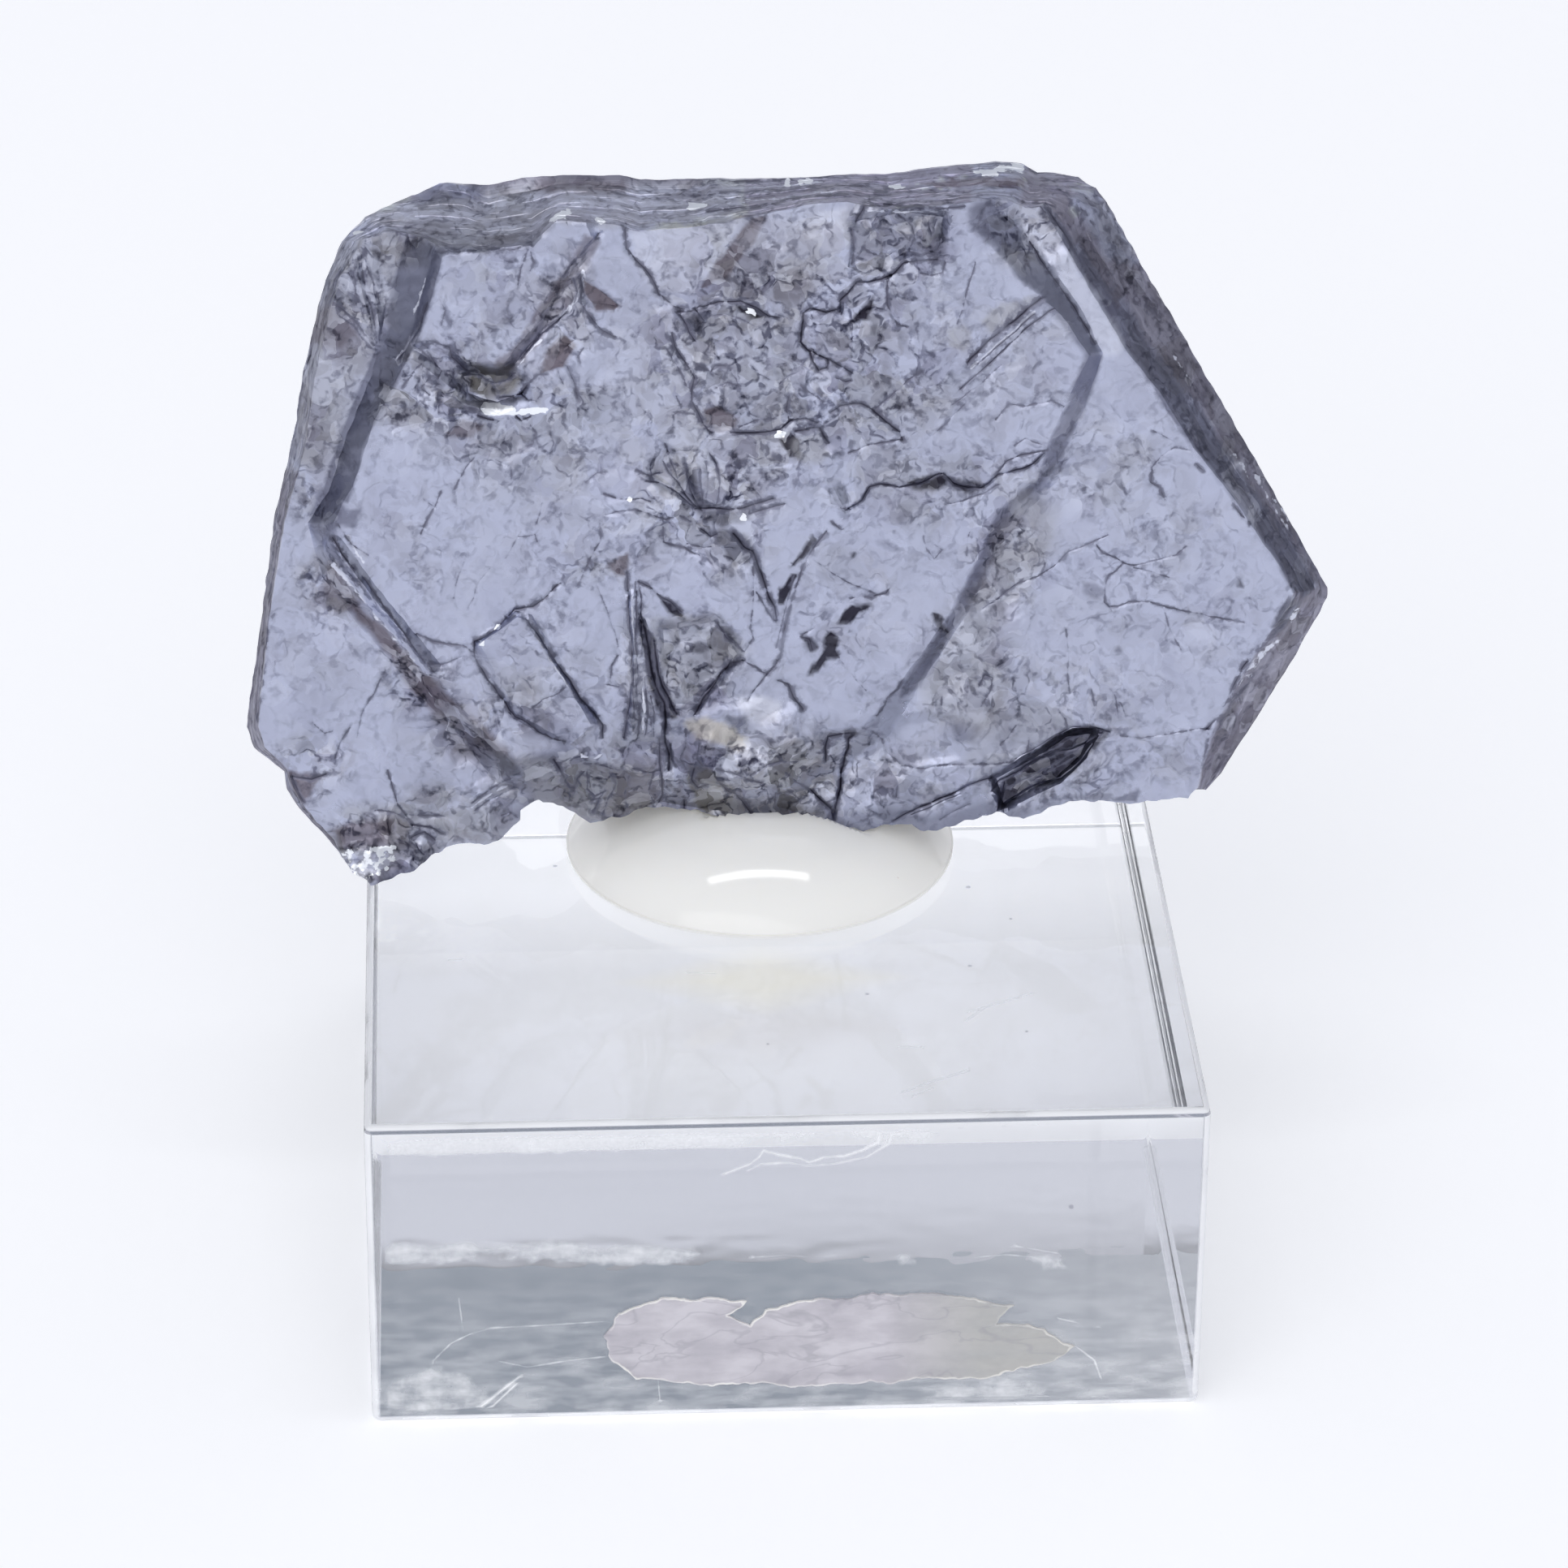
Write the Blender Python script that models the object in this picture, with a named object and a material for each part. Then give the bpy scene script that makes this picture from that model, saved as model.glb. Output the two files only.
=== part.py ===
"""A molybdenite crystal on a clear display block.

A thick six-sided plate of molybdenite stands nearly upright, pressed into a
drop of putty on a square acrylic block with a small film label on its front.
"""
import math

import bmesh
import bpy
import numpy as np
from mathutils import Vector, noise
from mathutils.bvhtree import BVHTree
from mathutils.geometry import delaunay_2d_cdt
from mathutils.kdtree import KDTree

MM = 0.001

# ---- driving dimensions, millimetres -------------------------------------
BLOCK_SIDE = 30.0
BLOCK_HEIGHT = 12.5
BLOCK_EDGE = 0.35

PUTTY_CENTRE = (-0.1, 4.6)
PUTTY_RADIUS = 7.35
PUTTY_HEIGHT = 3.2
PUTTY_GAP = 0.3
PUTTY_LEAST = 0.3
PUTTY_EDGE = 0.25
PUTTY_PROBE = 0.45
PUTTY_PROBES = 8
PUTTY_RINGS = 11
PUTTY_SPOKES = 44

LABEL_THICKNESS = 0.08
LABEL_GAP = 0.05

PLATE_LEAN = math.radians(8.0)
PLATE_ORIGIN = (0.0, 1.44, 15.7)
PLATE_THICKNESS = 5.0
# The plate is thinnest at the horn and thickens away from it.
HORN_THICKNESS = 1.6
HORN_SLOPE = 0.3
# Depth runs along lines that meet in this point in front of the face, so the
# plate widens and sinks a little towards its back.
DEPTH_APEX = (-10.7, 84.4, 221.1)

FACE_STEP = 1.0
BACK_STEP = 1.7
RIM_STEP = 1.0
LAMINA_LEVELS = (0.0, 0.13, 0.28, 0.46, 0.7, 1.0)
LAMINA_JITTER = 0.08
LAMINA_PITCH = 2.2
LAMINA_STAGGER = 0.06
LAMINA_LIP = 0.06
BACK_FLOOR = 0.7
BACK_INSET = 0.004
# Uneven surfaces, as height and pitch of the unevenness.
BACK_RAGGED = (0.35, 1.5)
FACE_WAVE = (0.06, 3.5)
BACK_WAVE = (0.08, 3.0)
CRUMPLE = (0.12, 1.2)
ROUGH_PITCH = 0.9
# The face is most crumpled around this point, out to this reach.
CRUMPLE_CENTRE = (1.0, 18.0)
CRUMPLE_REACH = (6.0, 5.5)
CRUMPLE_FULL = 1.3
# Spacing of mesh points, as shares of the step between them.
EDGE_CLEARANCE = 0.5
LATTICE_CLEARANCE = 0.55
LATTICE_SHAKE = 0.25
PLATE_CENTRE = (1.0, 12.0)
HORN_TIP = (-14.8, -2.5)

# ---- outline of the crystal, in plate millimetres ------------------------
# The ragged lower edge, from the horn at the left to the right-hand corner.
LOWER_EDGE = (
    (-14.8, -2.5), (-13.2, -1.9), (-12.0, -1.0), (-11.4, -0.85), (-10.6, -0.95),
    (-9.9, -0.7), (-9.2, 0.0), (-9.2, 0.4), (-8.5, 0.75), (-7.6, 0.55),
    (-6.6, -0.15), (-5.3, 0.1), (-4.5, 0.45), (-2.7, 0.3), (-1.9, 0.0),
    (0.5, -0.2), (1.6, -0.05), (2.5, -0.35), (3.6, -0.7), (4.5, -0.4),
    (5.4, -0.5), (6.2, -0.8), (7.4, -0.4), (8.6, -0.05), (9.6, -0.35),
    (11.3, 0.35), (13.6, 0.25), (15.8, 0.4),
)
LOWER_LIFT = 0.6
LOWER_DEPTH = 1.5

# The other sides, on round to the horn: face edge (u, v), rim (u, v), and
# how deep behind the face the rim lies.
SIDES = (
    (16.1, 0.8, 16.45, 0.7, 1.6), (16.3, 1.9, 17.1, 1.5, 1.8),
    (16.6, 3.0, 18.3, 3.5, 2.0), (17.6, 5.2, 19.5, 5.7, 2.0),
    (18.8, 7.1, 20.5, 7.6, 2.2), (19.4, 7.9, 20.8, 8.2, 2.4),
    (19.5, 8.4, 20.8, 8.6, 2.4), (19.1, 9.3, 20.4, 9.3, 2.4),
    (17.1, 12.3, 18.5, 12.7, 2.4), (15.7, 14.1, 17.3, 14.8, 2.4),
    (14.4, 16.3, 15.9, 17.2, 2.4), (13.2, 17.8, 14.7, 19.3, 2.6),
    (11.9, 20.0, 13.6, 21.2, 2.8), (10.4, 22.7, 12.3, 23.5, 3.0),
    (10.1, 23.1, 11.9, 24.0, 3.4), (9.9, 23.3, 11.3, 24.4, 4.2),
    (9.7, 23.3, 10.4, 24.6, 4.6), (9.4, 23.3, 9.8, 24.65, 4.7),
    (8.9, 23.55, 9.3, 25.0, 4.8), (8.2, 23.6, 8.3, 25.1, 4.8),
    (6.3, 23.4, 6.4, 24.95, 4.8), (4.4, 23.3, 4.5, 24.7, 4.8),
    (2.9, 23.6, 2.9, 24.7, 4.8), (1.4, 23.5, 1.4, 24.6, 4.8),
    (-1.4, 22.9, -1.3, 24.6, 4.8), (-4.6, 22.6, -4.5, 24.6, 4.8),
    (-5.4, 22.9, -5.3, 24.8, 4.8), (-7.5, 23.1, -7.5, 24.8, 4.8),
    (-8.5, 22.2, -8.5, 24.75, 4.8), (-10.0, 22.05, -10.0, 24.5, 4.8),
    (-11.3, 21.95, -11.5, 24.6, 4.6), (-12.3, 22.5, -13.2, 23.9, 4.0),
    (-13.4, 22.8, -14.4, 23.3, 3.4), (-14.5, 22.5, -15.3, 22.4, 3.0),
    (-15.4, 21.0, -15.9, 21.0, 2.8), (-16.2, 18.1, -16.7, 18.0, 2.6),
    (-16.9, 14.3, -17.4, 14.3, 2.4), (-17.6, 11.9, -18.0, 12.0, 2.4),
    (-18.3, 8.0, -18.6, 8.0, 2.2), (-18.7, 5.0, -19.1, 5.0, 2.2),
    (-18.8, 3.9, -19.25, 3.9, 2.2), (-18.6, 3.1, -19.0, 3.1, 2.0),
    (-17.8, 2.2, -17.95, 2.1, 1.8), (-17.6, 1.4, -17.85, 1.4, 1.6),
    (-17.1, 0.5, -17.3, 0.5, 1.6), (-16.1, -0.7, -16.3, -0.7, 1.5),
    (-15.5, -1.9, -15.5, -1.8, 1.4),
)

# ---- relief of the face ---------------------------------------------------
# The raised middle: its crest, and the foot of the bevel around it.
LEFT_LEVEL = -0.9
RIGHT_LEVEL = -0.6
LEVEL_CHANGE = (-4.0, 6.0)
PLATEAU_CREST = (
    (-9.4, 2.2), (-8.0, 2.6), (-6.0, 2.2), (-3.9, 1.6), (-1.6, 1.4), (0.6, 1.7),
    (2.0, 3.3), (3.6, 3.4), (4.7, 4.8), (6.6, 7.5), (8.1, 10.8), (8.8, 12.2),
    (10.0, 13.0), (10.4, 14.6), (11.1, 16.2), (11.8, 17.7), (10.8, 19.2),
    (9.1, 20.8), (8.5, 21.5), (7.5, 22.5), (7.4, 25.0), (-11.2, 25.0),
    (-11.6, 21.9), (-12.4, 19.3), (-13.2, 17.6), (-14.3, 15.6), (-15.1, 13.2),
    (-15.9, 11.7), (-15.6, 10.4), (-14.5, 8.9), (-12.5, 6.2), (-11.0, 4.1),
)
PLATEAU_FOOT = (
    (-9.9, 1.3), (-8.2, 0.9), (-6.0, 0.2), (-3.9, 0.6), (-1.6, 0.2), (0.6, 0.1),
    (3.0, 2.0), (4.6, 3.1), (5.6, 4.9), (7.3, 7.6), (8.9, 10.6), (9.6, 11.8),
    (10.7, 12.9), (11.1, 14.3), (11.7, 15.9), (12.3, 17.8), (11.6, 19.3),
    (10.2, 21.3), (9.5, 22.4), (9.2, 23.1), (9.4, 26.0), (-12.5, 26.0),
    (-12.9, 22.5), (-13.8, 19.6), (-14.3, 17.4), (-15.3, 15.1), (-16.0, 13.0),
    (-16.8, 11.8), (-16.3, 9.7), (-15.3, 8.2), (-13.5, 5.8), (-11.7, 3.7),
)

# Raised or sunken areas: rise, bevel width, roughness, corners.
AREAS = (
    (0.30, 0.35, 0.03, (
        (-11.7, 21.8), (-12.6, 18.8), (-11.5, 18.4), (-10.8, 17.7), (-9.6, 17.7),
        (-8.5, 19.0), (-7.3, 21.1), (-6.3, 22.4), (-6.5, 23.0), (-7.6, 23.0),
        (-8.4, 22.1))),
    (-0.40, 0.45, 0.10, (
        (-11.0, 17.3), (-9.9, 17.3), (-9.0, 17.3), (-8.9, 16.6), (-9.8, 16.3),
        (-10.8, 16.6))),
    (-0.15, 0.20, 0.02, ((-6.6, 20.9), (-5.4, 19.9), (-6.5, 20.0))),
    (-0.30, 0.30, 0.16, (
        (3.3, 22.9), (3.2, 21.4), (4.4, 21.3), (5.2, 21.8), (6.3, 21.7),
        (6.4, 23.0), (5.0, 23.2))),
    (-0.50, 0.30, 0.15, (
        (-4.1, 13.4), (-3.6, 14.3), (-3.0, 13.6), (-2.6, 12.6), (-3.4, 12.9))),
    (-0.25, 0.30, 0.14, (
        (-3.8, 7.4), (-1.9, 7.7), (-1.1, 6.4), (-2.6, 4.5), (-3.4, 4.5),
        (-3.8, 5.3))),
    (0.25, 0.25, 0.06, (
        (-10.6, 7.0), (-9.2, 8.0), (-8.8, 7.9), (-6.5, 3.7), (-7.3, 3.0),
        (-9.2, 4.2))),
    (-0.15, 0.25, 0.05, ((-1.9, 15.8), (-1.1, 15.6), (-1.2, 15.2), (-2.0, 15.2))),
    (-0.10, 0.30, 0.02, (
        (4.8, 3.0), (5.2, 3.6), (6.6, 3.7), (7.0, 3.0), (7.0, 2.3), (5.4, 2.1))),
    (-0.45, 0.30, 0.16, (
        (8.9, 0.3), (8.6, 1.3), (10.0, 2.1), (11.2, 2.9), (12.1, 3.0),
        (11.7, 2.2), (10.8, 1.3), (9.6, 0.7))),
    (0.35, 0.50, 0.22, (
        (-15.3, -1.2), (-14.2, -1.0), (-12.9, -1.4), (-13.3, -2.6), (-15.0, -3.4),
        (-16.0, -2.4))),
    (0.10, 0.50, 0.14, (
        (-3.3, 3.9), (-1.0, 4.3), (1.0, 4.0), (1.2, 2.4), (-0.6, 1.9),
        (-2.4, 2.1))),
)

# Cracks and furrows: width, depth, course.
CRACKS = (
    (0.40, 0.45, ((-9.2, 17.6), (-8.5, 18.5), (-7.5, 19.8), (-6.9, 21.0), (-6.1, 22.5))),
    (0.30, 0.20, ((-5.1, 22.6), (-4.9, 21.9), (-3.9, 20.3), (-3.1, 19.7))),
    (0.40, 0.35, ((-0.5, 22.8), (-0.9, 22.1), (-1.5, 21.3), (-2.3, 20.6))),
    (0.30, 0.35, ((-3.1, 19.7), (-2.3, 19.8), (-0.9, 20.0), (0.3, 19.4))),
    (0.30, 0.40, ((-2.6, 19.6), (-2.4, 18.7))),
    (0.25, 0.30, ((-3.3, 18.5), (-2.6, 17.0), (-2.6, 15.9), (-2.0, 15.0))),
    (0.30, 0.40, ((-2.0, 15.0), (-0.4, 15.0), (0.9, 15.4), (1.8, 15.3), (2.2, 14.7))),
    (0.35, 0.45, ((0.6, 14.8), (1.1, 14.1))),
    (0.25, 0.40, ((2.7, 19.5), (1.4, 19.6), (1.3, 18.3), (2.0, 17.7), (3.0, 17.0))),
    (0.30, 0.45, ((2.7, 19.6), (3.3, 20.6), (4.4, 20.8), (5.0, 21.4), (6.4, 21.4))),
    (0.30, 0.45, ((2.3, 15.6), (3.0, 15.9), (3.9, 15.8), (5.0, 14.7))),
    (0.25, 0.30, ((5.6, 17.1), (4.1, 15.8))),
    (0.35, 0.50, ((-2.5, 12.4), (-1.6, 12.05), (-0.4, 12.1), (0.6, 12.3))),
    (0.35, 0.45, ((-1.5, 11.1), (-0.9, 10.6), (-0.3, 9.6), (0.1, 8.7), (0.4, 7.8))),
    (0.30, 0.35, ((1.8, 11.0), (1.1, 9.9), (0.6, 8.5))),
    (0.25, 0.25, ((2.2, 11.1), (1.4, 9.6), (0.8, 7.7), (0.5, 6.2), (0.1, 5.7))),
    (0.30, 0.55, ((3.0, 12.0), (4.0, 13.0), (5.2, 12.85), (6.4, 13.2), (7.4, 12.9),
                  (8.2, 13.0), (9.2, 13.7), (10.2, 14.1))),
    (0.25, 0.30, ((7.4, 17.5), (8.5, 18.7), (10.0, 19.9))),
    (0.25, 0.30, ((7.1, 16.4), (8.6, 17.9), (10.3, 19.4))),
    (0.35, 0.55, ((-4.7, 9.2), (-4.5, 7.2), (-4.2, 5.8), (-3.7, 4.3), (-3.6, 3.0),
                  (-3.9, 1.9))),
    (0.25, 0.35, ((-5.2, 9.6), (-5.1, 6.0), (-5.2, 3.3))),
    (0.25, 0.35, ((-8.9, 8.2), (-7.9, 6.6), (-6.8, 4.8), (-6.1, 3.4))),
    (0.30, 0.35, ((-7.5, 9.3), (-9.2, 8.3), (-10.8, 7.1), (-10.6, 6.1), (-9.9, 4.9),
                  (-8.6, 3.6), (-7.7, 3.0))),
    (0.25, 0.30, ((-6.0, 11.5), (-6.2, 10.7), (-6.9, 9.1))),
    (0.30, 0.35, ((1.7, 5.7), (2.1, 6.4), (2.5, 6.9))),
    (0.30, 0.30, ((2.9, 7.6), (3.2, 8.0), (3.8, 8.1))),
    (0.30, 0.50, ((1.7, 1.0), (2.5, 0.2), (2.8, 1.6), (3.1, 3.0), (2.2, 3.1))),
    (0.30, 0.45, ((4.9, -0.2), (6.6, 0.6), (8.4, 1.3))),
    (0.25, 0.30, ((9.0, 9.0), (10.0, 9.3), (11.0, 10.0), (12.6, 10.7))),
    (0.25, 0.30, ((13.1, 9.7), (12.5, 8.9), (12.7, 8.0), (14.2, 8.2), (17.9, 7.3))),
    (0.25, 0.30, ((13.5, 2.9), (15.2, 3.0), (16.2, 3.1))),
    (0.30, 0.40, ((-14.1, 2.0), (-13.8, 0.8), (-13.2, 0.0), (-12.0, -0.3))),
    (0.25, 0.25, ((-14.1, 6.2), (-14.4, 5.3), (-15.1, 3.8))),
    (0.35, 0.40, ((-16.8, 2.0), (-17.3, 1.2))),
    (0.30, 0.40, ((-8.0, 2.0), (-7.4, 1.2))),
    (0.35, 0.45, ((-2.6, 1.8), (-1.9, 1.0), (-1.2, 0.8))),
)

# Folds that stand proud of the face: width, height, course.
FOLDS = (
    (0.45, 0.35, ((-15.9, 11.0), (-14.7, 9.2), (-13.3, 7.3), (-12.4, 6.1))),
    (0.35, 0.20, ((-14.9, 22.0), (-14.6, 20.4), (-14.2, 18.9))),
    (0.35, 0.20, ((-14.2, 22.3), (-14.2, 20.6), (-14.0, 19.2))),
    (0.45, 0.30, ((-4.9, 8.6), (-4.9, 6.0), (-5.0, 3.4))),
    (0.40, 0.25, ((-12.9, 18.0), (-12.3, 17.6), (-11.4, 16.8))),
    (0.45, 0.20, ((-11.0, 0.9), (-10.2, 1.4), (-9.2, 1.7))),
    (0.40, 0.25, ((2.4, 14.0), (2.4, 12.9), (2.9, 11.9))),
)

# ---- relief of the back ----------------------------------------------------
# Layers that have come away, or stayed on: rise, bevel width, roughness, corners.
BACK_AREAS = (
    (-0.7, 0.50, 0.05, (
        (-19.0, 16.0), (-9.0, 25.5), (-2.0, 25.5), (-6.5, 17.0), (-13.0, 12.5),
        (-20.5, 11.0))),
    (-0.5, 0.45, 0.05, (
        (22.0, 3.0), (10.0, 5.5), (7.5, 10.5), (12.5, 15.5), (15.0, 20.0),
        (22.0, 13.0))),
    (0.5, 0.40, 0.05, (
        (-4.0, 8.5), (1.5, 6.5), (5.5, 11.0), (3.0, 16.5), (-2.5, 15.0))),
    (-0.6, 0.60, 0.20, (
        (-12.0, -1.0), (-10.0, 3.0), (-3.0, 4.0), (3.5, 3.2), (8.0, 4.4),
        (11.0, -1.0))),
)
BACK_CRACKS = (
    (0.45, 0.45, ((-12.0, 6.0), (-8.5, 8.0), (-5.0, 8.2), (-4.0, 5.0))),
    (0.45, 0.45, ((3.0, 16.5), (5.5, 19.0), (6.0, 21.5))),
    (0.45, 0.40, ((5.5, 11.0), (8.0, 12.0), (10.5, 17.0), (10.0, 20.5))),
    (0.45, 0.40, ((-15.0, 9.0), (-11.0, 11.0), (-9.0, 14.5))),
)

# The label film on the block's front, in millimetres across and up its face.
LABEL_OUTLINE = (
    (-6.6, 3.6), (-6.1, 4.6), (-4.6, 5.1), (-2.5, 5.1), (-1.4, 4.9), (-2.2, 4.4),
    (-1.4, 4.0), (-0.8, 4.6), (0.9, 4.9), (3.0, 5.1), (5.1, 5.1), (7.0, 4.8),
    (8.1, 4.5), (7.5, 3.8), (8.9, 3.6), (10.4, 2.6), (9.5, 2.0), (7.2, 1.4),
    (0.1, 1.3), (-3.8, 1.5), (-5.5, 1.8), (-6.4, 2.8),
)


def material(name, colour, roughness, metallic=0.0, transmission=0.0):
    """A Principled material with one plain finish."""
    finish = bpy.data.materials.new(name)
    finish.use_nodes = True
    shader = finish.node_tree.nodes["Principled BSDF"]
    shader.inputs["Base Color"].default_value = (*colour, 1.0)
    shader.inputs["Roughness"].default_value = roughness
    shader.inputs["Metallic"].default_value = metallic
    shader.inputs["Transmission Weight"].default_value = transmission
    return finish


def add_object(name, bm, finish):
    """Turn a bmesh into a named object with its own material."""
    bmesh.ops.recalc_face_normals(bm, faces=bm.faces)
    mesh = bpy.data.meshes.new(name)
    bm.to_mesh(mesh)
    bm.free()
    mesh.materials.append(finish)
    thing = bpy.data.objects.new(name, mesh)
    bpy.context.collection.objects.link(thing)
    return thing


def place(u, v, w):
    """The point in metres at plate coordinates u, v and depth w (front is +)."""
    share = w / DEPTH_APEX[2]
    across = u + (DEPTH_APEX[0] - u) * share
    along = v + (DEPTH_APEX[1] - v) * share
    sine, cosine = math.sin(PLATE_LEAN), math.cos(PLATE_LEAN)
    ox, oy, oz = PLATE_ORIGIN
    return Vector((
        (ox + across) * MM,
        (oy + along * sine - w * cosine) * MM,
        (oz + along * cosine + w * sine) * MM,
    ))


def resample(points, step, closed=False):
    """Points about one step apart along a line, its corners kept."""
    corners = list(points) + ([points[0]] if closed else [])
    course = []
    for start, end in zip(corners[:-1], corners[1:]):
        start, end = np.array(start), np.array(end)
        pieces = max(1, round(np.linalg.norm((end - start)[:2]) / step))
        for piece in range(pieces):
            course.append(start + (end - start) * piece / pieces)
    if not closed:
        course.append(np.array(corners[-1]))
    return np.array(course)


def distance_to(points, line):
    """Distance of each point from a line of straight runs."""
    start = line[:-1]
    run = line[1:] - start
    offset = points[:, None, :] - start
    along = np.clip((offset * run).sum(2) / (run * run).sum(1), 0.0, 1.0)
    return np.linalg.norm(offset - along[..., None] * run, axis=2).min(1)


def is_inside(points, corners):
    """Whether each point lies inside a closed outline."""
    hits = np.zeros(len(points), dtype=int)
    for (ua, va), (ub, vb) in zip(corners, np.roll(corners, -1, axis=0)):
        if va == vb:
            continue
        spans = (va > points[:, 1]) != (vb > points[:, 1])
        crossing = ua + (points[:, 1] - va) * (ub - ua) / (vb - va)
        hits += spans & (points[:, 0] < crossing)
    return hits % 2 == 1


def closed_line(corners):
    """An outline as an array that ends where it starts."""
    return np.array(list(corners) + [corners[0]], dtype=float)


def ground_noise(points, pitch, seed):
    """Smooth noise between about -1 and 1, with features about pitch wide."""
    return np.array([noise.noise(Vector((u / pitch, v / pitch, seed))) for u, v in points])


def area_share(points, corners, bevel):
    """1 inside an area, falling to 0 across the bevel around it."""
    outside = np.clip(1.0 - distance_to(points, closed_line(corners)) / bevel, 0.0, 1.0)
    return np.where(is_inside(points, np.array(corners)), 1.0, outside)


def add_areas(height, points, areas):
    """Raise or sink each area, with its own roughness."""
    for number, (rise, bevel, rough, corners) in enumerate(areas):
        share = area_share(points, corners, bevel)
        roughness = rough * ground_noise(points, ROUGH_PITCH, seed=10.0 + number)
        height += share * (rise + roughness)


def add_furrows(height, points, lines, sign):
    """Cut V-shaped cracks (sign -1) or raise folds (sign +1)."""
    for width, depth, course in lines:
        share = np.clip(1.0 - distance_to(points, np.array(course)) / width, 0.0, 1.0)
        height += sign * depth * share


def face_height(points):
    """Height of the face over the plate's reference plane."""
    crest, foot = closed_line(PLATEAU_CREST), closed_line(PLATEAU_FOOT)
    to_crest, to_foot = distance_to(points, crest), distance_to(points, foot)
    share = to_foot / (to_crest + to_foot + 1e-9)
    share = np.where(is_inside(points, crest[:-1]), 1.0, share)
    share = np.where(is_inside(points, foot[:-1]), share, 0.0)
    terrace = np.interp(points[:, 0], LEVEL_CHANGE, (LEFT_LEVEL, RIGHT_LEVEL))
    height = terrace * (1.0 - share)
    height += FACE_WAVE[0] * ground_noise(points, FACE_WAVE[1], seed=1.0)
    reach = (points - np.array(CRUMPLE_CENTRE)) / np.array(CRUMPLE_REACH)
    crumpled = np.clip(CRUMPLE_FULL - np.hypot(reach[:, 0], reach[:, 1]), 0.0, 1.0)
    height += CRUMPLE[0] * crumpled * ground_noise(points, CRUMPLE[1], seed=2.0)
    add_areas(height, points, AREAS)
    add_furrows(height, points, CRACKS, -1.0)
    add_furrows(height, points, FOLDS, 1.0)
    return height


def back_height(points):
    """Height of the back, which thins towards the horn."""
    reach = np.hypot(points[:, 0] - HORN_TIP[0], points[:, 1] - HORN_TIP[1])
    depth = np.minimum(PLATE_THICKNESS, HORN_THICKNESS + HORN_SLOPE * reach)
    depth += BACK_WAVE[0] * ground_noise(points, BACK_WAVE[1], seed=5.0)
    add_areas(depth, points, BACK_AREAS)
    add_furrows(depth, points, BACK_CRACKS, -1.0)
    return -depth


def grown(corners, amount):
    """An outline moved outwards by an amount, corner by corner."""
    corners = np.array(corners, dtype=float)
    ahead = np.roll(corners, -1, axis=0) - corners
    behind = corners - np.roll(corners, 1, axis=0)
    ahead /= np.linalg.norm(ahead, axis=1)[:, None]
    behind /= np.linalg.norm(behind, axis=1)[:, None]
    tangent = ahead + behind
    tangent /= np.linalg.norm(tangent, axis=1)[:, None]
    turn = np.sign(np.sum(corners[:, 0] * np.roll(corners[:, 1], -1)
                          - corners[:, 1] * np.roll(corners[:, 0], -1)))
    return corners + turn * amount * np.stack((tangent[:, 1], -tangent[:, 0]), axis=1)


def sheet(ring, outlines, courses, step):
    """Triangulate inside a ring, with mesh edges along every given line."""
    points = [Vector(p) for p in ring]
    edges = [(i, (i + 1) % len(ring)) for i in range(len(ring))]
    edge_line = closed_line([tuple(p) for p in ring])

    def add_line(line, closed):
        clear = is_inside(line, ring)
        clear &= distance_to(line, edge_line) > EDGE_CLEARANCE * step
        numbers = {}
        for at in np.flatnonzero(clear):
            numbers[at] = len(points)
            points.append(Vector(line[at]))
        for at in numbers:
            ahead = (at + 1) % len(line) if closed else at + 1
            if ahead in numbers:
                edges.append((numbers[at], numbers[ahead]))

    for outline in outlines:
        add_line(resample(outline, step, closed=True), True)
    for course in courses:
        add_line(resample(course, step), False)

    taken = KDTree(len(points))
    for number, point in enumerate(points):
        taken.insert(point.to_3d(), number)
    taken.balance()
    low, high = ring.min(0), ring.max(0)
    row, rise = 0, step * math.sqrt(3.0) / 2.0
    lattice = []
    while low[1] + row * rise < high[1]:
        v = low[1] + row * rise
        for column in range(int((high[0] - low[0]) / step) + 1):
            u = low[0] + (column + 0.5 * (row % 2)) * step
            shake = noise.noise_vector(Vector((u, v, 7.0))) * LATTICE_SHAKE * step
            lattice.append((u + shake.x, v + shake.y))
        row += 1
    lattice = np.array(lattice)
    clear = is_inside(lattice, ring)
    clear &= distance_to(lattice, edge_line) > LATTICE_CLEARANCE * step
    for u, v in lattice[clear]:
        if taken.find(Vector((u, v, 0.0)))[2] > LATTICE_CLEARANCE * step:
            points.append(Vector((u, v)))

    spots, _, faces, origins = delaunay_2d_cdt(
        points, edges, [list(range(len(ring)))], 1, 1e-4)[:4]
    border = [0] * len(ring)
    for number, sources in enumerate(origins):
        for source in sources:
            if source < len(ring):
                border[source] = number
    return np.array([tuple(p) for p in spots]), faces, border


def furrow_lines(furrows):
    """The floor of each furrow and both of its lips."""
    lines = []
    for width, _, course in furrows:
        course = np.array(course)
        ahead = np.gradient(course, axis=0)
        ahead /= np.linalg.norm(ahead, axis=1)[:, None]
        across = np.stack((-ahead[:, 1], ahead[:, 0]), axis=1) * width
        lines += [course, course + across, course - across]
    return lines


def rim_stations():
    """Matching points of the face edge, the rim and the back edge."""
    rows = [(u, v, u, v + LOWER_LIFT, LOWER_DEPTH) for u, v in LOWER_EDGE]
    rows += list(SIDES)
    rows = resample(rows, RIM_STEP, closed=True)
    face, rim, depth = rows[:, 0:2], rows[:, 2:4], rows[:, 4]
    back = rim + (np.array(PLATE_CENTRE) - rim) * BACK_INSET
    ragged = BACK_RAGGED[0] * ground_noise(rim, BACK_RAGGED[1], seed=8.0)
    back[:, 1] = np.maximum(back[:, 1], BACK_FLOOR + ragged)
    return face, rim, depth, back


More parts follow.
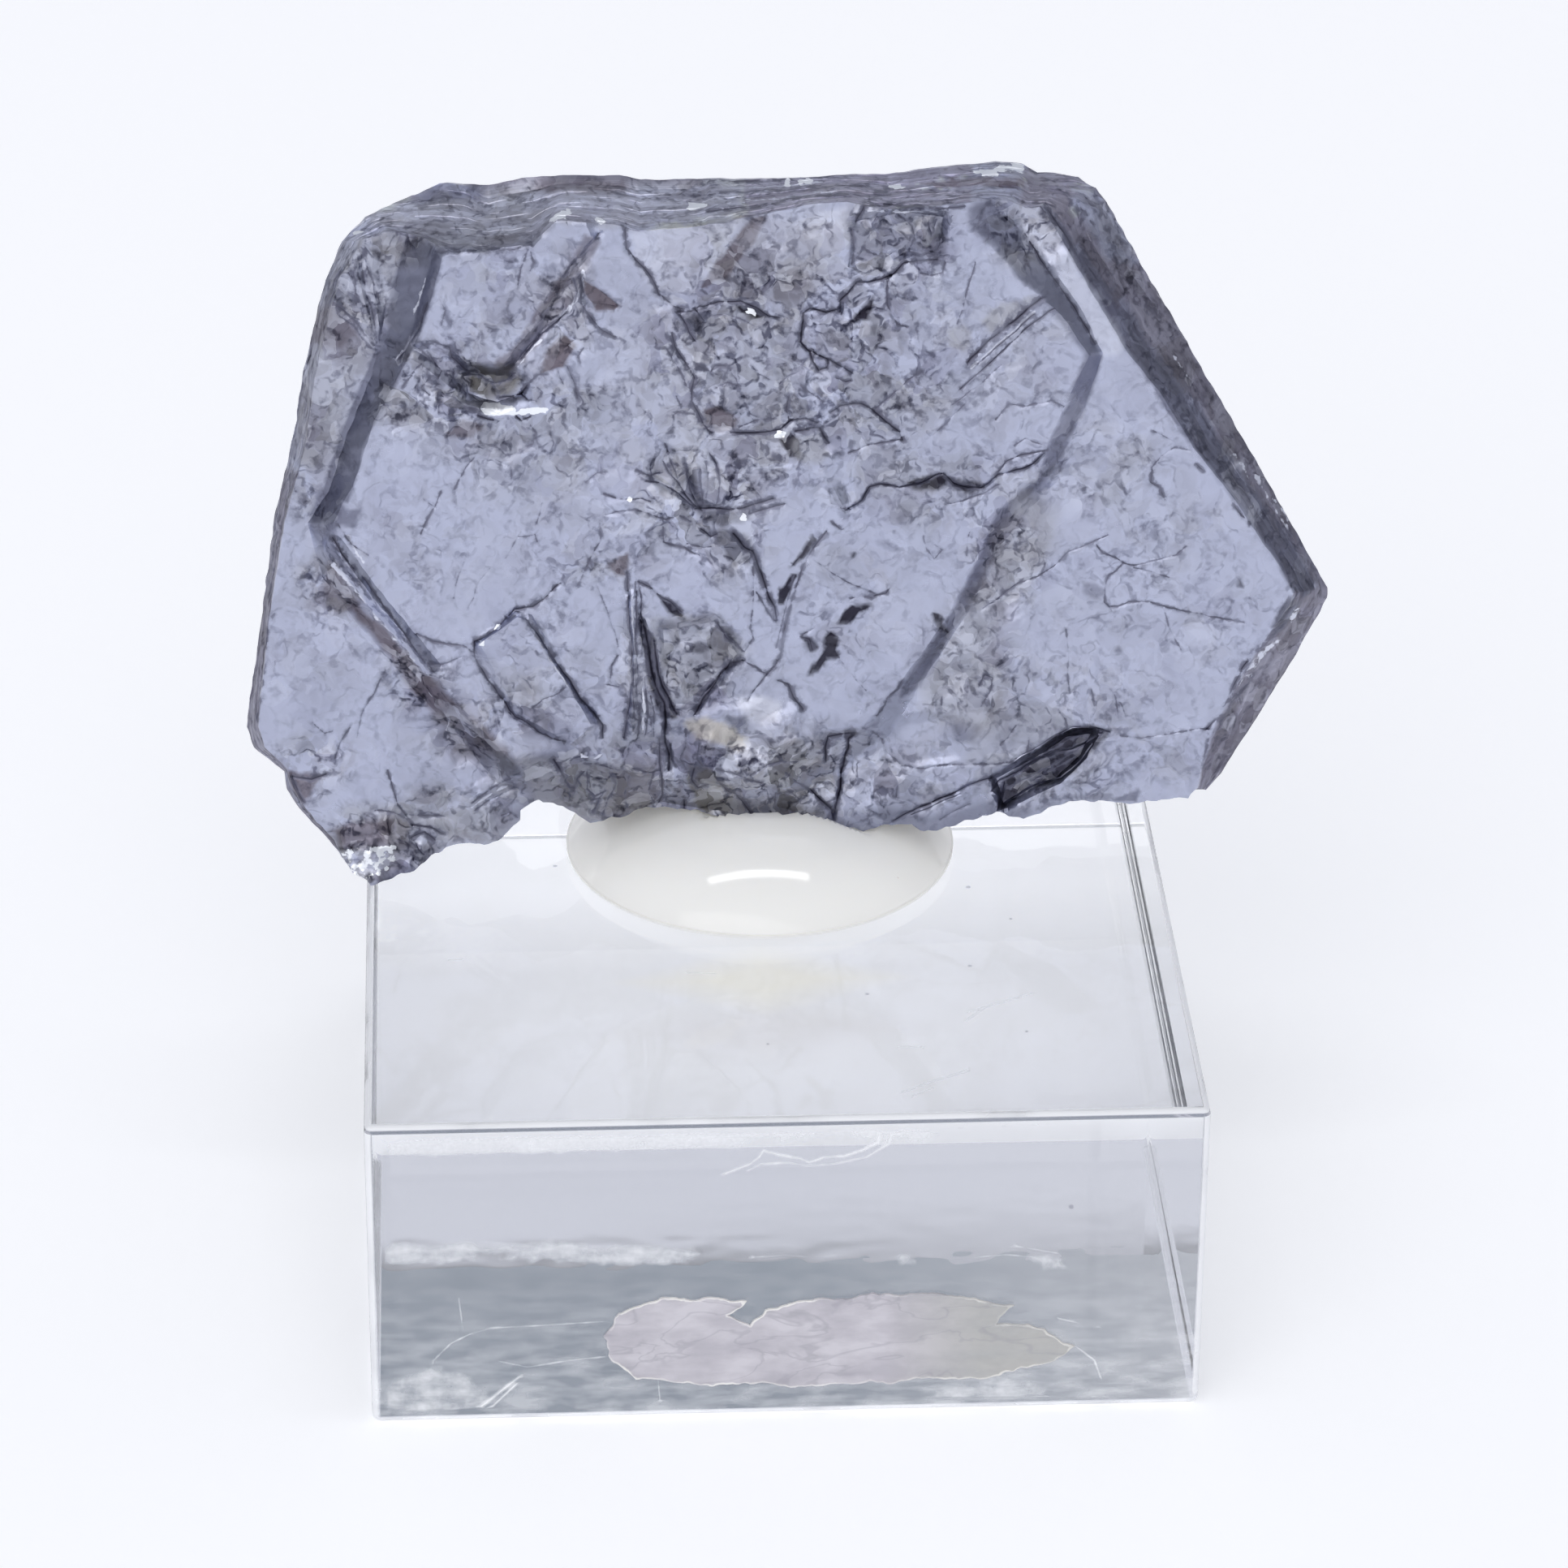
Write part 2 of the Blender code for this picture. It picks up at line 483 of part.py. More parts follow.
def side_rings(face, rim, depth, back):
    """Rings of plate points down the layered side, face and back left out."""
    ahead = np.roll(rim, -1, axis=0) - np.roll(rim, 1, axis=0)
    ahead /= np.linalg.norm(ahead, axis=1)[:, None]
    outward = np.stack((ahead[:, 1], -ahead[:, 0]), axis=1)
    top, bottom = -face_height(face), -back_height(back)
    rings = []

    def ring_at(level, jitter, lip):
        deep = top + (bottom - top) * level + lip
        before = np.clip((deep - top) / (depth - top), 0.0, 1.0)[:, None]
        after = np.clip((deep - depth) / (bottom - depth), 0.0, 1.0)[:, None]
        spot = face + (rim - face) * before + (back - rim) * after
        rings.append((spot + outward * jitter[:, None], -deep))

    for lamina in range(len(LAMINA_LEVELS) - 1):
        jitter = LAMINA_JITTER * ground_noise(rim, LAMINA_PITCH, seed=20.0 + lamina)
        jitter -= LAMINA_STAGGER * (lamina % 2)
        if lamina > 0:
            ring_at(LAMINA_LEVELS[lamina], jitter, LAMINA_LIP)
        if lamina < len(LAMINA_LEVELS) - 2:
            ring_at(LAMINA_LEVELS[lamina + 1], jitter, 0.0)
    return rings


def make_crystal():
    """The whole crystal: face, layered side and back as one closed solid."""
    face, rim, depth, back = rim_stations()
    count = len(face)
    outlines = [PLATEAU_CREST, PLATEAU_FOOT]
    for _, bevel, _, corners in AREAS:
        outlines += [corners, grown(corners, bevel)]
    lines = furrow_lines(CRACKS) + furrow_lines(FOLDS)
    face_points, face_faces, face_border = sheet(face, outlines, lines, FACE_STEP)
    outlines = []
    for _, bevel, _, corners in BACK_AREAS:
        outlines += [corners, grown(corners, bevel)]
    lines = furrow_lines(BACK_CRACKS)
    back_points, back_faces, back_border = sheet(back, outlines, lines, BACK_STEP)

    bm = bmesh.new()

    def add_points(points, heights):
        return [bm.verts.new(place(u, v, w)) for (u, v), w in zip(points, heights)]

    face_verts = add_points(face_points, face_height(face_points))
    side = [add_points(spot, deep) for spot, deep in side_rings(face, rim, depth, back)]
    back_verts = add_points(back_points, back_height(back_points))
    for corners in face_faces:
        bm.faces.new([face_verts[i] for i in corners])
    for corners in back_faces:
        bm.faces.new([back_verts[i] for i in reversed(corners)])
    rings = [[face_verts[i] for i in face_border], *side, [back_verts[i] for i in back_border]]
    for upper, lower in zip(rings[:-1], rings[1:]):
        for i in range(count):
            j = (i + 1) % count
            bm.faces.new((upper[i], lower[i], lower[j], upper[j]))
    bmesh.ops.triangulate(bm, faces=bm.faces, quad_method="SHORT_EDGE")
    finish = material("molybdenite", (0.36, 0.37, 0.47), 0.38, metallic=0.9)
    return add_object("molybdenite_crystal", bm, finish)


def make_block():
    """The clear acrylic block with softened edges."""
    bm = bmesh.new()
    bmesh.ops.create_cube(bm, size=1.0)
    scale = Vector((BLOCK_SIDE, BLOCK_SIDE, BLOCK_HEIGHT)) * MM
    bmesh.ops.scale(bm, vec=scale, verts=bm.verts)
    bmesh.ops.translate(bm, vec=(0.0, 0.0, BLOCK_HEIGHT * MM / 2.0), verts=bm.verts)
    bmesh.ops.bevel(bm, geom=bm.edges[:], offset=BLOCK_EDGE * MM, segments=2,
                    affect="EDGES", profile=0.5)
    finish = material("clear_acrylic", (0.95, 0.96, 0.98), 0.05, transmission=1.0)
    return add_object("acrylic_block", bm, finish)


def dome_height(reach):
    """Height of the putty's round drop at a distance from its centre."""
    sphere = (PUTTY_RADIUS ** 2 + PUTTY_HEIGHT ** 2) / (2.0 * PUTTY_HEIGHT)
    return math.sqrt(max(sphere ** 2 - reach ** 2, 0.0)) - (sphere - PUTTY_HEIGHT)


def make_putty(crystal):
    """The drop of putty, hollowed where the crystal is pressed into it."""
    tree = BVHTree.FromPolygons([v.co for v in crystal.data.vertices],
                                [tuple(p.vertices) for p in crystal.data.polygons])
    floor = BLOCK_HEIGHT + PUTTY_GAP
    probes = [(0.0, 0.0)]
    for turn in range(PUTTY_PROBES):
        angle = turn * 2.0 * math.pi / PUTTY_PROBES
        probes.append((PUTTY_PROBE * math.cos(angle), PUTTY_PROBE * math.sin(angle)))

    def top_at(x, y, reach):
        top = floor + dome_height(reach)
        for dx, dy in probes:
            start = Vector(((x + dx) * MM, (y + dy) * MM, 0.0))
            hit = tree.ray_cast(start, Vector((0.0, 0.0, 1.0)))[0]
            if hit is not None:
                top = min(top, hit.z / MM - PUTTY_GAP)
        return max(top, floor + PUTTY_LEAST)

    bm = bmesh.new()
    cx, cy = PUTTY_CENTRE
    crown = bm.verts.new(Vector((cx, cy, top_at(cx, cy, 0.0))) * MM)
    base = bm.verts.new(Vector((cx, cy, floor)) * MM)
    inner = None
    rim_base = []
    for ring in range(1, PUTTY_RINGS + 1):
        reach = PUTTY_RADIUS * math.sin(0.5 * math.pi * ring / PUTTY_RINGS)
        verts = []
        for spoke in range(PUTTY_SPOKES):
            angle = 2.0 * math.pi * spoke / PUTTY_SPOKES
            x, y = cx + reach * math.cos(angle), cy + reach * math.sin(angle)
            if ring == PUTTY_RINGS:
                rim_base.append(bm.verts.new(Vector((x, y, floor)) * MM))
                top = floor + PUTTY_EDGE
            else:
                top = top_at(x, y, reach)
            verts.append(bm.verts.new(Vector((x, y, top)) * MM))
        for i in range(PUTTY_SPOKES):
            j = (i + 1) % PUTTY_SPOKES
            if inner is None:
                bm.faces.new((crown, verts[i], verts[j]))
            else:
                bm.faces.new((inner[i], verts[i], verts[j], inner[j]))
        inner = verts
    for i in range(PUTTY_SPOKES):
        j = (i + 1) % PUTTY_SPOKES
        bm.faces.new((inner[i], rim_base[i], rim_base[j], inner[j]))
        bm.faces.new((base, rim_base[j], rim_base[i]))
    bmesh.ops.triangulate(bm, faces=bm.faces)
    return add_object("putty", bm, material("putty", (0.80, 0.78, 0.74), 0.3))


def make_label():
    """The thin film label on the front of the block."""
    bm = bmesh.new()
    front = -BLOCK_SIDE / 2.0 - LABEL_GAP
    verts = [bm.verts.new(Vector((x, front, z)) * MM) for x, z in LABEL_OUTLINE]
    film = bm.faces.new(verts)
    grown_film = bmesh.ops.extrude_face_region(bm, geom=[film])
    moved = [v for v in grown_film["geom"] if isinstance(v, bmesh.types.BMVert)]
    bmesh.ops.translate(bm, vec=(0.0, -LABEL_THICKNESS * MM, 0.0), verts=moved)
    bmesh.ops.triangulate(bm, faces=bm.faces)
    return add_object("label_film", bm, material("label_film", (0.82, 0.82, 0.84), 0.5))


def main():
    """Clear the scene and build the four pieces."""
    for thing in list(bpy.data.objects):
        bpy.data.objects.remove(thing)
    crystal = make_crystal()
    make_block()
    make_putty(crystal)
    make_label()


main()
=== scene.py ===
"""The looks of the molybdenite specimen on its clear display block."""
import math

import bmesh
import bpy
import numpy as np
from mathutils import Matrix, Vector, noise
from mathutils.bvhtree import BVHTree
from mathutils.geometry import delaunay_2d_cdt
from mathutils.kdtree import KDTree


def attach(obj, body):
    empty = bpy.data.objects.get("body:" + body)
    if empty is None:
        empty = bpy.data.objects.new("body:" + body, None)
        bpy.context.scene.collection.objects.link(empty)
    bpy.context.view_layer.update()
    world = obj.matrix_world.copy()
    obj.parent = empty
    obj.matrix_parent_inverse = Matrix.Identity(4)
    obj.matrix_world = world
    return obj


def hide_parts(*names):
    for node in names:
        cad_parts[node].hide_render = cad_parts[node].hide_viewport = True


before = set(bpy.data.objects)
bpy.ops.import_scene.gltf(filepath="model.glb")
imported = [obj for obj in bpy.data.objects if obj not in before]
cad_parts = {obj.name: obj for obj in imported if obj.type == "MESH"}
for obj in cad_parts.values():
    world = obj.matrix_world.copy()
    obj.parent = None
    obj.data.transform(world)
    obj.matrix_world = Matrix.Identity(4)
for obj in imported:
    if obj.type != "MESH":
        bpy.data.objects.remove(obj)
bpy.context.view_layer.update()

MM = 0.001
# The noise that gives directions is drawn anew in each run unless it has a seed.
NOISE_SEED = 7
noise.seed_set(NOISE_SEED)

# ---- camera: where it stands (mm) and how it is turned (degrees) -----------
CAMERA_PLACE = (-10.66, -205.73, 130.05)
CAMERA_YAW = 3.12
CAMERA_PITCH = 28.58
CAMERA_ROLL = 0.41
CAMERA_LENS = 145.62
CAMERA_SENSOR = 36.0

# ---- the same plate frame and outline as the solids, millimetres ------------
PLATE_LEAN = math.radians(8.0)
PLATE_ORIGIN = (0.0, 1.44, 15.7)
PLATE_THICKNESS = 5.0
HORN_THICKNESS = 1.6
HORN_THICKENING = 0.3
DEPTH_APEX = (-10.7, 84.4, 221.1)
PLATE_CENTRE = (1.0, 12.0)
HORN_TIP = (-14.8, -2.5)
BACK_FLOOR = 0.7
BACK_INSET = 0.004
LOWER_LIFT = 0.6
LOWER_DEPTH = 1.5

# Mesh steps, and how many layers the side shows.
FACE_STEP = 0.135
RIM_STEP = 0.17
BACK_STEP = 0.4
LAMINAE = 13

LOWER_EDGE = (
    (-14.8, -2.5), (-13.2, -1.9), (-12.0, -1.0), (-11.4, -0.85), (-10.6, -0.95), (-9.9, -0.7), (-9.2, 0.0),
    (-9.2, 0.4), (-8.5, 0.75), (-7.6, 0.55), (-6.6, -0.15), (-5.3, 0.1), (-4.5, 0.45), (-2.7, 0.3),
    (-1.9, 0.0), (0.5, -0.2), (1.6, -0.05), (2.5, -0.35), (3.6, -0.7), (4.5, -0.4), (5.4, -0.5),
    (6.2, -0.8), (7.4, -0.4), (8.6, -0.05), (9.6, -0.35), (11.3, 0.35), (13.6, 0.25), (15.8, 0.4),
)
# Face edge (u, v), rim (u, v) and the rim's depth, on round to the horn.
SIDES = (
    (16.1, 0.8, 16.45, 0.7, 1.6), (16.3, 1.9, 17.1, 1.5, 1.8), (16.6, 3.0, 18.3, 3.5, 2.0),
    (17.6, 5.2, 19.5, 5.7, 2.0), (18.8, 7.1, 20.5, 7.6, 2.2), (19.4, 7.9, 20.8, 8.2, 2.4),
    (19.5, 8.4, 20.8, 8.6, 2.4), (19.1, 9.3, 20.4, 9.3, 2.4), (17.1, 12.3, 18.5, 12.7, 2.4),
    (15.7, 14.1, 17.3, 14.8, 2.4), (14.4, 16.3, 15.9, 17.2, 2.4), (13.2, 17.8, 14.7, 19.3, 2.6),
    (11.9, 20.0, 13.6, 21.2, 2.8), (10.4, 22.7, 12.3, 23.5, 3.0), (10.1, 23.1, 11.9, 24.0, 3.4),
    (9.9, 23.3, 11.3, 24.4, 4.2), (9.7, 23.3, 10.4, 24.6, 4.6), (9.4, 23.3, 9.8, 24.65, 4.7),
    (8.9, 23.55, 9.3, 25.0, 4.8), (8.2, 23.6, 8.3, 25.1, 4.8), (6.3, 23.4, 6.4, 24.95, 4.8),
    (4.4, 23.3, 4.5, 24.7, 4.8), (2.9, 23.6, 2.9, 24.7, 4.8), (1.4, 23.5, 1.4, 24.6, 4.8),
    (-1.4, 22.9, -1.3, 24.6, 4.8), (-4.6, 22.6, -4.5, 24.6, 4.8), (-5.4, 22.9, -5.3, 24.8, 4.8),
    (-7.5, 23.1, -7.5, 24.8, 4.8), (-8.5, 22.2, -8.5, 24.75, 4.8), (-10.0, 22.05, -10.0, 24.5, 4.8),
    (-11.3, 21.95, -11.5, 24.6, 4.6), (-12.3, 22.5, -13.2, 23.9, 4.0), (-13.4, 22.8, -14.4, 23.3, 3.4),
    (-14.5, 22.5, -15.3, 22.4, 3.0), (-15.4, 21.0, -15.9, 21.0, 2.8), (-16.2, 18.1, -16.7, 18.0, 2.6),
    (-16.9, 14.3, -17.4, 14.3, 2.4), (-17.6, 11.9, -18.0, 12.0, 2.4), (-18.3, 8.0, -18.6, 8.0, 2.2),
    (-18.7, 5.0, -19.1, 5.0, 2.2), (-18.8, 3.9, -19.25, 3.9, 2.2), (-18.6, 3.1, -19.0, 3.1, 2.0),
    (-17.8, 2.2, -17.95, 2.1, 1.8), (-17.6, 1.4, -17.85, 1.4, 1.6), (-17.1, 0.5, -17.3, 0.5, 1.6),
    (-16.1, -0.7, -16.3, -0.7, 1.5), (-15.5, -1.9, -15.5, -1.8, 1.4),
)

# Levels of the terraces beside the plateau, which is level 0; where one turns into the other.
LEFT_LEVEL = -0.9
RIGHT_LEVEL = -0.6
LEVEL_START = -4.0
LEVEL_RUN = 10.0
PLATEAU_CREST = (
    (-9.4, 2.2), (-8.0, 2.6), (-6.0, 2.2), (-3.9, 1.6), (-1.6, 1.4), (0.6, 1.7), (2.0, 3.3), (3.6, 3.4),
    (4.7, 4.8), (6.6, 7.5), (8.1, 10.8), (8.8, 12.2), (10.0, 13.0), (10.4, 14.6), (11.1, 16.2),
    (11.8, 17.7), (10.8, 19.2), (9.1, 20.8), (8.5, 21.5), (7.5, 22.5), (7.4, 25.0), (-11.2, 25.0),
    (-11.6, 21.9), (-12.4, 19.3), (-13.2, 17.6), (-14.3, 15.6), (-15.1, 13.2), (-15.9, 11.7), (-15.6, 10.4),
    (-14.5, 8.9), (-12.5, 6.2), (-11.0, 4.1),
)
PLATEAU_FOOT = (
    (-9.9, 1.3), (-8.2, 0.9), (-6.0, 0.2), (-3.9, 0.6), (-1.6, 0.2), (0.6, 0.1), (3.0, 2.0), (4.6, 3.1),
    (5.6, 4.9), (7.3, 7.6), (8.9, 10.6), (9.6, 11.8), (10.7, 12.9), (11.1, 14.3), (11.7, 15.9),
    (12.3, 17.8), (11.6, 19.3), (10.2, 21.3), (9.5, 22.4), (9.2, 23.1), (9.4, 26.0), (-12.5, 26.0),
    (-12.9, 22.5), (-13.8, 19.6), (-14.3, 17.4), (-15.3, 15.1), (-16.0, 13.0), (-16.8, 11.8), (-16.3, 9.7),
    (-15.3, 8.2), (-13.5, 5.8), (-11.7, 3.7),
)

# Raised or sunken areas: rise, bevel width, roughness, corners.
AREAS = (
    (0.30, 0.35, 0.03, ((-11.7, 21.8), (-12.6, 18.8), (-11.5, 18.4), (-10.8, 17.7), (-9.6, 17.7),
     (-8.5, 19.0), (-7.3, 21.1), (-6.3, 22.4), (-6.5, 23.0), (-7.6, 23.0), (-8.4, 22.1))),
    (-0.40, 0.45, 0.10, ((-11.0, 17.3), (-9.9, 17.3), (-9.0, 17.3), (-8.9, 16.6), (-9.8, 16.3),
     (-10.8, 16.6))),
    (-0.15, 0.20, 0.02, ((-6.6, 20.9), (-5.4, 19.9), (-6.5, 20.0))),
    (-0.30, 0.30, 0.16, ((3.3, 22.9), (3.2, 21.4), (4.4, 21.3), (5.2, 21.8), (6.3, 21.7), (6.4, 23.0),
     (5.0, 23.2))),
    (-0.20, 0.30, 0.18, ((-4.1, 13.4), (-3.6, 14.3), (-3.0, 13.6), (-2.6, 12.6), (-3.4, 12.9))),
    (-0.25, 0.30, 0.14, ((-3.8, 7.4), (-1.9, 7.7), (-1.1, 6.4), (-2.6, 4.5), (-3.4, 4.5), (-3.8, 5.3))),
    (0.25, 0.25, 0.06, ((-10.6, 7.0), (-9.2, 8.0), (-8.8, 7.9), (-6.5, 3.7), (-7.3, 3.0), (-9.2, 4.2))),
    (-0.15, 0.25, 0.05, ((-1.9, 15.8), (-1.1, 15.6), (-1.2, 15.2), (-2.0, 15.2))),
    (-0.10, 0.30, 0.02, ((4.8, 3.0), (5.2, 3.6), (6.6, 3.7), (7.0, 3.0), (7.0, 2.3), (5.4, 2.1))),
    (-0.45, 0.30, 0.16, ((8.9, 0.3), (8.6, 1.3), (10.0, 2.1), (11.2, 2.9), (12.1, 3.0), (11.7, 2.2),
     (10.8, 1.3), (9.6, 0.7))),
    (0.35, 0.50, 0.22, ((-15.3, -1.2), (-14.2, -1.0), (-12.9, -1.4), (-13.3, -2.6), (-15.0, -3.4),
     (-16.0, -2.4))),
    (0.10, 0.50, 0.14, ((-3.3, 3.9), (-1.0, 4.3), (1.0, 4.0), (1.2, 2.4), (-0.6, 1.9), (-2.4, 2.1))),
)

# Folds that stand proud of the face: width, height, course.
FOLDS = (
    (0.35, 0.30, ((-15.9, 11.0), (-14.7, 9.2), (-13.3, 7.3), (-12.4, 6.1))),
    (0.30, 0.15, ((-14.9, 22.0), (-14.6, 20.4), (-14.2, 18.9))),
    (0.30, 0.15, ((-14.2, 22.3), (-14.2, 20.6), (-14.0, 19.2))),
    (0.35, 0.25, ((-4.95, 8.6), (-4.9, 6.0), (-5.0, 3.4))),
    (0.35, 0.20, ((-12.9, 18.0), (-12.3, 17.6), (-11.4, 16.8))),
    (0.40, 0.20, ((-11.0, 0.9), (-10.2, 1.4), (-9.2, 1.7))),
    (0.35, 0.20, ((2.4, 14.0), (2.4, 12.9), (2.9, 11.9))),
)

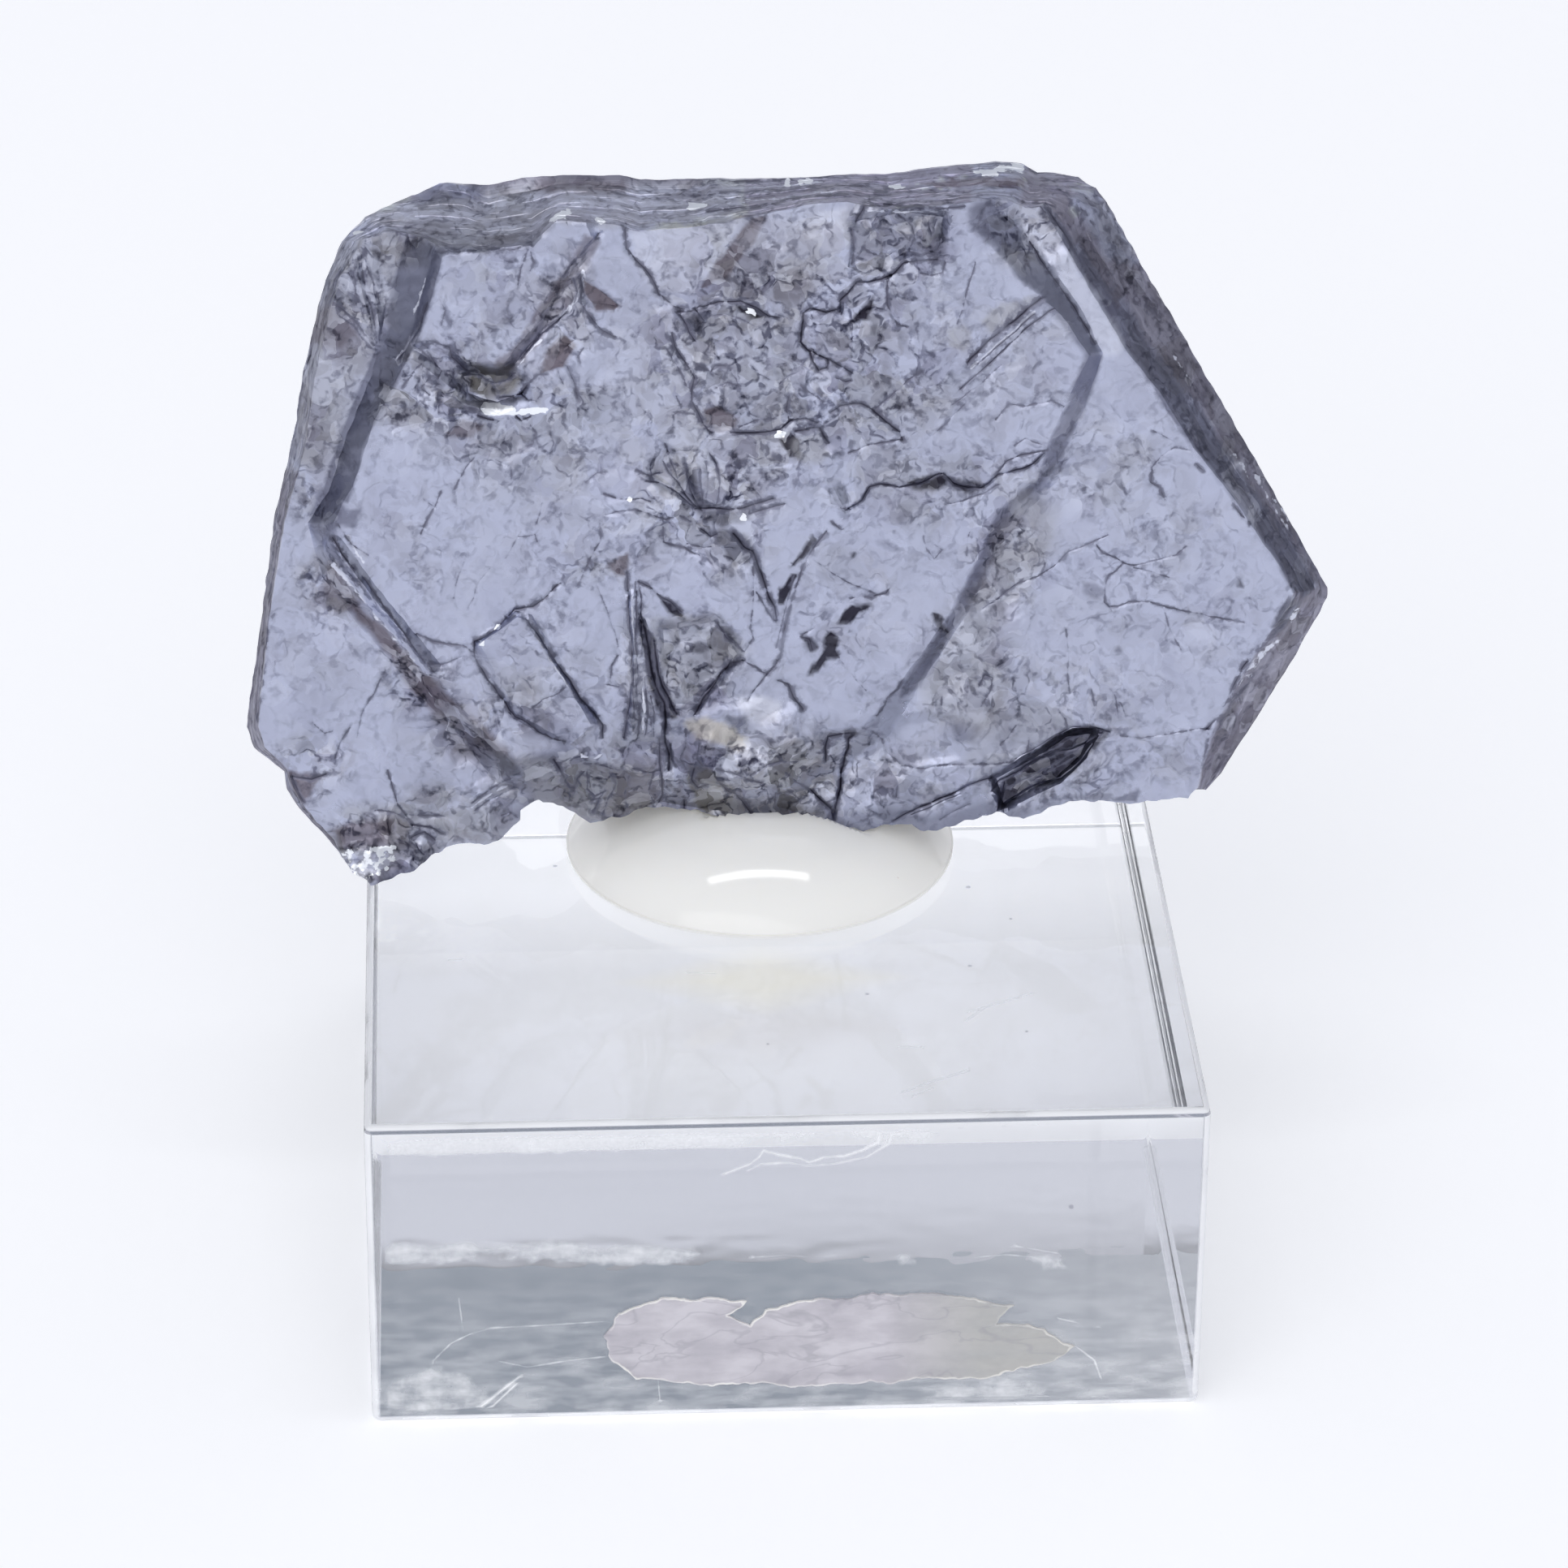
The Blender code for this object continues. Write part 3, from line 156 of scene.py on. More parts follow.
# Cracks, furrows and layer edges: half width, depth, darkness, course. The darkness is partly their own
# tone and partly painted shade in the furrows.
CRACKS = (
    # upper left corner, its fan of creases and the tablet beside it
    (0.10, 0.08, 0.60, ((-12.9, 22.8), (-13.6, 22.7), (-14.4, 22.5))),
    (0.10, 0.10, 0.65, ((-11.9, 22.0), (-10.8, 21.95), (-10.3, 22.05), (-9.8, 22.1), (-9.1, 22.0),
     (-8.8, 22.15), (-8.4, 22.2))),
    (0.09, 0.06, 0.60, ((-14.2, 18.5), (-14.5, 19.4), (-14.8, 20.3), (-14.9, 21.2), (-14.8, 22.1))),
    (0.08, 0.05, 0.55, ((-14.1, 18.6), (-14.2, 19.6), (-14.5, 20.6), (-14.6, 21.6))),
    (0.09, 0.06, 0.65, ((-14.2, 18.5), (-14.7, 19.2), (-15.3, 19.9), (-15.7, 20.2))),
    (0.07, 0.05, 0.50, ((-14.3, 18.4), (-14.9, 19.2), (-15.5, 19.7))),
    (0.08, 0.05, 0.55, ((-13.95, 19.9), (-14.2, 20.9), (-14.5, 21.8), (-14.4, 22.3))),
    (0.07, 0.04, 0.40, ((-15.2, 20.6), (-15.0, 21.3), (-14.9, 22.0))),
    (0.08, 0.05, 0.75, ((-12.2, 20.2), (-12.5, 19.3), (-12.9, 18.6), (-13.4, 17.9))),
    (0.08, 0.05, 0.65, ((-8.6, 22.0), (-8.8, 21.4), (-8.95, 20.7))),
    (0.07, 0.05, 0.55, ((-8.5, 21.9), (-8.35, 21.5), (-8.5, 21.2))),
    (0.06, 0.03, 0.35, ((-11.8, 20.2), (-11.6, 19.8), (-11.75, 19.2))),
    (0.30, 0.15, 0.00, ((-9.2, 17.6), (-8.5, 18.5), (-7.5, 19.8), (-6.9, 21.0), (-6.1, 22.5))),
    (0.08, 0.08, 0.80, ((-8.9, 17.9), (-8.2, 18.8), (-7.6, 19.3), (-7.2, 19.7))),
    (0.09, 0.08, 0.70, ((-7.3, 21.0), (-6.8, 21.7), (-6.2, 22.3), (-5.9, 22.7))),
    (0.12, 0.10, 0.85, ((-12.4, 18.5), (-12.0, 18.55), (-11.5, 18.4), (-11.4, 18.0), (-10.9, 17.5))),
    (0.10, 0.10, 0.60, ((-11.0, 17.3), (-10.6, 17.5), (-10.2, 17.15), (-9.9, 17.0), (-9.5, 17.1),
     (-9.1, 17.4))),
    (0.12, 0.10, 0.95, ((-9.7, 16.45), (-9.3, 16.5), (-8.9, 16.6), (-8.7, 16.9))),
    (0.10, 0.10, 0.90, ((-10.5, 15.8), (-10.1, 15.65), (-9.8, 15.6))),
    (0.10, 0.10, 0.95, ((-9.1, 15.75), (-8.9, 15.55), (-8.6, 15.7))),
    (0.08, 0.05, 0.75, ((-12.8, 18.5), (-12.5, 18.3), (-12.2, 18.0))),
    (0.09, 0.06, 0.75, ((-12.3, 18.3), (-12.0, 17.8), (-11.8, 17.5), (-11.9, 17.2))),
    (0.08, 0.05, 0.65, ((-12.2, 17.3), (-12.5, 16.9), (-12.2, 16.6))),
    (0.08, 0.05, 0.65, ((-12.9, 16.1), (-12.6, 16.35), (-12.3, 16.1))),
    (0.08, 0.05, 0.65, ((-11.8, 16.6), (-11.3, 16.5), (-10.9, 16.1), (-10.5, 16.0))),
    (0.08, 0.05, 0.65, ((-11.2, 17.0), (-10.9, 16.6))),
    (0.06, 0.04, 0.45, ((-14.0, 16.2), (-13.3, 16.2))),
    (0.07, 0.04, 0.55, ((-13.2, 16.9), (-12.7, 17.6), (-12.4, 17.9))),
    (0.07, 0.04, 0.50, ((-11.5, 17.9), (-11.3, 17.4), (-11.5, 17.0), (-11.2, 16.8))),
    (0.07, 0.04, 0.55, ((-9.9, 14.6), (-9.5, 14.25), (-9.0, 14.3), (-8.6, 14.6), (-8.4, 15.1),
     (-8.6, 15.4))),
    (0.07, 0.04, 0.55, ((-8.5, 15.0), (-8.3, 14.6), (-8.45, 14.1))),
    (0.05, 0.03, 0.40, ((-9.9, 14.1), (-9.3, 13.8), (-9.3, 13.3))),
    (0.07, 0.05, 0.65, ((-9.0, 16.7), (-8.7, 16.4), (-8.4, 16.3), (-8.1, 16.6), (-8.3, 16.8))),
    (0.06, 0.04, 0.55, ((-8.6, 17.0), (-8.3, 17.3), (-8.0, 17.3))),
    (0.10, 0.06, 0.60, ((-7.2, 17.6), (-6.95, 17.0), (-6.85, 16.3))),
    (0.07, 0.04, 0.45, ((-7.6, 17.5), (-7.4, 16.9))),
    (0.06, 0.03, 0.45, ((-6.6, 18.3), (-6.8, 18.0), (-6.7, 17.6))),
    # upper middle
    (0.12, 0.10, 0.80, ((-5.1, 22.9), (-5.0, 22.0), (-4.6, 21.5), (-4.1, 20.9), (-3.9, 20.3), (-3.3, 19.8),
     (-3.0, 19.7))),
    (0.12, 0.10, 0.75, ((-6.7, 21.0), (-6.6, 20.6), (-6.7, 20.0), (-6.4, 19.5), (-6.0, 19.0),
     (-5.5, 18.7))),
    (0.07, 0.05, 0.65, ((-6.95, 20.9), (-6.8, 20.4), (-6.95, 20.0))),
    (0.10, 0.08, 0.90, ((-3.2, 19.6), (-2.7, 19.6), (-2.4, 19.8))),
    (0.09, 0.08, 0.90, ((-2.6, 19.7), (-2.3, 19.3))),
    (0.10, 0.08, 0.85, ((-3.1, 19.5), (-2.9, 19.1), (-2.8, 18.8), (-2.6, 18.5))),
    (0.11, 0.12, 0.90, ((-2.3, 19.8), (-1.7, 19.95), (-0.9, 19.95), (-0.3, 19.7), (0.1, 19.4),
     (0.5, 19.3))),
    (0.06, 0.04, 0.55, ((-2.3, 20.4), (-2.0, 20.1), (-1.7, 20.2))),
    (0.06, 0.04, 0.50, ((-2.1, 19.4), (-1.5, 19.5), (-1.0, 19.3), (-0.4, 19.0))),
    (0.13, 0.12, 0.80, ((-3.4, 18.8), (-3.3, 18.3), (-2.9, 17.6), (-2.6, 17.1), (-2.7, 16.7), (-2.7, 16.2),
     (-2.5, 15.8), (-2.3, 15.3), (-2.0, 15.0))),
    (0.07, 0.04, 0.50, ((-3.6, 18.2), (-3.1, 17.3), (-2.9, 16.8))),
    (0.07, 0.05, 0.65, ((-3.4, 15.8), (-3.0, 15.75), (-2.6, 15.7))),
    (0.07, 0.05, 0.55, ((-3.3, 16.4), (-3.1, 16.0))),
    (0.10, 0.07, 0.70, ((-2.5, 17.6), (-2.2, 17.4), (-2.0, 17.3), (-1.9, 17.5), (-1.4, 17.5))),
    (0.10, 0.07, 0.70, ((-1.3, 17.3), (-1.1, 17.0), (-1.0, 16.7))),
    (0.06, 0.04, 0.50, ((-1.8, 16.7), (-1.4, 16.9), (-1.1, 16.8))),
    (0.06, 0.04, 0.55, ((-0.8, 16.1), (-0.6, 15.7), (-0.2, 15.5))),
    (0.06, 0.04, 0.45, ((-0.6, 17.6), (-0.3, 17.2), (0.1, 17.0), (0.5, 16.8))),
    (0.06, 0.04, 0.45, ((0.5, 16.8), (0.8, 17.1), (1.1, 17.2))),
    (0.11, 0.12, 0.95, ((-1.3, 15.0), (-0.6, 14.95), (0.0, 14.98), (0.5, 15.1), (0.9, 15.4), (1.5, 15.45),
     (1.9, 15.3))),
    (0.08, 0.06, 0.75, ((-1.0, 15.2), (-0.3, 15.45), (0.3, 15.5))),
    (0.09, 0.08, 0.80, ((0.8, 16.3), (0.75, 15.8), (0.85, 15.4))),
    (0.15, 0.15, 0.95, ((1.1, 15.0), (1.6, 15.1), (2.0, 15.1), (2.1, 14.8), (2.3, 14.55))),
    (0.12, 0.15, 0.95, ((2.7, 19.6), (2.2, 19.5), (1.6, 19.65), (1.35, 19.5), (1.3, 18.9), (1.25, 18.4),
     (1.5, 18.1), (1.9, 17.9), (2.3, 17.7), (2.8, 17.4), (3.1, 17.2))),
    (0.10, 0.10, 0.95, ((1.6, 18.0), (1.7, 17.6), (1.9, 17.3), (2.2, 17.4), (2.3, 17.7))),
    (0.09, 0.08, 0.90, ((2.6, 17.0), (2.9, 16.85), (3.1, 16.9))),
    (0.08, 0.05, 0.60, ((1.1, 16.9), (1.4, 16.6), (1.8, 16.3), (2.1, 16.1))),
    (0.13, 0.15, 0.95, ((2.7, 19.5), (2.7, 19.9), (3.0, 20.2), (3.3, 20.6), (3.7, 20.6), (4.2, 20.7),
     (4.6, 20.9), (5.0, 21.3), (5.5, 21.4), (6.2, 21.4))),
    (0.09, 0.07, 0.75, ((4.5, 20.9), (4.4, 20.3), (4.4, 19.8), (4.6, 19.3), (4.8, 19.0), (5.1, 18.9))),
    (0.14, 0.15, 0.95, ((2.4, 15.7), (2.7, 15.9), (3.1, 16.0), (3.5, 16.0), (3.9, 15.8), (4.4, 15.3),
     (4.9, 14.9), (5.0, 14.6))),
    (0.08, 0.06, 0.70, ((4.0, 15.8), (4.6, 16.3), (5.2, 16.9), (5.7, 17.2))),
    (0.08, 0.06, 0.80, ((3.0, 14.15), (3.7, 14.4), (4.9, 14.6))),
    (0.09, 0.08, 0.75, ((3.1, 22.6), (3.2, 21.9), (3.1, 21.3))),
    (0.13, 0.12, 0.85, ((3.25, 22.9), (3.6, 23.5), (3.9, 23.9), (4.4, 24.1))),
    (0.09, 0.08, 0.90, ((3.6, 23.45), (4.6, 23.5), (5.3, 23.3), (6.2, 23.35))),
    (0.08, 0.06, 0.70, ((4.8, 23.1), (5.3, 22.7), (5.4, 22.2), (5.2, 21.8))),
    (0.08, 0.05, 0.65, ((3.9, 22.9), (4.1, 22.6), (4.5, 22.6), (4.7, 22.2))),
    (0.08, 0.05, 0.65, ((3.5, 21.9), (3.8, 21.7), (4.3, 21.5), (4.6, 21.7))),
    (0.07, 0.05, 0.60, ((5.9, 22.8), (6.0, 22.3), (6.2, 22.9))),
    (0.08, 0.06, 0.75, ((5.2, 21.7), (5.7, 21.6), (6.2, 21.8), (6.4, 22.1))),
    (0.08, 0.06, 0.75, ((5.6, 20.9), (6.0, 20.8), (6.4, 20.9), (6.5, 21.3))),
    (0.06, 0.04, 0.55, ((7.6, 21.3), (7.3, 20.2), (7.0, 19.0))),
    # striations and wiggles right of the middle
    (0.17, 0.15, 0.95, ((7.35, 17.5), (8.2, 18.4), (9.2, 19.2), (10.0, 19.9))),
    (0.08, 0.08, 0.95, ((7.1, 16.5), (8.3, 17.6), (9.4, 18.7), (10.5, 19.5))),
    (0.05, 0.05, 0.80, ((7.75, 17.45), (8.7, 18.35), (9.8, 19.3))),
    (0.05, 0.03, 0.45, ((6.8, 15.9), (7.6, 16.5), (8.6, 17.4))),
    (0.05, 0.03, 0.35, ((5.7, 14.4), (6.6, 15.2), (7.3, 16.0))),
    (0.07, 0.05, 0.65, ((8.4, 15.3), (8.9, 15.9), (9.4, 15.8), (10.0, 15.9), (10.4, 16.0), (10.9, 15.8))),
    (0.06, 0.04, 0.50, ((9.1, 14.3), (9.5, 14.6), (10.2, 14.3))),
    (0.10, 0.14, 0.85, ((3.0, 12.0), (3.5, 12.3), (3.8, 12.8), (4.2, 12.9), (4.9, 12.8), (5.6, 12.9),
     (6.2, 13.2), (6.5, 13.3), (6.9, 12.9), (7.4, 12.75), (7.9, 12.75), (8.2, 12.9), (8.5, 13.2),
     (8.9, 13.3), (9.4, 13.4), (9.8, 13.6), (10.2, 14.0))),
    (0.07, 0.06, 0.85, ((8.5, 13.3), (8.8, 13.7), (9.3, 13.9), (9.8, 14.0), (10.3, 14.1))),
    (0.06, 0.05, 0.65, ((6.7, 12.1), (7.3, 12.25), (8.0, 12.5), (8.5, 12.8))),
    (0.06, 0.04, 0.45, ((2.3, 12.7), (2.4, 12.2), (2.8, 12.0), (3.1, 12.0))),
    (0.07, 0.05, 0.50, ((2.4, 11.5), (2.8, 11.2), (3.1, 11.4))),
    (0.05, 0.03, 0.40, ((5.8, 10.9), (5.9, 10.4), (6.2, 10.0), (6.5, 10.3), (6.2, 10.5))),
    (0.05, 0.03, 0.45, ((7.5, 11.0), (7.4, 10.5), (7.4, 10.1))),
    # the starburst and what runs out of it
    (0.07, 0.06, 0.85, ((-4.4, 13.2), (-3.8, 13.1), (-3.2, 12.7), (-2.8, 12.3), (-2.4, 12.1))),
    (0.07, 0.06, 0.85, ((-3.8, 14.0), (-3.6, 13.5), (-3.2, 13.1), (-2.9, 12.6), (-2.6, 12.2))),
    (0.06, 0.05, 0.75, ((-3.7, 14.6), (-3.5, 14.0), (-3.3, 13.5))),
    (0.07, 0.06, 0.80, ((-3.0, 14.0), (-2.9, 13.3), (-2.7, 12.7), (-2.5, 12.2))),
    (0.06, 0.05, 0.75, ((-2.4, 13.6), (-2.4, 12.9), (-2.3, 12.3))),
    (0.07, 0.05, 0.65, ((-4.8, 13.6), (-4.3, 13.4), (-3.9, 13.5))),
    (0.13, 0.14, 0.95, ((-2.6, 12.1), (-2.0, 12.1), (-1.4, 12.05), (-0.8, 12.1), (-0.3, 12.25),
     (0.3, 12.4))),
    (0.12, 0.10, 0.80, ((-0.6, 11.85), (-0.1, 12.0), (0.7, 12.2))),
    (0.06, 0.04, 0.60, ((-1.8, 12.3), (-1.7, 13.0), (-1.8, 13.8), (-2.1, 14.3))),
    (0.06, 0.04, 0.50, ((-2.2, 12.5), (-2.1, 13.2), (-2.2, 13.9))),
    (0.07, 0.05, 0.75, ((-5.9, 12.7), (-5.4, 12.5), (-5.0, 12.5), (-4.5, 12.5), (-4.2, 12.4))),
    (0.08, 0.06, 0.65, ((-6.6, 13.2), (-6.2, 13.5), (-5.9, 13.5))),
    (0.08, 0.06, 0.75, ((-3.6, 11.7), (-3.2, 11.85), (-2.8, 11.6))),
    (0.06, 0.05, 0.60, ((-5.9, 11.9), (-5.5, 12.0), (-4.8, 12.1), (-4.2, 11.9), (-3.7, 11.7))),
    (0.07, 0.05, 0.70, ((-3.8, 11.4), (-3.8, 10.8), (-3.4, 10.7), (-3.0, 10.6), (-2.7, 10.4),
     (-2.5, 10.3))),
    (0.06, 0.05, 0.65, ((-2.9, 10.75), (-2.3, 10.6), (-2.0, 10.6))),
    (0.10, 0.08, 0.85, ((-2.4, 11.3), (-2.0, 11.0), (-1.8, 11.1))),
    (0.14, 0.18, 0.90, ((-1.2, 11.1), (-0.8, 10.6), (-0.5, 10.4), (-0.3, 9.8), (-0.1, 9.2), (0.1, 8.6),
     (0.3, 8.2), (0.4, 7.7))),
    (0.08, 0.07, 0.65, ((-0.5, 9.8), (-0.5, 9.0), (-0.5, 8.2), (-0.6, 7.4), (-0.5, 7.0), (-0.8, 6.5))),
    (0.07, 0.06, 0.70, ((-0.4, 8.8), (-0.2, 8.5), (0.1, 8.0), (0.3, 7.7))),
    (0.10, 0.08, 0.75, ((2.2, 11.1), (1.9, 10.7), (1.6, 10.2), (1.3, 9.6), (1.0, 8.7), (0.8, 7.8),
     (0.6, 7.0), (0.5, 6.2), (0.2, 5.8), (0.0, 5.6))),
    (0.05, 0.04, 0.55, ((1.0, 9.4), (0.75, 8.4), (0.55, 7.4), (0.35, 6.6))),
    (0.05, 0.03, 0.50, ((1.8, 10.0), (2.6, 9.4), (3.3, 9.0), (4.0, 8.7))),
    (0.09, 0.07, 0.80, ((4.0, 8.6), (4.4, 8.7), (4.65, 9.05))),
    (0.08, 0.05, 0.65, ((3.1, 8.5), (3.5, 8.6), (3.9, 8.5))),
    (0.08, 0.06, 0.85, ((1.3, 7.1), (1.7, 7.35))),
    (0.08, 0.06, 0.85, ((1.3, 7.05), (1.6, 6.9), (1.7, 6.5))),
    (0.12, 0.10, 0.80, ((0.4, 5.35), (0.8, 5.2), (1.0, 4.7), (1.35, 4.2))),
    (0.04, 0.02, 0.35, ((2.7, 6.1), (3.2, 5.5), (3.7, 4.9))),
    # left of the middle
    (0.08, 0.06, 0.65, ((-6.1, 11.6), (-6.1, 10.9), (-6.5, 10.2), (-6.9, 9.2))),
    (0.11, 0.10, 0.90, ((-7.6, 9.3), (-7.9, 9.0), (-8.2, 8.7), (-8.6, 8.4), (-8.9, 8.4), (-9.3, 8.3),
     (-9.8, 7.8), (-10.3, 7.3), (-10.8, 7.1), (-10.8, 6.5), (-10.6, 6.1), (-10.3, 5.6), (-9.9, 5.0),
     (-9.6, 4.5), (-9.3, 4.1), (-8.9, 3.9), (-8.5, 3.5), (-8.0, 3.2), (-7.5, 3.1))),
    (0.13, 0.14, 0.90, ((-8.9, 8.0), (-8.3, 7.1), (-7.9, 6.4), (-7.3, 5.5), (-6.9, 4.8), (-6.4, 4.2),
     (-6.1, 3.7), (-6.1, 3.2))),
    (0.06, 0.04, 0.55, ((-9.7, 8.1), (-9.5, 7.9), (-9.2, 8.1))),
    (0.05, 0.03, 0.50, ((-9.2, 5.7), (-8.9, 5.5), (-8.7, 5.2))),
    (0.06, 0.04, 0.65, ((-8.7, 4.4), (-8.3, 4.8), (-7.9, 4.9), (-7.5, 5.2))),
    (0.06, 0.04, 0.50, ((-9.6, 5.1), (-9.1, 5.1))),
    (0.07, 0.05, 0.65, ((-12.9, 7.4), (-12.3, 7.1), (-11.8, 7.0), (-11.2, 6.95), (-10.9, 6.7))),
    (0.06, 0.04, 0.60, ((-12.4, 6.1), (-11.9, 6.2), (-11.2, 6.5))),
    (0.07, 0.05, 0.65, ((-12.65, 11.3), (-12.4, 11.9), (-12.1, 12.4), (-11.9, 12.9))),
    (0.05, 0.03, 0.40, ((-12.5, 12.6), (-12.1, 12.3))),
    (0.05, 0.03, 0.45, ((-9.0, 11.3), (-9.3, 10.8), (-9.6, 10.3))),
    (0.05, 0.03, 0.45, ((-9.1, 11.1), (-8.5, 11.2), (-8.4, 10.9))),
    (0.05, 0.03, 0.45, ((-8.5, 11.5), (-8.3, 12.0), (-8.2, 12.4))),
    (0.05, 0.03, 0.35, ((-10.2, 9.9), (-10.6, 9.4), (-10.8, 8.8), (-11.0, 8.4))),
    (0.05, 0.03, 0.35, ((-11.1, 10.2), (-11.4, 9.3), (-11.5, 8.8))),
    (0.06, 0.04, 0.50, ((-11.4, 13.0), (-11.0, 13.8), (-10.7, 14.2))),
    (0.08, 0.06, 0.75, ((-14.9, 9.8), (-14.3, 8.9), (-13.8, 8.1), (-13.1, 7.0), (-12.6, 6.3))),
    (0.12, 0.08, 0.90, ((-15.9, 11.2), (-15.6, 10.6), (-15.15, 10.0))),
    (0.08, 0.05, 0.75, ((-15.7, 11.7), (-15.2, 10.9), (-14.6, 10.5))),
    (0.12, 0.10, 0.90, ((-12.5, 6.25), (-12.3, 5.9))),
    (0.07, 0.05, 0.55, ((-17.9, 12.2), (-18.1, 10.4), (-18.3, 8.9))),
    (0.06, 0.04, 0.50, ((-18.1, 8.3), (-18.35, 7.8), (-18.45, 6.5), (-18.7, 5.2), (-18.85, 4.0))),
    (0.09, 0.06, 0.75, ((-17.3, 13.8), (-17.35, 13.2), (-17.2, 13.0))),
    (0.06, 0.04, 0.50, ((-14.1, 6.0), (-14.5, 5.2), (-15.0, 4.3), (-15.2, 3.4))),
    (0.07, 0.05, 0.55, ((-15.4, 3.9), (-15.8, 3.2), (-16.0, 2.6))),
    (0.06, 0.04, 0.45, ((-16.8, 4.0), (-16.4, 3.6), (-16.1, 3.7))),
    (0.12, 0.10, 0.85, ((-16.4, 2.0), (-16.9, 1.8), (-17.6, 1.9))),
    (0.08, 0.06, 0.75, ((-17.6, 1.9), (-17.4, 1.3), (-17.2, 0.9))),
    (0.07, 0.06, 0.75, ((-14.1, 2.1), (-13.9, 1.4), (-13.75, 0.7), (-13.4, 0.2), (-13.2, -0.1))),
    (0.08, 0.06, 0.75, ((-14.6, 0.5), (-13.9, 0.4), (-13.4, 0.1))),
    (0.08, 0.06, 0.80, ((-13.4, 0.3), (-12.7, 0.25), (-12.0, 0.2))),
    (0.09, 0.07, 0.85, ((-13.2, -0.1), (-12.6, -0.2), (-12.0, -0.5))),
    (0.10, 0.08, 0.85, ((-13.3, -0.6), (-12.8, -0.4), (-12.4, -0.7))),
    (0.08, 0.06, 0.75, ((-13.2, -0.7), (-13.0, -1.1), (-12.8, -1.3))),
    (0.08, 0.06, 0.65, ((-11.0, 0.7), (-10.5, 1.1), (-9.9, 1.5), (-9.4, 1.7))),
    (0.06, 0.05, 0.65, ((-10.9, 0.4), (-10.2, 0.9), (-9.4, 1.3))),
    (0.07, 0.05, 0.65, ((-9.9, 0.2), (-9.6, 0.3), (-9.3, 0.1))),
    # the broken lower middle
    (0.15, 0.12, 0.95, ((-7.95, 2.4), (-7.7, 2.0), (-7.5, 1.5), (-7.2, 1.1))),
    (0.12, 0.10, 0.85, ((-7.2, 1.1), (-7.1, 1.6), (-6.8, 1.9))),
    (0.10, 0.08, 0.80, ((-6.8, 2.2), (-6.3, 2.2), (-5.8, 2.0), (-5.3, 1.9))),
    (0.07, 0.06, 0.70, ((-6.7, 1.9), (-6.7, 1.2), (-6.4, 0.9), (-6.0, 1.1))),
    (0.07, 0.06, 0.70, ((-5.9, 1.9), (-5.6, 1.4), (-5.9, 0.8), (-6.1, 0.2))),
    (0.06, 0.05, 0.60, ((-6.3, 0.7), (-6.5, 0.3))),
    (0.07, 0.06, 0.70, ((-4.2, 1.8), (-4.4, 1.1), (-4.2, 0.6))),
    (0.06, 0.05, 0.50, ((-5.1, 1.7), (-5.3, 1.0), (-5.2, 0.4))),
    (0.09, 0.08, 0.75, ((-5.0, 2.0), (-4.4, 1.8), (-4.0, 1.85))),
    (0.10, 0.10, 0.80, ((-5.15, 9.7), (-5.1, 8.5), (-5.0, 7.0), (-5.0, 5.5), (-5.15, 4.2), (-5.3, 3.2))),
    (0.07, 0.06, 0.70, ((-4.85, 9.3), (-4.75, 8.0), (-4.85, 7.0), (-4.75, 6.0), (-4.8, 5.0), (-4.7, 4.0),
     (-4.8, 3.1))),
    (0.07, 0.06, 0.65, ((-4.65, 9.0), (-4.6, 8.2), (-4.6, 7.3))),
    (0.17, 0.25, 0.92, ((-4.6, 7.8), (-4.4, 7.0), (-4.3, 6.0), (-4.1, 5.2), (-3.8, 4.5), (-3.75, 3.8),
     (-3.8, 3.0), (-3.6, 2.5), (-3.65, 1.9))),
    (0.12, 0.15, 1.00, ((-4.15, 7.0), (-4.05, 6.0), (-3.85, 5.2), (-3.5, 4.4), (-3.35, 4.1))),
    (0.05, 0.05, 0.70, ((-4.95, 6.0), (-4.95, 5.0), (-4.9, 4.0))),
    (0.05, 0.05, 0.65, ((-4.5, 5.6), (-4.45, 4.8), (-4.4, 4.0), (-4.5, 3.2))),
    (0.05, 0.05, 0.60, ((-4.3, 4.8), (-4.15, 4.0), (-4.2, 3.2))),
    (0.09, 0.08, 0.85, ((-4.0, 3.1), (-4.0, 2.2), (-3.9, 1.6), (-3.9, 0.9), (-4.1, 0.5))),
    (0.08, 0.08, 0.85, ((-3.6, 2.9), (-3.55, 2.3), (-3.4, 2.0))),
    (0.07, 0.06, 0.60, ((-5.8, 5.5), (-5.7, 6.1), (-5.5, 6.4))),
    (0.06, 0.05, 0.60, ((-5.9, 5.3), (-5.5, 5.2))),
    (0.06, 0.04, 0.40, ((-6.3, 9.3), (-5.9, 8.2), (-5.6, 7.3), (-5.5, 6.8))),
    (0.10, 0.08, 0.80, ((-4.7, 9.3), (-4.3, 9.1), (-3.9, 8.7), (-3.5, 8.5), (-3.15, 8.1))),
    (0.14, 0.12, 0.95, ((-0.8, 6.15), (-1.3, 6.1), (-1.6, 5.8), (-2.0, 5.2), (-2.4, 4.6), (-2.7, 4.05))),
    (0.08, 0.06, 0.80, ((-1.9, 7.7), (-1.5, 7.1), (-0.9, 6.5))),
    (0.06, 0.05, 0.65, ((-0.9, 6.15), (-0.4, 5.9), (0.0, 5.6), (-0.3, 5.2), (-0.7, 4.6))),
    (0.08, 0.06, 0.65, ((-3.0, 3.5), (-3.0, 2.8), (-3.2, 2.3), (-3.0, 1.9))),
    (0.06, 0.05, 0.55, ((-2.5, 2.9), (-2.6, 2.3), (-2.3, 1.9))),
    (0.12, 0.12, 0.95, ((-2.7, 1.9), (-2.8, 1.5), (-2.6, 1.2), (-2.2, 1.3))),
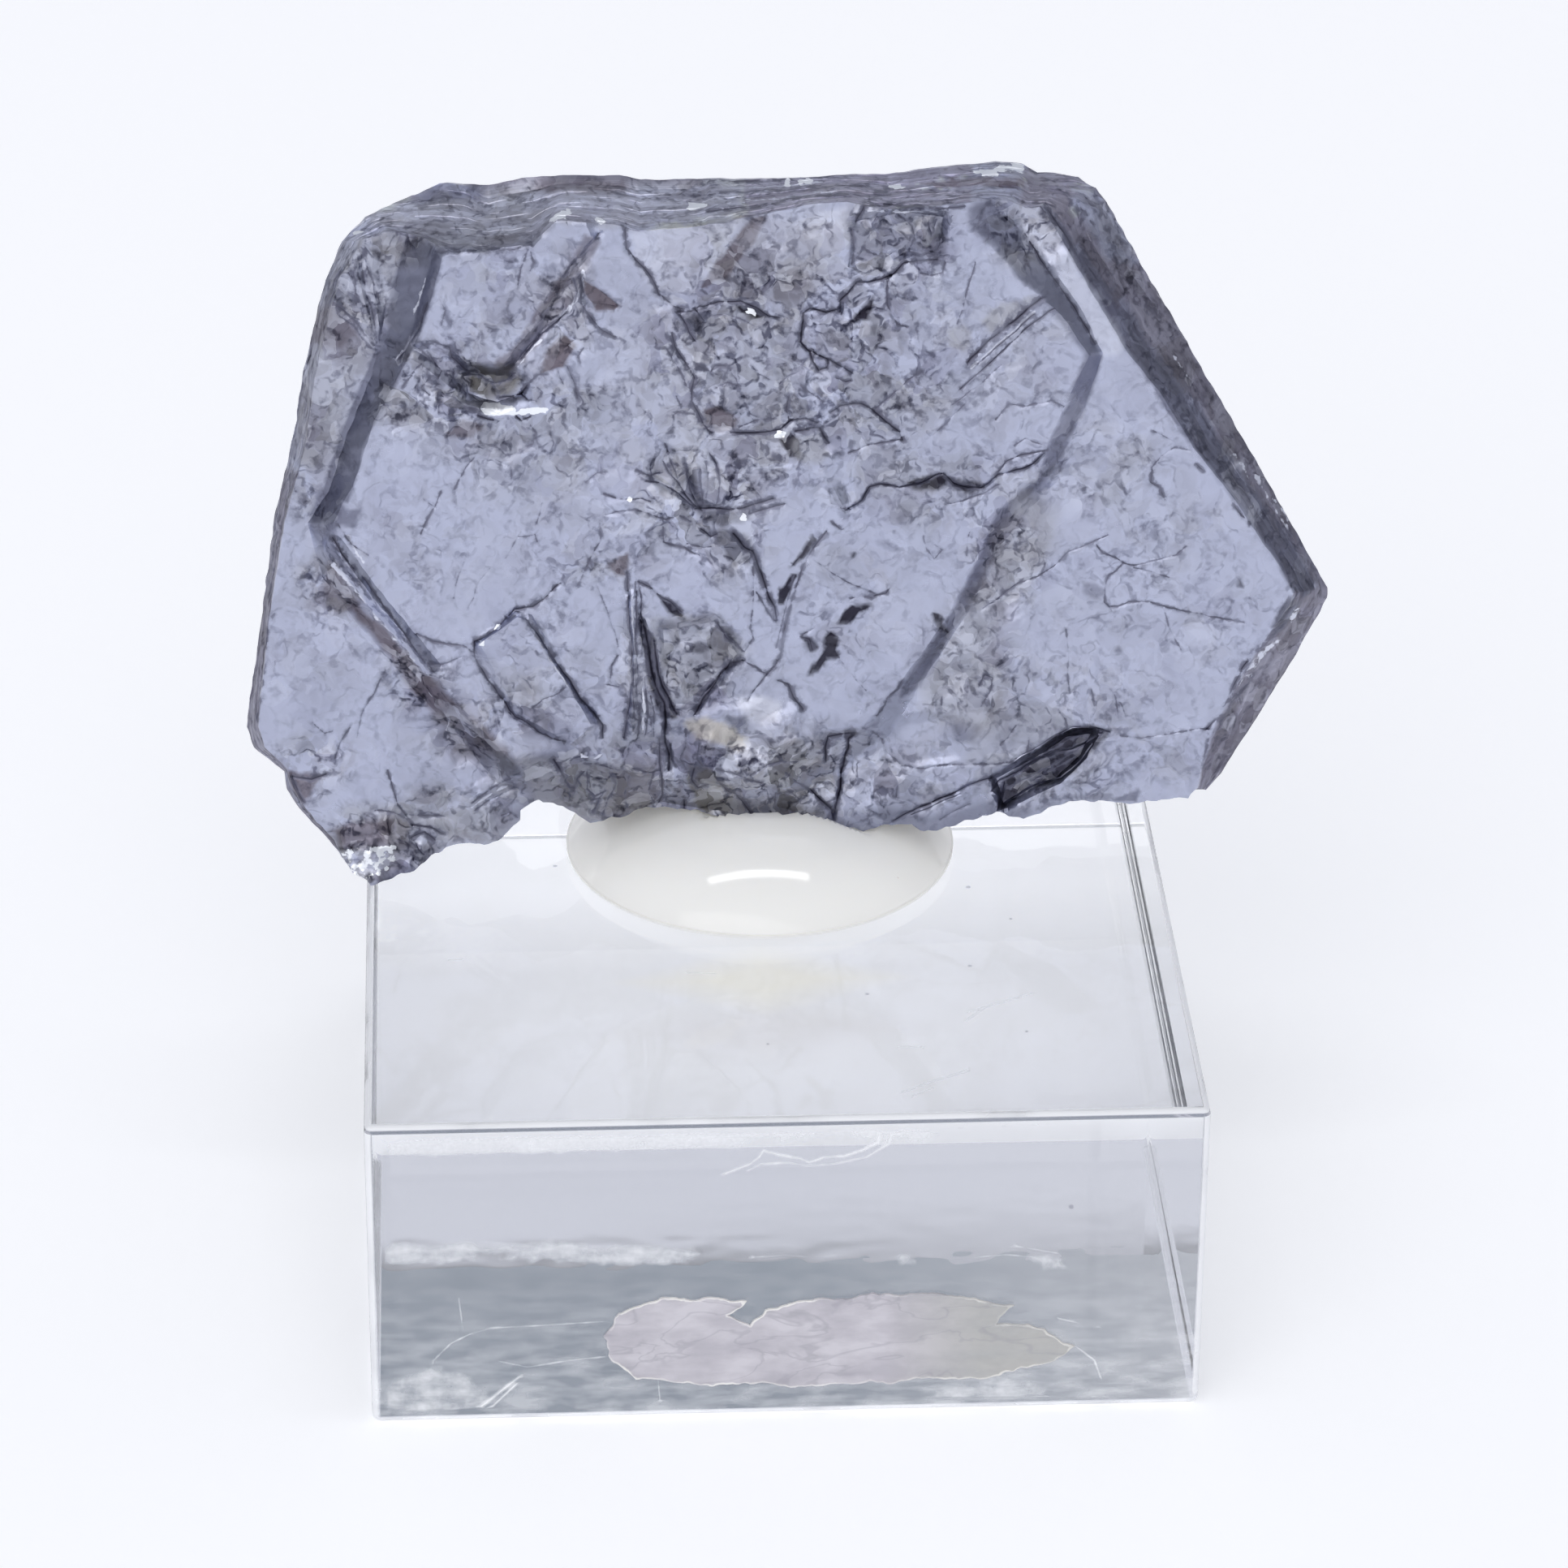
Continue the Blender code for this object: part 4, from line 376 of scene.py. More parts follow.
    (0.10, 0.10, 0.90, ((-1.8, 1.4), (-1.5, 1.0), (-1.2, 0.9), (-0.9, 0.6), (-0.6, 0.1))),
    (0.12, 0.10, 0.95, ((-3.1, 0.7), (-3.1, 0.4))),
    (0.08, 0.07, 0.80, ((-1.9, 1.9), (-1.3, 1.7), (-0.7, 1.4), (-0.2, 1.3))),
    (0.07, 0.05, 0.65, ((-0.6, 1.6), (0.0, 2.0), (0.6, 2.15), (1.4, 2.1))),
    (0.12, 0.20, 1.00, ((2.5, 0.0), (2.6, 0.5), (2.75, 1.0), (2.8, 1.6), (2.9, 2.2), (3.05, 2.6),
     (3.05, 3.0), (3.25, 3.15))),
    (0.11, 0.15, 1.00, ((1.6, 1.0), (2.0, 0.6), (2.4, 0.15), (2.5, -0.2))),
    (0.07, 0.06, 0.70, ((0.7, 1.7), (1.1, 1.3), (1.6, 1.0))),
    (0.12, 0.12, 0.95, ((3.3, 3.25), (2.8, 3.2), (2.3, 3.1), (2.2, 2.6), (2.2, 2.1))),
    (0.07, 0.05, 0.60, ((0.3, 0.5), (0.3, 0.9), (0.9, 0.9), (1.2, 0.6))),
    (0.06, 0.05, 0.60, ((0.0, 1.0), (0.1, 0.5))),
    (0.08, 0.06, 0.65, ((3.6, 3.4), (3.9, 3.3), (4.3, 3.0), (4.5, 2.4), (5.0, 1.9), (5.8, 1.75), (7.0, 1.9),
     (8.4, 1.85), (9.3, 1.95))),
    (0.07, 0.06, 0.75, ((4.1, 3.9), (4.4, 4.3), (4.5, 4.6), (4.9, 4.9), (5.0, 5.2))),
    (0.06, 0.06, 0.75, ((4.9, 1.1), (4.85, 0.7))),
    (0.10, 0.15, 0.95, ((4.7, -0.3), (5.6, 0.15), (6.6, 0.6), (7.6, 1.05), (8.4, 1.35))),
    (0.06, 0.06, 0.75, ((5.4, -0.1), (6.4, 0.35), (7.2, 0.7))),
    (0.09, 0.12, 0.75, ((8.4, 0.8), (8.7, 1.2), (9.3, 1.5), (10.0, 2.0), (10.8, 2.35), (11.4, 2.4),
     (11.9, 2.6), (12.5, 3.0))),
    (0.08, 0.10, 0.80, ((8.7, 0.0), (8.8, 0.6), (8.9, 1.1))),
    (0.05, 0.10, 0.62, ((8.9, 0.3), (9.6, 0.8), (10.3, 1.1), (11.0, 1.3), (11.6, 1.8), (12.2, 2.6))),
    (0.05, 0.08, 0.62, ((9.0, 1.9), (10.0, 2.5), (10.8, 3.0), (11.4, 3.3), (12.0, 3.3), (12.8, 3.05))),
    (0.06, 0.05, 0.60, ((6.5, -0.3), (7.0, 0.0), (7.6, 0.3))),
    (0.05, 0.02, 0.80, ((9.0, 1.3), (10.1, 2.05), (11.3, 2.8), (12.2, 3.1))),
    (0.05, 0.02, 0.75, ((9.1, 0.95), (10.3, 1.6), (11.4, 2.25), (12.3, 2.85))),
    (0.05, 0.02, 0.70, ((9.3, 1.75), (10.2, 2.35), (11.0, 2.85), (11.7, 3.1))),
    (0.05, 0.02, 0.70, ((9.9, 1.15), (10.8, 1.7), (11.5, 2.1))),
    # the right-hand terrace
    (0.06, 0.05, 0.65, ((8.0, 8.0), (8.9, 8.7), (9.3, 9.0), (10.0, 9.2), (10.7, 9.7), (11.2, 10.2),
     (12.0, 10.5), (12.6, 10.8))),
    (0.06, 0.05, 0.65, ((12.2, 10.4), (12.4, 10.1), (12.9, 9.9), (13.2, 9.7), (13.6, 9.6), (14.5, 9.8),
     (15.2, 10.0), (15.5, 10.3))),
    (0.06, 0.05, 0.70, ((13.2, 9.7), (12.9, 9.4), (12.6, 9.2), (12.5, 8.8), (12.5, 8.2), (12.7, 8.0),
     (13.0, 8.0), (13.4, 8.2), (14.2, 8.2), (14.7, 8.0), (15.5, 7.8), (16.7, 7.5), (17.8, 7.3))),
    (0.05, 0.03, 0.50, ((13.6, 9.5), (14.4, 9.3), (14.9, 9.1))),
    (0.05, 0.03, 0.45, ((11.1, 7.2), (11.2, 6.2), (11.2, 5.2), (11.3, 4.6))),
    (0.05, 0.02, 0.30, ((14.7, 8.0), (15.0, 7.0), (15.4, 6.3))),
    (0.10, 0.06, 0.70, ((14.2, 13.3), (14.15, 12.8), (14.5, 12.6), (14.7, 12.1))),
    (0.06, 0.04, 0.55, ((14.2, 13.4), (14.5, 13.8), (15.0, 14.1), (15.7, 14.0))),
    (0.06, 0.04, 0.55, ((14.2, 14.8), (14.9, 14.4))),
    (0.08, 0.06, 0.75, ((15.8, 13.5), (16.1, 13.2))),
    (0.08, 0.06, 0.75, ((17.2, 11.9), (17.5, 11.5), (17.9, 11.1))),
    (0.10, 0.10, 0.90, ((19.2, 7.2), (18.9, 6.9), (18.5, 6.5), (18.1, 6.1), (17.7, 5.5), (17.5, 5.0),
     (17.3, 4.4), (17.1, 4.0), (16.8, 3.5), (16.4, 3.1))),
    (0.07, 0.08, 0.80, ((18.3, 5.4), (17.9, 4.8), (17.6, 4.4), (17.2, 3.8), (16.9, 3.2))),
    (0.06, 0.04, 0.55, ((13.2, 2.9), (14.0, 2.8), (15.0, 2.95), (16.0, 3.1), (16.4, 3.15), (17.1, 3.0))),
    (0.07, 0.05, 0.65, ((16.5, 2.9), (16.4, 2.2), (16.3, 1.6))),
    (0.08, 0.06, 0.75, ((7.9, 5.0), (8.1, 5.4), (8.4, 5.3), (8.3, 4.7), (8.0, 4.2))),
    (0.07, 0.05, 0.65, ((6.5, 4.6), (6.5, 4.2), (6.7, 4.0))),
    (0.06, 0.04, 0.60, ((10.9, 3.9), (11.1, 3.6), (11.2, 3.2))),
    (0.05, 0.03, 0.50, ((12.1, 4.8), (12.2, 4.1))),
    (0.05, 0.03, 0.55, ((12.8, 4.8), (13.0, 4.4), (13.1, 3.6))),
    (0.05, 0.03, 0.50, ((13.2, 4.2), (13.4, 3.7))),
    (0.06, 0.04, 0.60, ((9.3, 3.4), (9.0, 2.9), (8.7, 2.6))),
    (0.06, 0.04, 0.60, ((9.8, 2.9), (9.7, 2.4))),
    (0.09, 0.06, 0.90, ((9.4, 22.3), (10.2, 21.0), (11.1, 19.7), (12.05, 18.15))),
    # on the layered sides: the long seam upper right, and layer lines on top
    (0.10, 0.00, 0.95, ((10.1, 23.4), (11.1, 21.9), (12.1, 20.5), (13.1, 19.2), (14.1, 17.9), (15.0, 16.7),
     (15.8, 15.6), (16.3, 14.8))),
    (0.08, 0.00, 0.80, ((-3.0, 23.9), (0.0, 24.1), (2.0, 24.2), (4.0, 24.2))),
    (0.08, 0.00, 0.80, ((-2.4, 23.35), (0.0, 23.5), (1.0, 23.8), (3.0, 23.9))),
    (0.10, 0.00, 0.70, ((-3.0, 24.4), (0.0, 24.5), (3.0, 24.6))),
    (0.09, 0.00, 0.80, ((5.0, 23.35), (5.8, 23.4), (6.3, 23.3), (7.2, 23.4))),
    (0.08, 0.00, 0.60, ((10.4, 24.3), (11.3, 23.4), (12.3, 22.0), (13.0, 21.0))),
    (0.06, 0.00, 0.50, ((12.6, 20.8), (13.6, 19.5), (14.6, 18.3))),
    (0.07, 0.00, 0.70, ((17.0, 13.8), (17.8, 12.5), (18.9, 11.1), (19.6, 10.1))),
    (0.06, 0.00, 0.60, ((17.8, 12.3), (18.3, 12.7))),
    (0.07, 0.00, 0.75, ((19.3, 10.8), (19.7, 10.6), (20.1, 9.6), (20.5, 8.9))),
)

# Thin light lines, where a layer's edge or a fold catches the light.
LIGHT_LINES = (
    (0.12, 0.90, ((-15.9, 10.1), (-15.0, 9.2), (-14.5, 8.5), (-13.4, 7.0), (-12.5, 5.9))),
    (0.05, 0.50, ((-12.3, 21.0), (-12.8, 19.5))),
    (0.05, 0.60, ((-12.5, 19.3), (-12.8, 18.8), (-13.4, 18.0))),
    (0.06, 0.80, ((-9.0, 17.6), (-8.5, 18.3), (-8.2, 18.6))),
    (0.09, 0.80, ((-7.4, 19.5), (-6.95, 20.0), (-6.6, 20.6), (-6.6, 21.2))),
    (0.05, 0.80, ((3.7, 23.3), (5.0, 23.2), (6.2, 23.2))),
    (0.05, 0.70, ((7.5, 17.3), (8.4, 18.15), (9.8, 19.4))),
    (0.06, 0.60, ((-4.97, 9.0), (-4.92, 7.5), (-4.97, 6.0))),
    (0.05, 0.60, ((-4.6, 5.4), (-4.55, 4.4), (-4.6, 3.5))),
    (0.06, 0.70, ((14.4, 18.1), (15.0, 17.4), (15.6, 16.4))),
    (0.12, 0.70, ((17.1, 13.8), (17.6, 13.2), (18.2, 12.7))),
    (0.14, 0.70, ((18.4, 12.4), (18.9, 11.7), (19.3, 11.1))),
    (0.10, 0.80, ((19.0, 6.6), (18.3, 5.9), (17.8, 5.0), (17.4, 4.0))),
    (0.10, 0.60, ((19.7, 7.7), (19.3, 6.9))),
    (0.05, 0.60, ((-8.7, 7.6), (-7.7, 5.8), (-6.8, 4.5))),
    (0.07, 0.70, ((-2.6, 24.0), (0.0, 24.2), (2.0, 24.35))),
    (0.07, 0.60, ((-2.0, 23.6), (0.0, 23.75), (1.3, 23.9), (2.6, 24.0))),
    (0.06, 0.60, ((-11.0, 0.55), (-10.3, 1.05), (-9.4, 1.5))),
    (0.08, 0.60, ((-15.4, 11.3), (-15.0, 10.5), (-14.8, 10.2))),
    (0.05, 0.50, ((-7.1, 2.9), (-6.9, 2.5), (-6.4, 2.4), (-6.1, 2.6))),
    (0.09, 0.50, ((-10.0, 24.55), (-9.3, 24.3), (-8.9, 24.6), (-7.4, 24.7), (-6.6, 24.75))),
)

# Patches of another tone: tone, strength, width of the soft edge, corners.
PATCHES = (
    ("olive", 0.65, 0.30, ((-14.5, 23.2), (-12.6, 23.8), (-9.0, 24.2), (-5.0, 24.3), (-1.0, 24.3),
     (-1.0, 23.3), (-5.0, 22.9), (-7.6, 23.2), (-8.5, 22.3), (-12.0, 22.2), (-13.0, 22.9))),
    ("olive", 0.40, 0.60, ((-15.9, 22.0), (-14.7, 22.6), (-13.0, 22.7), (-13.5, 21.0), (-14.1, 19.0),
     (-15.0, 17.0), (-16.4, 14.0), (-17.2, 14.5), (-16.6, 17.5))),
    # The next four slate patches follow the plateau's bevels: partly their rougher, darker face, partly
    # painted shade of the slopes.
    ("slate", 0.95, 0.08, ((-12.9, 22.6), (-13.3, 21.2), (-13.8, 19.9), (-14.1, 18.6), (-14.4, 17.6),
     (-15.0, 16.3), (-15.5, 15.0), (-15.9, 13.9), (-16.2, 12.9), (-15.3, 12.6), (-15.1, 13.2),
     (-14.9, 14.0), (-14.7, 14.9), (-14.2, 15.7), (-13.7, 16.6), (-13.3, 17.4), (-12.8, 18.4),
     (-12.4, 19.3), (-12.0, 20.6), (-11.7, 21.7), (-12.1, 22.4))),
    ("slate", 0.90, 0.10, ((-16.3, 13.0), (-15.9, 12.9), (-15.3, 12.2), (-14.8, 12.3), (-15.1, 11.6),
     (-15.6, 11.7), (-16.0, 11.4), (-16.3, 10.8), (-16.6, 11.4), (-16.7, 12.2))),
    ("slate", 0.80, 0.15, ((7.4, 22.6), (8.2, 22.2), (8.9, 21.4), (9.2, 20.7), (10.0, 20.1), (10.6, 19.2),
     (11.6, 17.9), (12.1, 17.8), (11.9, 18.3), (11.1, 19.6), (10.2, 20.9), (9.4, 22.1), (9.2, 23.1),
     (8.3, 23.6), (7.4, 23.3))),
    ("slate", 0.97, 0.10, ((11.7, 17.8), (12.25, 17.7), (11.9, 16.4), (11.3, 15.0), (10.9, 14.0),
     (10.2, 13.0), (9.2, 12.0), (8.9, 11.2), (8.4, 10.2), (8.1, 9.2), (7.6, 8.3), (6.9, 7.2), (6.3, 6.3),
     (5.6, 5.0), (5.0, 4.6), (5.1, 5.0), (5.8, 6.1), (6.3, 6.9), (7.0, 8.1), (7.7, 9.5), (8.2, 10.8),
     (8.5, 11.7), (9.1, 12.3), (10.0, 13.0), (10.4, 14.3), (10.8, 15.2), (11.2, 16.3))),
    ("slate", 0.95, 0.05, ((10.1, 23.4), (9.9, 23.1), (11.0, 21.6), (12.0, 19.9), (13.1, 18.0),
     (14.0, 16.8), (15.0, 15.1), (15.9, 13.9), (16.9, 12.6), (17.6, 11.6), (18.3, 10.6), (19.0, 9.5),
     (19.4, 8.7), (19.9, 8.3), (20.3, 8.6), (20.1, 9.3), (19.4, 10.3), (18.3, 11.8), (17.4, 13.0),
     (16.6, 14.4), (15.8, 15.6), (15.0, 16.8), (14.1, 18.0), (13.1, 19.3), (12.1, 20.6), (11.1, 22.0))),
    ("dark", 0.30, 0.20, ((11.2, 23.9), (11.8, 23.7), (12.6, 22.6), (13.3, 21.4), (12.8, 21.5),
     (12.0, 22.5), (11.2, 23.3))),
    ("brown", 0.90, 0.08, ((5.6, 24.15), (6.6, 24.45), (8.0, 24.45), (9.3, 24.3), (9.4, 24.1),
     (8.0, 24.1))),
    ("slate", 0.85, 0.15, ((-12.4, 24.2), (-11.6, 24.4), (-10.4, 24.35), (-9.9, 24.2), (-10.4, 23.95),
     (-11.6, 23.85), (-12.3, 23.9))),
    ("brown", 0.75, 0.15, ((-8.6, 24.3), (-7.6, 24.6), (-5.0, 24.7), (-4.6, 24.5), (-5.2, 24.3),
     (-7.0, 24.2))),
    ("brown", 0.85, 0.08, ((-0.5, 23.0), (0.0, 23.1), (-0.6, 22.0), (-1.1, 21.4), (-1.5, 20.8),
     (-2.3, 20.5), (-1.9, 21.2), (-1.2, 22.1))),
    ("brown", 0.28, 0.15, ((0.0, 23.0), (1.0, 22.7), (1.6, 22.3), (2.0, 21.5), (2.2, 20.8), (1.8, 20.2),
     (0.0, 20.0), (-1.8, 20.3), (-1.5, 20.9), (-0.6, 21.9))),
    ("light", 0.35, 0.15, ((-4.9, 22.6), (-3.5, 22.75), (-2.0, 22.75), (-1.0, 22.9), (-1.4, 22.2),
     (-2.3, 20.9), (-2.6, 20.3), (-4.0, 20.4), (-4.5, 21.3))),
    ("light", 0.35, 0.15, ((1.0, 22.8), (2.0, 23.2), (2.9, 23.3), (3.0, 22.2), (2.4, 21.6), (1.8, 22.2))),
    ("slate", 0.35, 0.25, ((3.3, 22.9), (3.2, 21.4), (4.4, 21.2), (5.2, 21.7), (6.4, 21.6), (6.4, 23.1),
     (5.0, 23.2))),
    ("brown", 1.00, 0.06, ((-6.65, 20.9), (-6.3, 20.6), (-5.7, 20.15), (-5.3, 19.9), (-5.5, 19.75),
     (-6.1, 19.75), (-6.4, 20.1), (-6.6, 20.4))),
    ("brown", 0.65, 0.12, ((-9.2, 17.4), (-8.4, 18.4), (-7.6, 19.3), (-7.0, 20.0), (-6.6, 21.0),
     (-6.1, 22.3), (-6.5, 22.4), (-7.3, 21.0), (-8.3, 19.6), (-9.0, 18.5), (-9.8, 17.7))),
    ("brown", 0.95, 0.08, ((-8.2, 17.4), (-7.4, 17.6), (-6.95, 18.4), (-7.3, 18.7), (-7.9, 18.2))),
    ("brown", 0.80, 0.10, ((-11.6, 15.1), (-11.0, 15.6), (-10.3, 15.3), (-10.8, 14.9))),
    ("umber", 0.85, 0.30, ((-11.0, 17.4), (-10.5, 17.6), (-10.0, 17.4), (-9.3, 17.5), (-8.9, 17.1),
     (-9.3, 16.7), (-10.0, 16.6), (-10.6, 16.9))),
    ("brown", 0.95, 0.08, ((-2.2, 15.8), (-1.8, 15.95), (-1.2, 15.7), (-1.0, 15.4), (-1.3, 15.1),
     (-1.9, 15.0), (-2.3, 15.3))),
    ("dark", 1.00, 0.08, ((0.55, 14.85), (0.9, 14.95), (1.2, 14.6), (1.25, 14.0), (0.85, 14.1))),
    ("dark", 1.00, 0.08, ((-1.1, 19.85), (-0.4, 19.65), (0.1, 19.35), (-0.1, 19.25), (-0.6, 19.4),
     (-1.0, 19.6))),
    ("slate", 0.85, 0.10, ((-2.95, 19.3), (-2.3, 19.4), (-2.4, 18.5), (-2.85, 18.8))),
    ("slate", 0.60, 0.12, ((-1.5, 18.9), (-0.8, 19.05), (0.0, 18.95), (-0.8, 18.75))),
    ("dark", 1.00, 0.06, ((3.15, 19.15), (3.5, 19.55), (3.9, 20.0), (3.8, 19.6), (3.7, 19.2))),
    ("dark", 0.70, 0.30, ((-3.9, 13.6), (-3.4, 13.75), (-2.8, 13.6), (-2.6, 12.9), (-2.4, 12.2),
     (-2.9, 12.4), (-3.9, 13.0))),
    ("dark", 0.60, 0.15, ((-2.5, 12.15), (-1.6, 12.1), (-0.7, 12.0), (-0.6, 11.6), (-1.4, 11.5),
     (-2.3, 11.7))),
    ("dark", 0.75, 0.15, ((-1.8, 11.25), (-1.2, 11.25), (-0.85, 10.9), (-0.6, 10.4), (-0.8, 9.9),
     (-1.2, 10.0), (-1.5, 10.5))),
    ("dark", 1.00, 0.06, ((0.45, 8.4), (0.5, 8.9), (0.85, 9.45), (1.1, 9.45), (0.85, 8.9), (0.6, 8.4))),
    ("dark", 1.00, 0.06, ((0.9, 9.8), (1.3, 10.25), (1.7, 10.95), (1.85, 10.75), (1.4, 10.1))),
    ("dark", 1.00, 0.06, ((2.7, 7.55), (2.8, 7.9), (3.2, 8.2), (3.85, 8.2), (3.4, 8.0), (3.2, 7.7),
     (2.95, 7.5))),
    ("dark", 1.00, 0.06, ((1.55, 5.55), (1.7, 5.9), (2.0, 6.3), (2.15, 6.9), (2.4, 7.2), (2.65, 7.0),
     (2.5, 6.5), (2.7, 6.2), (2.2, 6.1), (1.9, 5.75))),
    ("dark", 1.00, 0.06, ((1.3, 7.05), (1.6, 6.95), (1.85, 6.6), (1.55, 6.5))),
    ("slate", 0.45, 0.35, ((-10.7, 6.6), (-10.3, 6.3), (-9.3, 4.9), (-8.2, 4.0), (-7.2, 3.5), (-7.4, 3.0),
     (-8.8, 3.5), (-10.1, 4.9))),
    ("slate", 0.55, 0.10, ((4.1, 10.65), (4.5, 10.65), (4.9, 10.35), (4.5, 10.4))),
    ("brown", 0.95, 0.08, ((-5.85, 10.15), (-5.4, 10.25), (-5.15, 10.3), (-5.1, 9.9), (-5.2, 9.6),
     (-5.5, 9.65), (-5.8, 9.9))),
    ("dark", 1.00, 0.08, ((-4.7, 8.1), (-4.35, 7.3), (-4.1, 7.0), (-4.05, 6.0), (-3.8, 5.2), (-3.5, 4.3),
     (-3.25, 4.0), (-3.9, 3.9), (-4.1, 4.6), (-4.3, 5.5), (-4.6, 6.8))),
    ("dark", 1.00, 0.08, ((-3.9, 8.65), (-3.3, 8.45), (-3.1, 7.85), (-3.5, 8.1))),
    ("olive", 0.45, 0.20, ((-4.2, 7.9), (-3.2, 7.9), (-2.0, 7.9), (-1.2, 7.0), (-0.8, 6.5), (-1.5, 6.0),
     (-2.2, 4.9), (-2.6, 4.2), (-3.3, 4.0), (-3.6, 4.6), (-3.9, 5.6), (-4.1, 6.8))),
    ("slate", 0.75, 0.10, ((-4.0, 7.75), (-3.6, 7.8), (-3.3, 7.5), (-3.7, 7.35))),
    ("dark", 0.60, 0.10, ((-2.9, 6.6), (-2.5, 6.95), (-2.1, 6.8), (-2.4, 6.5))),
    ("dark", 1.00, 0.06, ((5.2, 12.95), (5.9, 13.15), (6.4, 13.3), (6.6, 13.0), (6.3, 12.75), (5.4, 12.7))),
    ("dark", 1.00, 0.08, ((6.6, 13.1), (7.0, 12.95), (7.6, 12.9), (8.0, 12.75), (7.4, 12.6), (6.9, 12.7))),
    ("brown", 0.80, 0.25, ((-16.1, 10.0), (-15.6, 9.6), (-15.3, 8.8), (-15.0, 8.4), (-15.9, 8.4),
     (-16.2, 9.2))),
    ("brown", 0.88, 0.25, ((-15.2, 8.4), (-14.6, 8.1), (-13.7, 7.0), (-12.9, 6.1), (-12.3, 5.4),
     (-11.5, 4.6), (-10.8, 3.9), (-10.1, 3.1), (-9.6, 2.6), (-10.2, 2.7), (-11.2, 3.4), (-12.3, 4.4),
     (-13.3, 5.7), (-14.2, 7.2))),
    ("olive", 0.50, 0.40, ((-12.2, 4.1), (-11.2, 4.0), (-10.0, 2.6), (-9.5, 2.2), (-10.0, 1.9),
     (-11.5, 2.9))),
    ("brown", 0.80, 0.20, ((-16.2, -0.3), (-15.5, -0.1), (-14.2, 0.0), (-13.4, -0.2), (-13.5, -0.9),
     (-14.5, -0.95), (-15.8, -1.0))),
    ("slate", 0.75, 0.20, ((-14.2, -1.9), (-13.3, -1.7), (-13.3, -1.0), (-12.2, -1.0), (-13.2, -2.0),
     (-14.6, -2.5))),
    ("olive", 0.50, 0.50, ((-15.6, 0.5), (-13.6, 0.4), (-12.0, -0.6), (-10.2, -0.8), (-9.3, 0.1),
     (-10.6, 0.5), (-12.4, 0.0))),
    ("brown", 0.85, 0.12, ((-17.8, 2.0), (-17.0, 2.1), (-16.5, 1.95), (-16.9, 1.7), (-17.0, 1.2),
     (-17.3, 0.8), (-17.7, 1.4))),
    ("dark", 0.60, 0.20, ((-10.0, 2.6), (-9.4, 2.4), (-9.2, 1.8), (-9.8, 1.8))),
    ("slate", 0.65, 0.25, ((-9.2, 2.3), (-8.0, 2.7), (-7.0, 2.5), (-6.5, 2.1), (-7.2, 1.8), (-8.2, 1.9),
     (-9.0, 1.5))),
    ("slate", 0.80, 0.20, ((6.9, 3.8), (7.6, 3.6), (7.9, 3.3), (7.7, 2.8), (7.1, 2.9))),
    ("dark", 0.45, 0.30, ((8.9, 0.8), (9.4, 1.5), (10.6, 2.5), (11.8, 3.1), (12.5, 3.0), (11.6, 2.2),
     (10.4, 1.3), (9.4, 0.8))),
    ("light", 0.70, 0.25, ((-1.0, 4.5), (-0.2, 4.7), (0.4, 4.3), (0.2, 3.8), (-0.6, 3.9))),
    ("slate", 0.75, 0.12, ((-1.5, 3.9), (-0.8, 3.9), (-0.7, 3.5), (-1.2, 3.4))),
    ("cream", 0.65, 0.20, ((-2.9, 3.7), (-2.2, 3.85), (-1.3, 3.5), (-0.8, 3.1), (-1.0, 2.7), (-1.9, 2.9),
     (-2.6, 3.2))),
    ("olive", 0.50, 0.30, ((-0.9, 2.6), (0.6, 2.9), (2.0, 2.9), (2.0, 2.0), (0.3, 1.3), (-0.8, 1.7))),
    ("slate", 0.60, 0.30, ((-9.4, 0.2), (-8.6, 1.0), (-6.6, 0.2), (-4.5, 0.8), (-1.9, 0.4), (0.5, 0.3),
     (3.4, -0.1), (4.6, 0.1), (6.2, -0.3), (8.4, 0.3), (9.8, 0.1), (9.6, -0.8), (6.2, -1.2), (3.6, -1.1),
     (0.0, -0.6), (-6.6, -0.6), (-8.5, 0.3))),
    ("olive", 0.65, 0.40, ((-9.0, 2.4), (-6.5, 2.0), (-4.2, 1.9), (-4.4, 0.4), (-6.6, 0.0), (-8.6, 0.9))),
    ("umber", 0.85, 0.15, ((-2.9, 1.9), (-2.0, 1.8), (-1.3, 1.0), (-1.5, 0.1), (-2.2, 0.1), (-2.6, 0.6))),
    ("olive", 0.50, 0.50, ((9.5, 12.2), (10.6, 11.5), (10.2, 10.0), (9.4, 9.0), (8.7, 8.0), (8.3, 7.0),
     (8.8, 5.0), (8.2, 3.4), (6.5, 3.9), (6.0, 5.0), (6.6, 6.2), (7.7, 8.1), (8.5, 10.0))),
    ("olive", 0.35, 0.50, ((8.0, 3.6), (10.6, 4.0), (11.2, 3.3), (9.4, 2.2), (7.6, 2.1))),
    ("olive", 0.70, 0.15, ((8.0, 19.2), (8.6, 19.6), (9.8, 20.0), (9.6, 19.7), (8.7, 19.0), (8.2, 18.7))),
    ("brown", 0.60, 0.30, ((-16.3, 19.8), (-15.3, 19.9), (-15.0, 19.0), (-15.4, 18.5), (-16.4, 18.7))),
    ("slate", 0.75, 0.15, ((-16.0, 21.1), (-15.3, 21.3), (-15.2, 20.6), (-15.7, 20.1), (-16.0, 20.4))),
    ("olive", 0.60, 0.20, ((1.0, 14.6), (2.0, 14.9), (2.2, 14.0), (1.9, 13.8), (1.1, 14.0))),
    ("olive", 0.25, 0.30, ((-2.2, 14.6), (-0.5, 14.9), (0.5, 14.7), (0.6, 14.0), (0.0, 12.8), (-1.0, 12.4),
     (-1.9, 12.6))),
    ("olive", 0.30, 0.50, ((-1.6, 19.0), (1.0, 19.2), (1.2, 17.2), (0.4, 16.0), (-1.6, 16.2))),
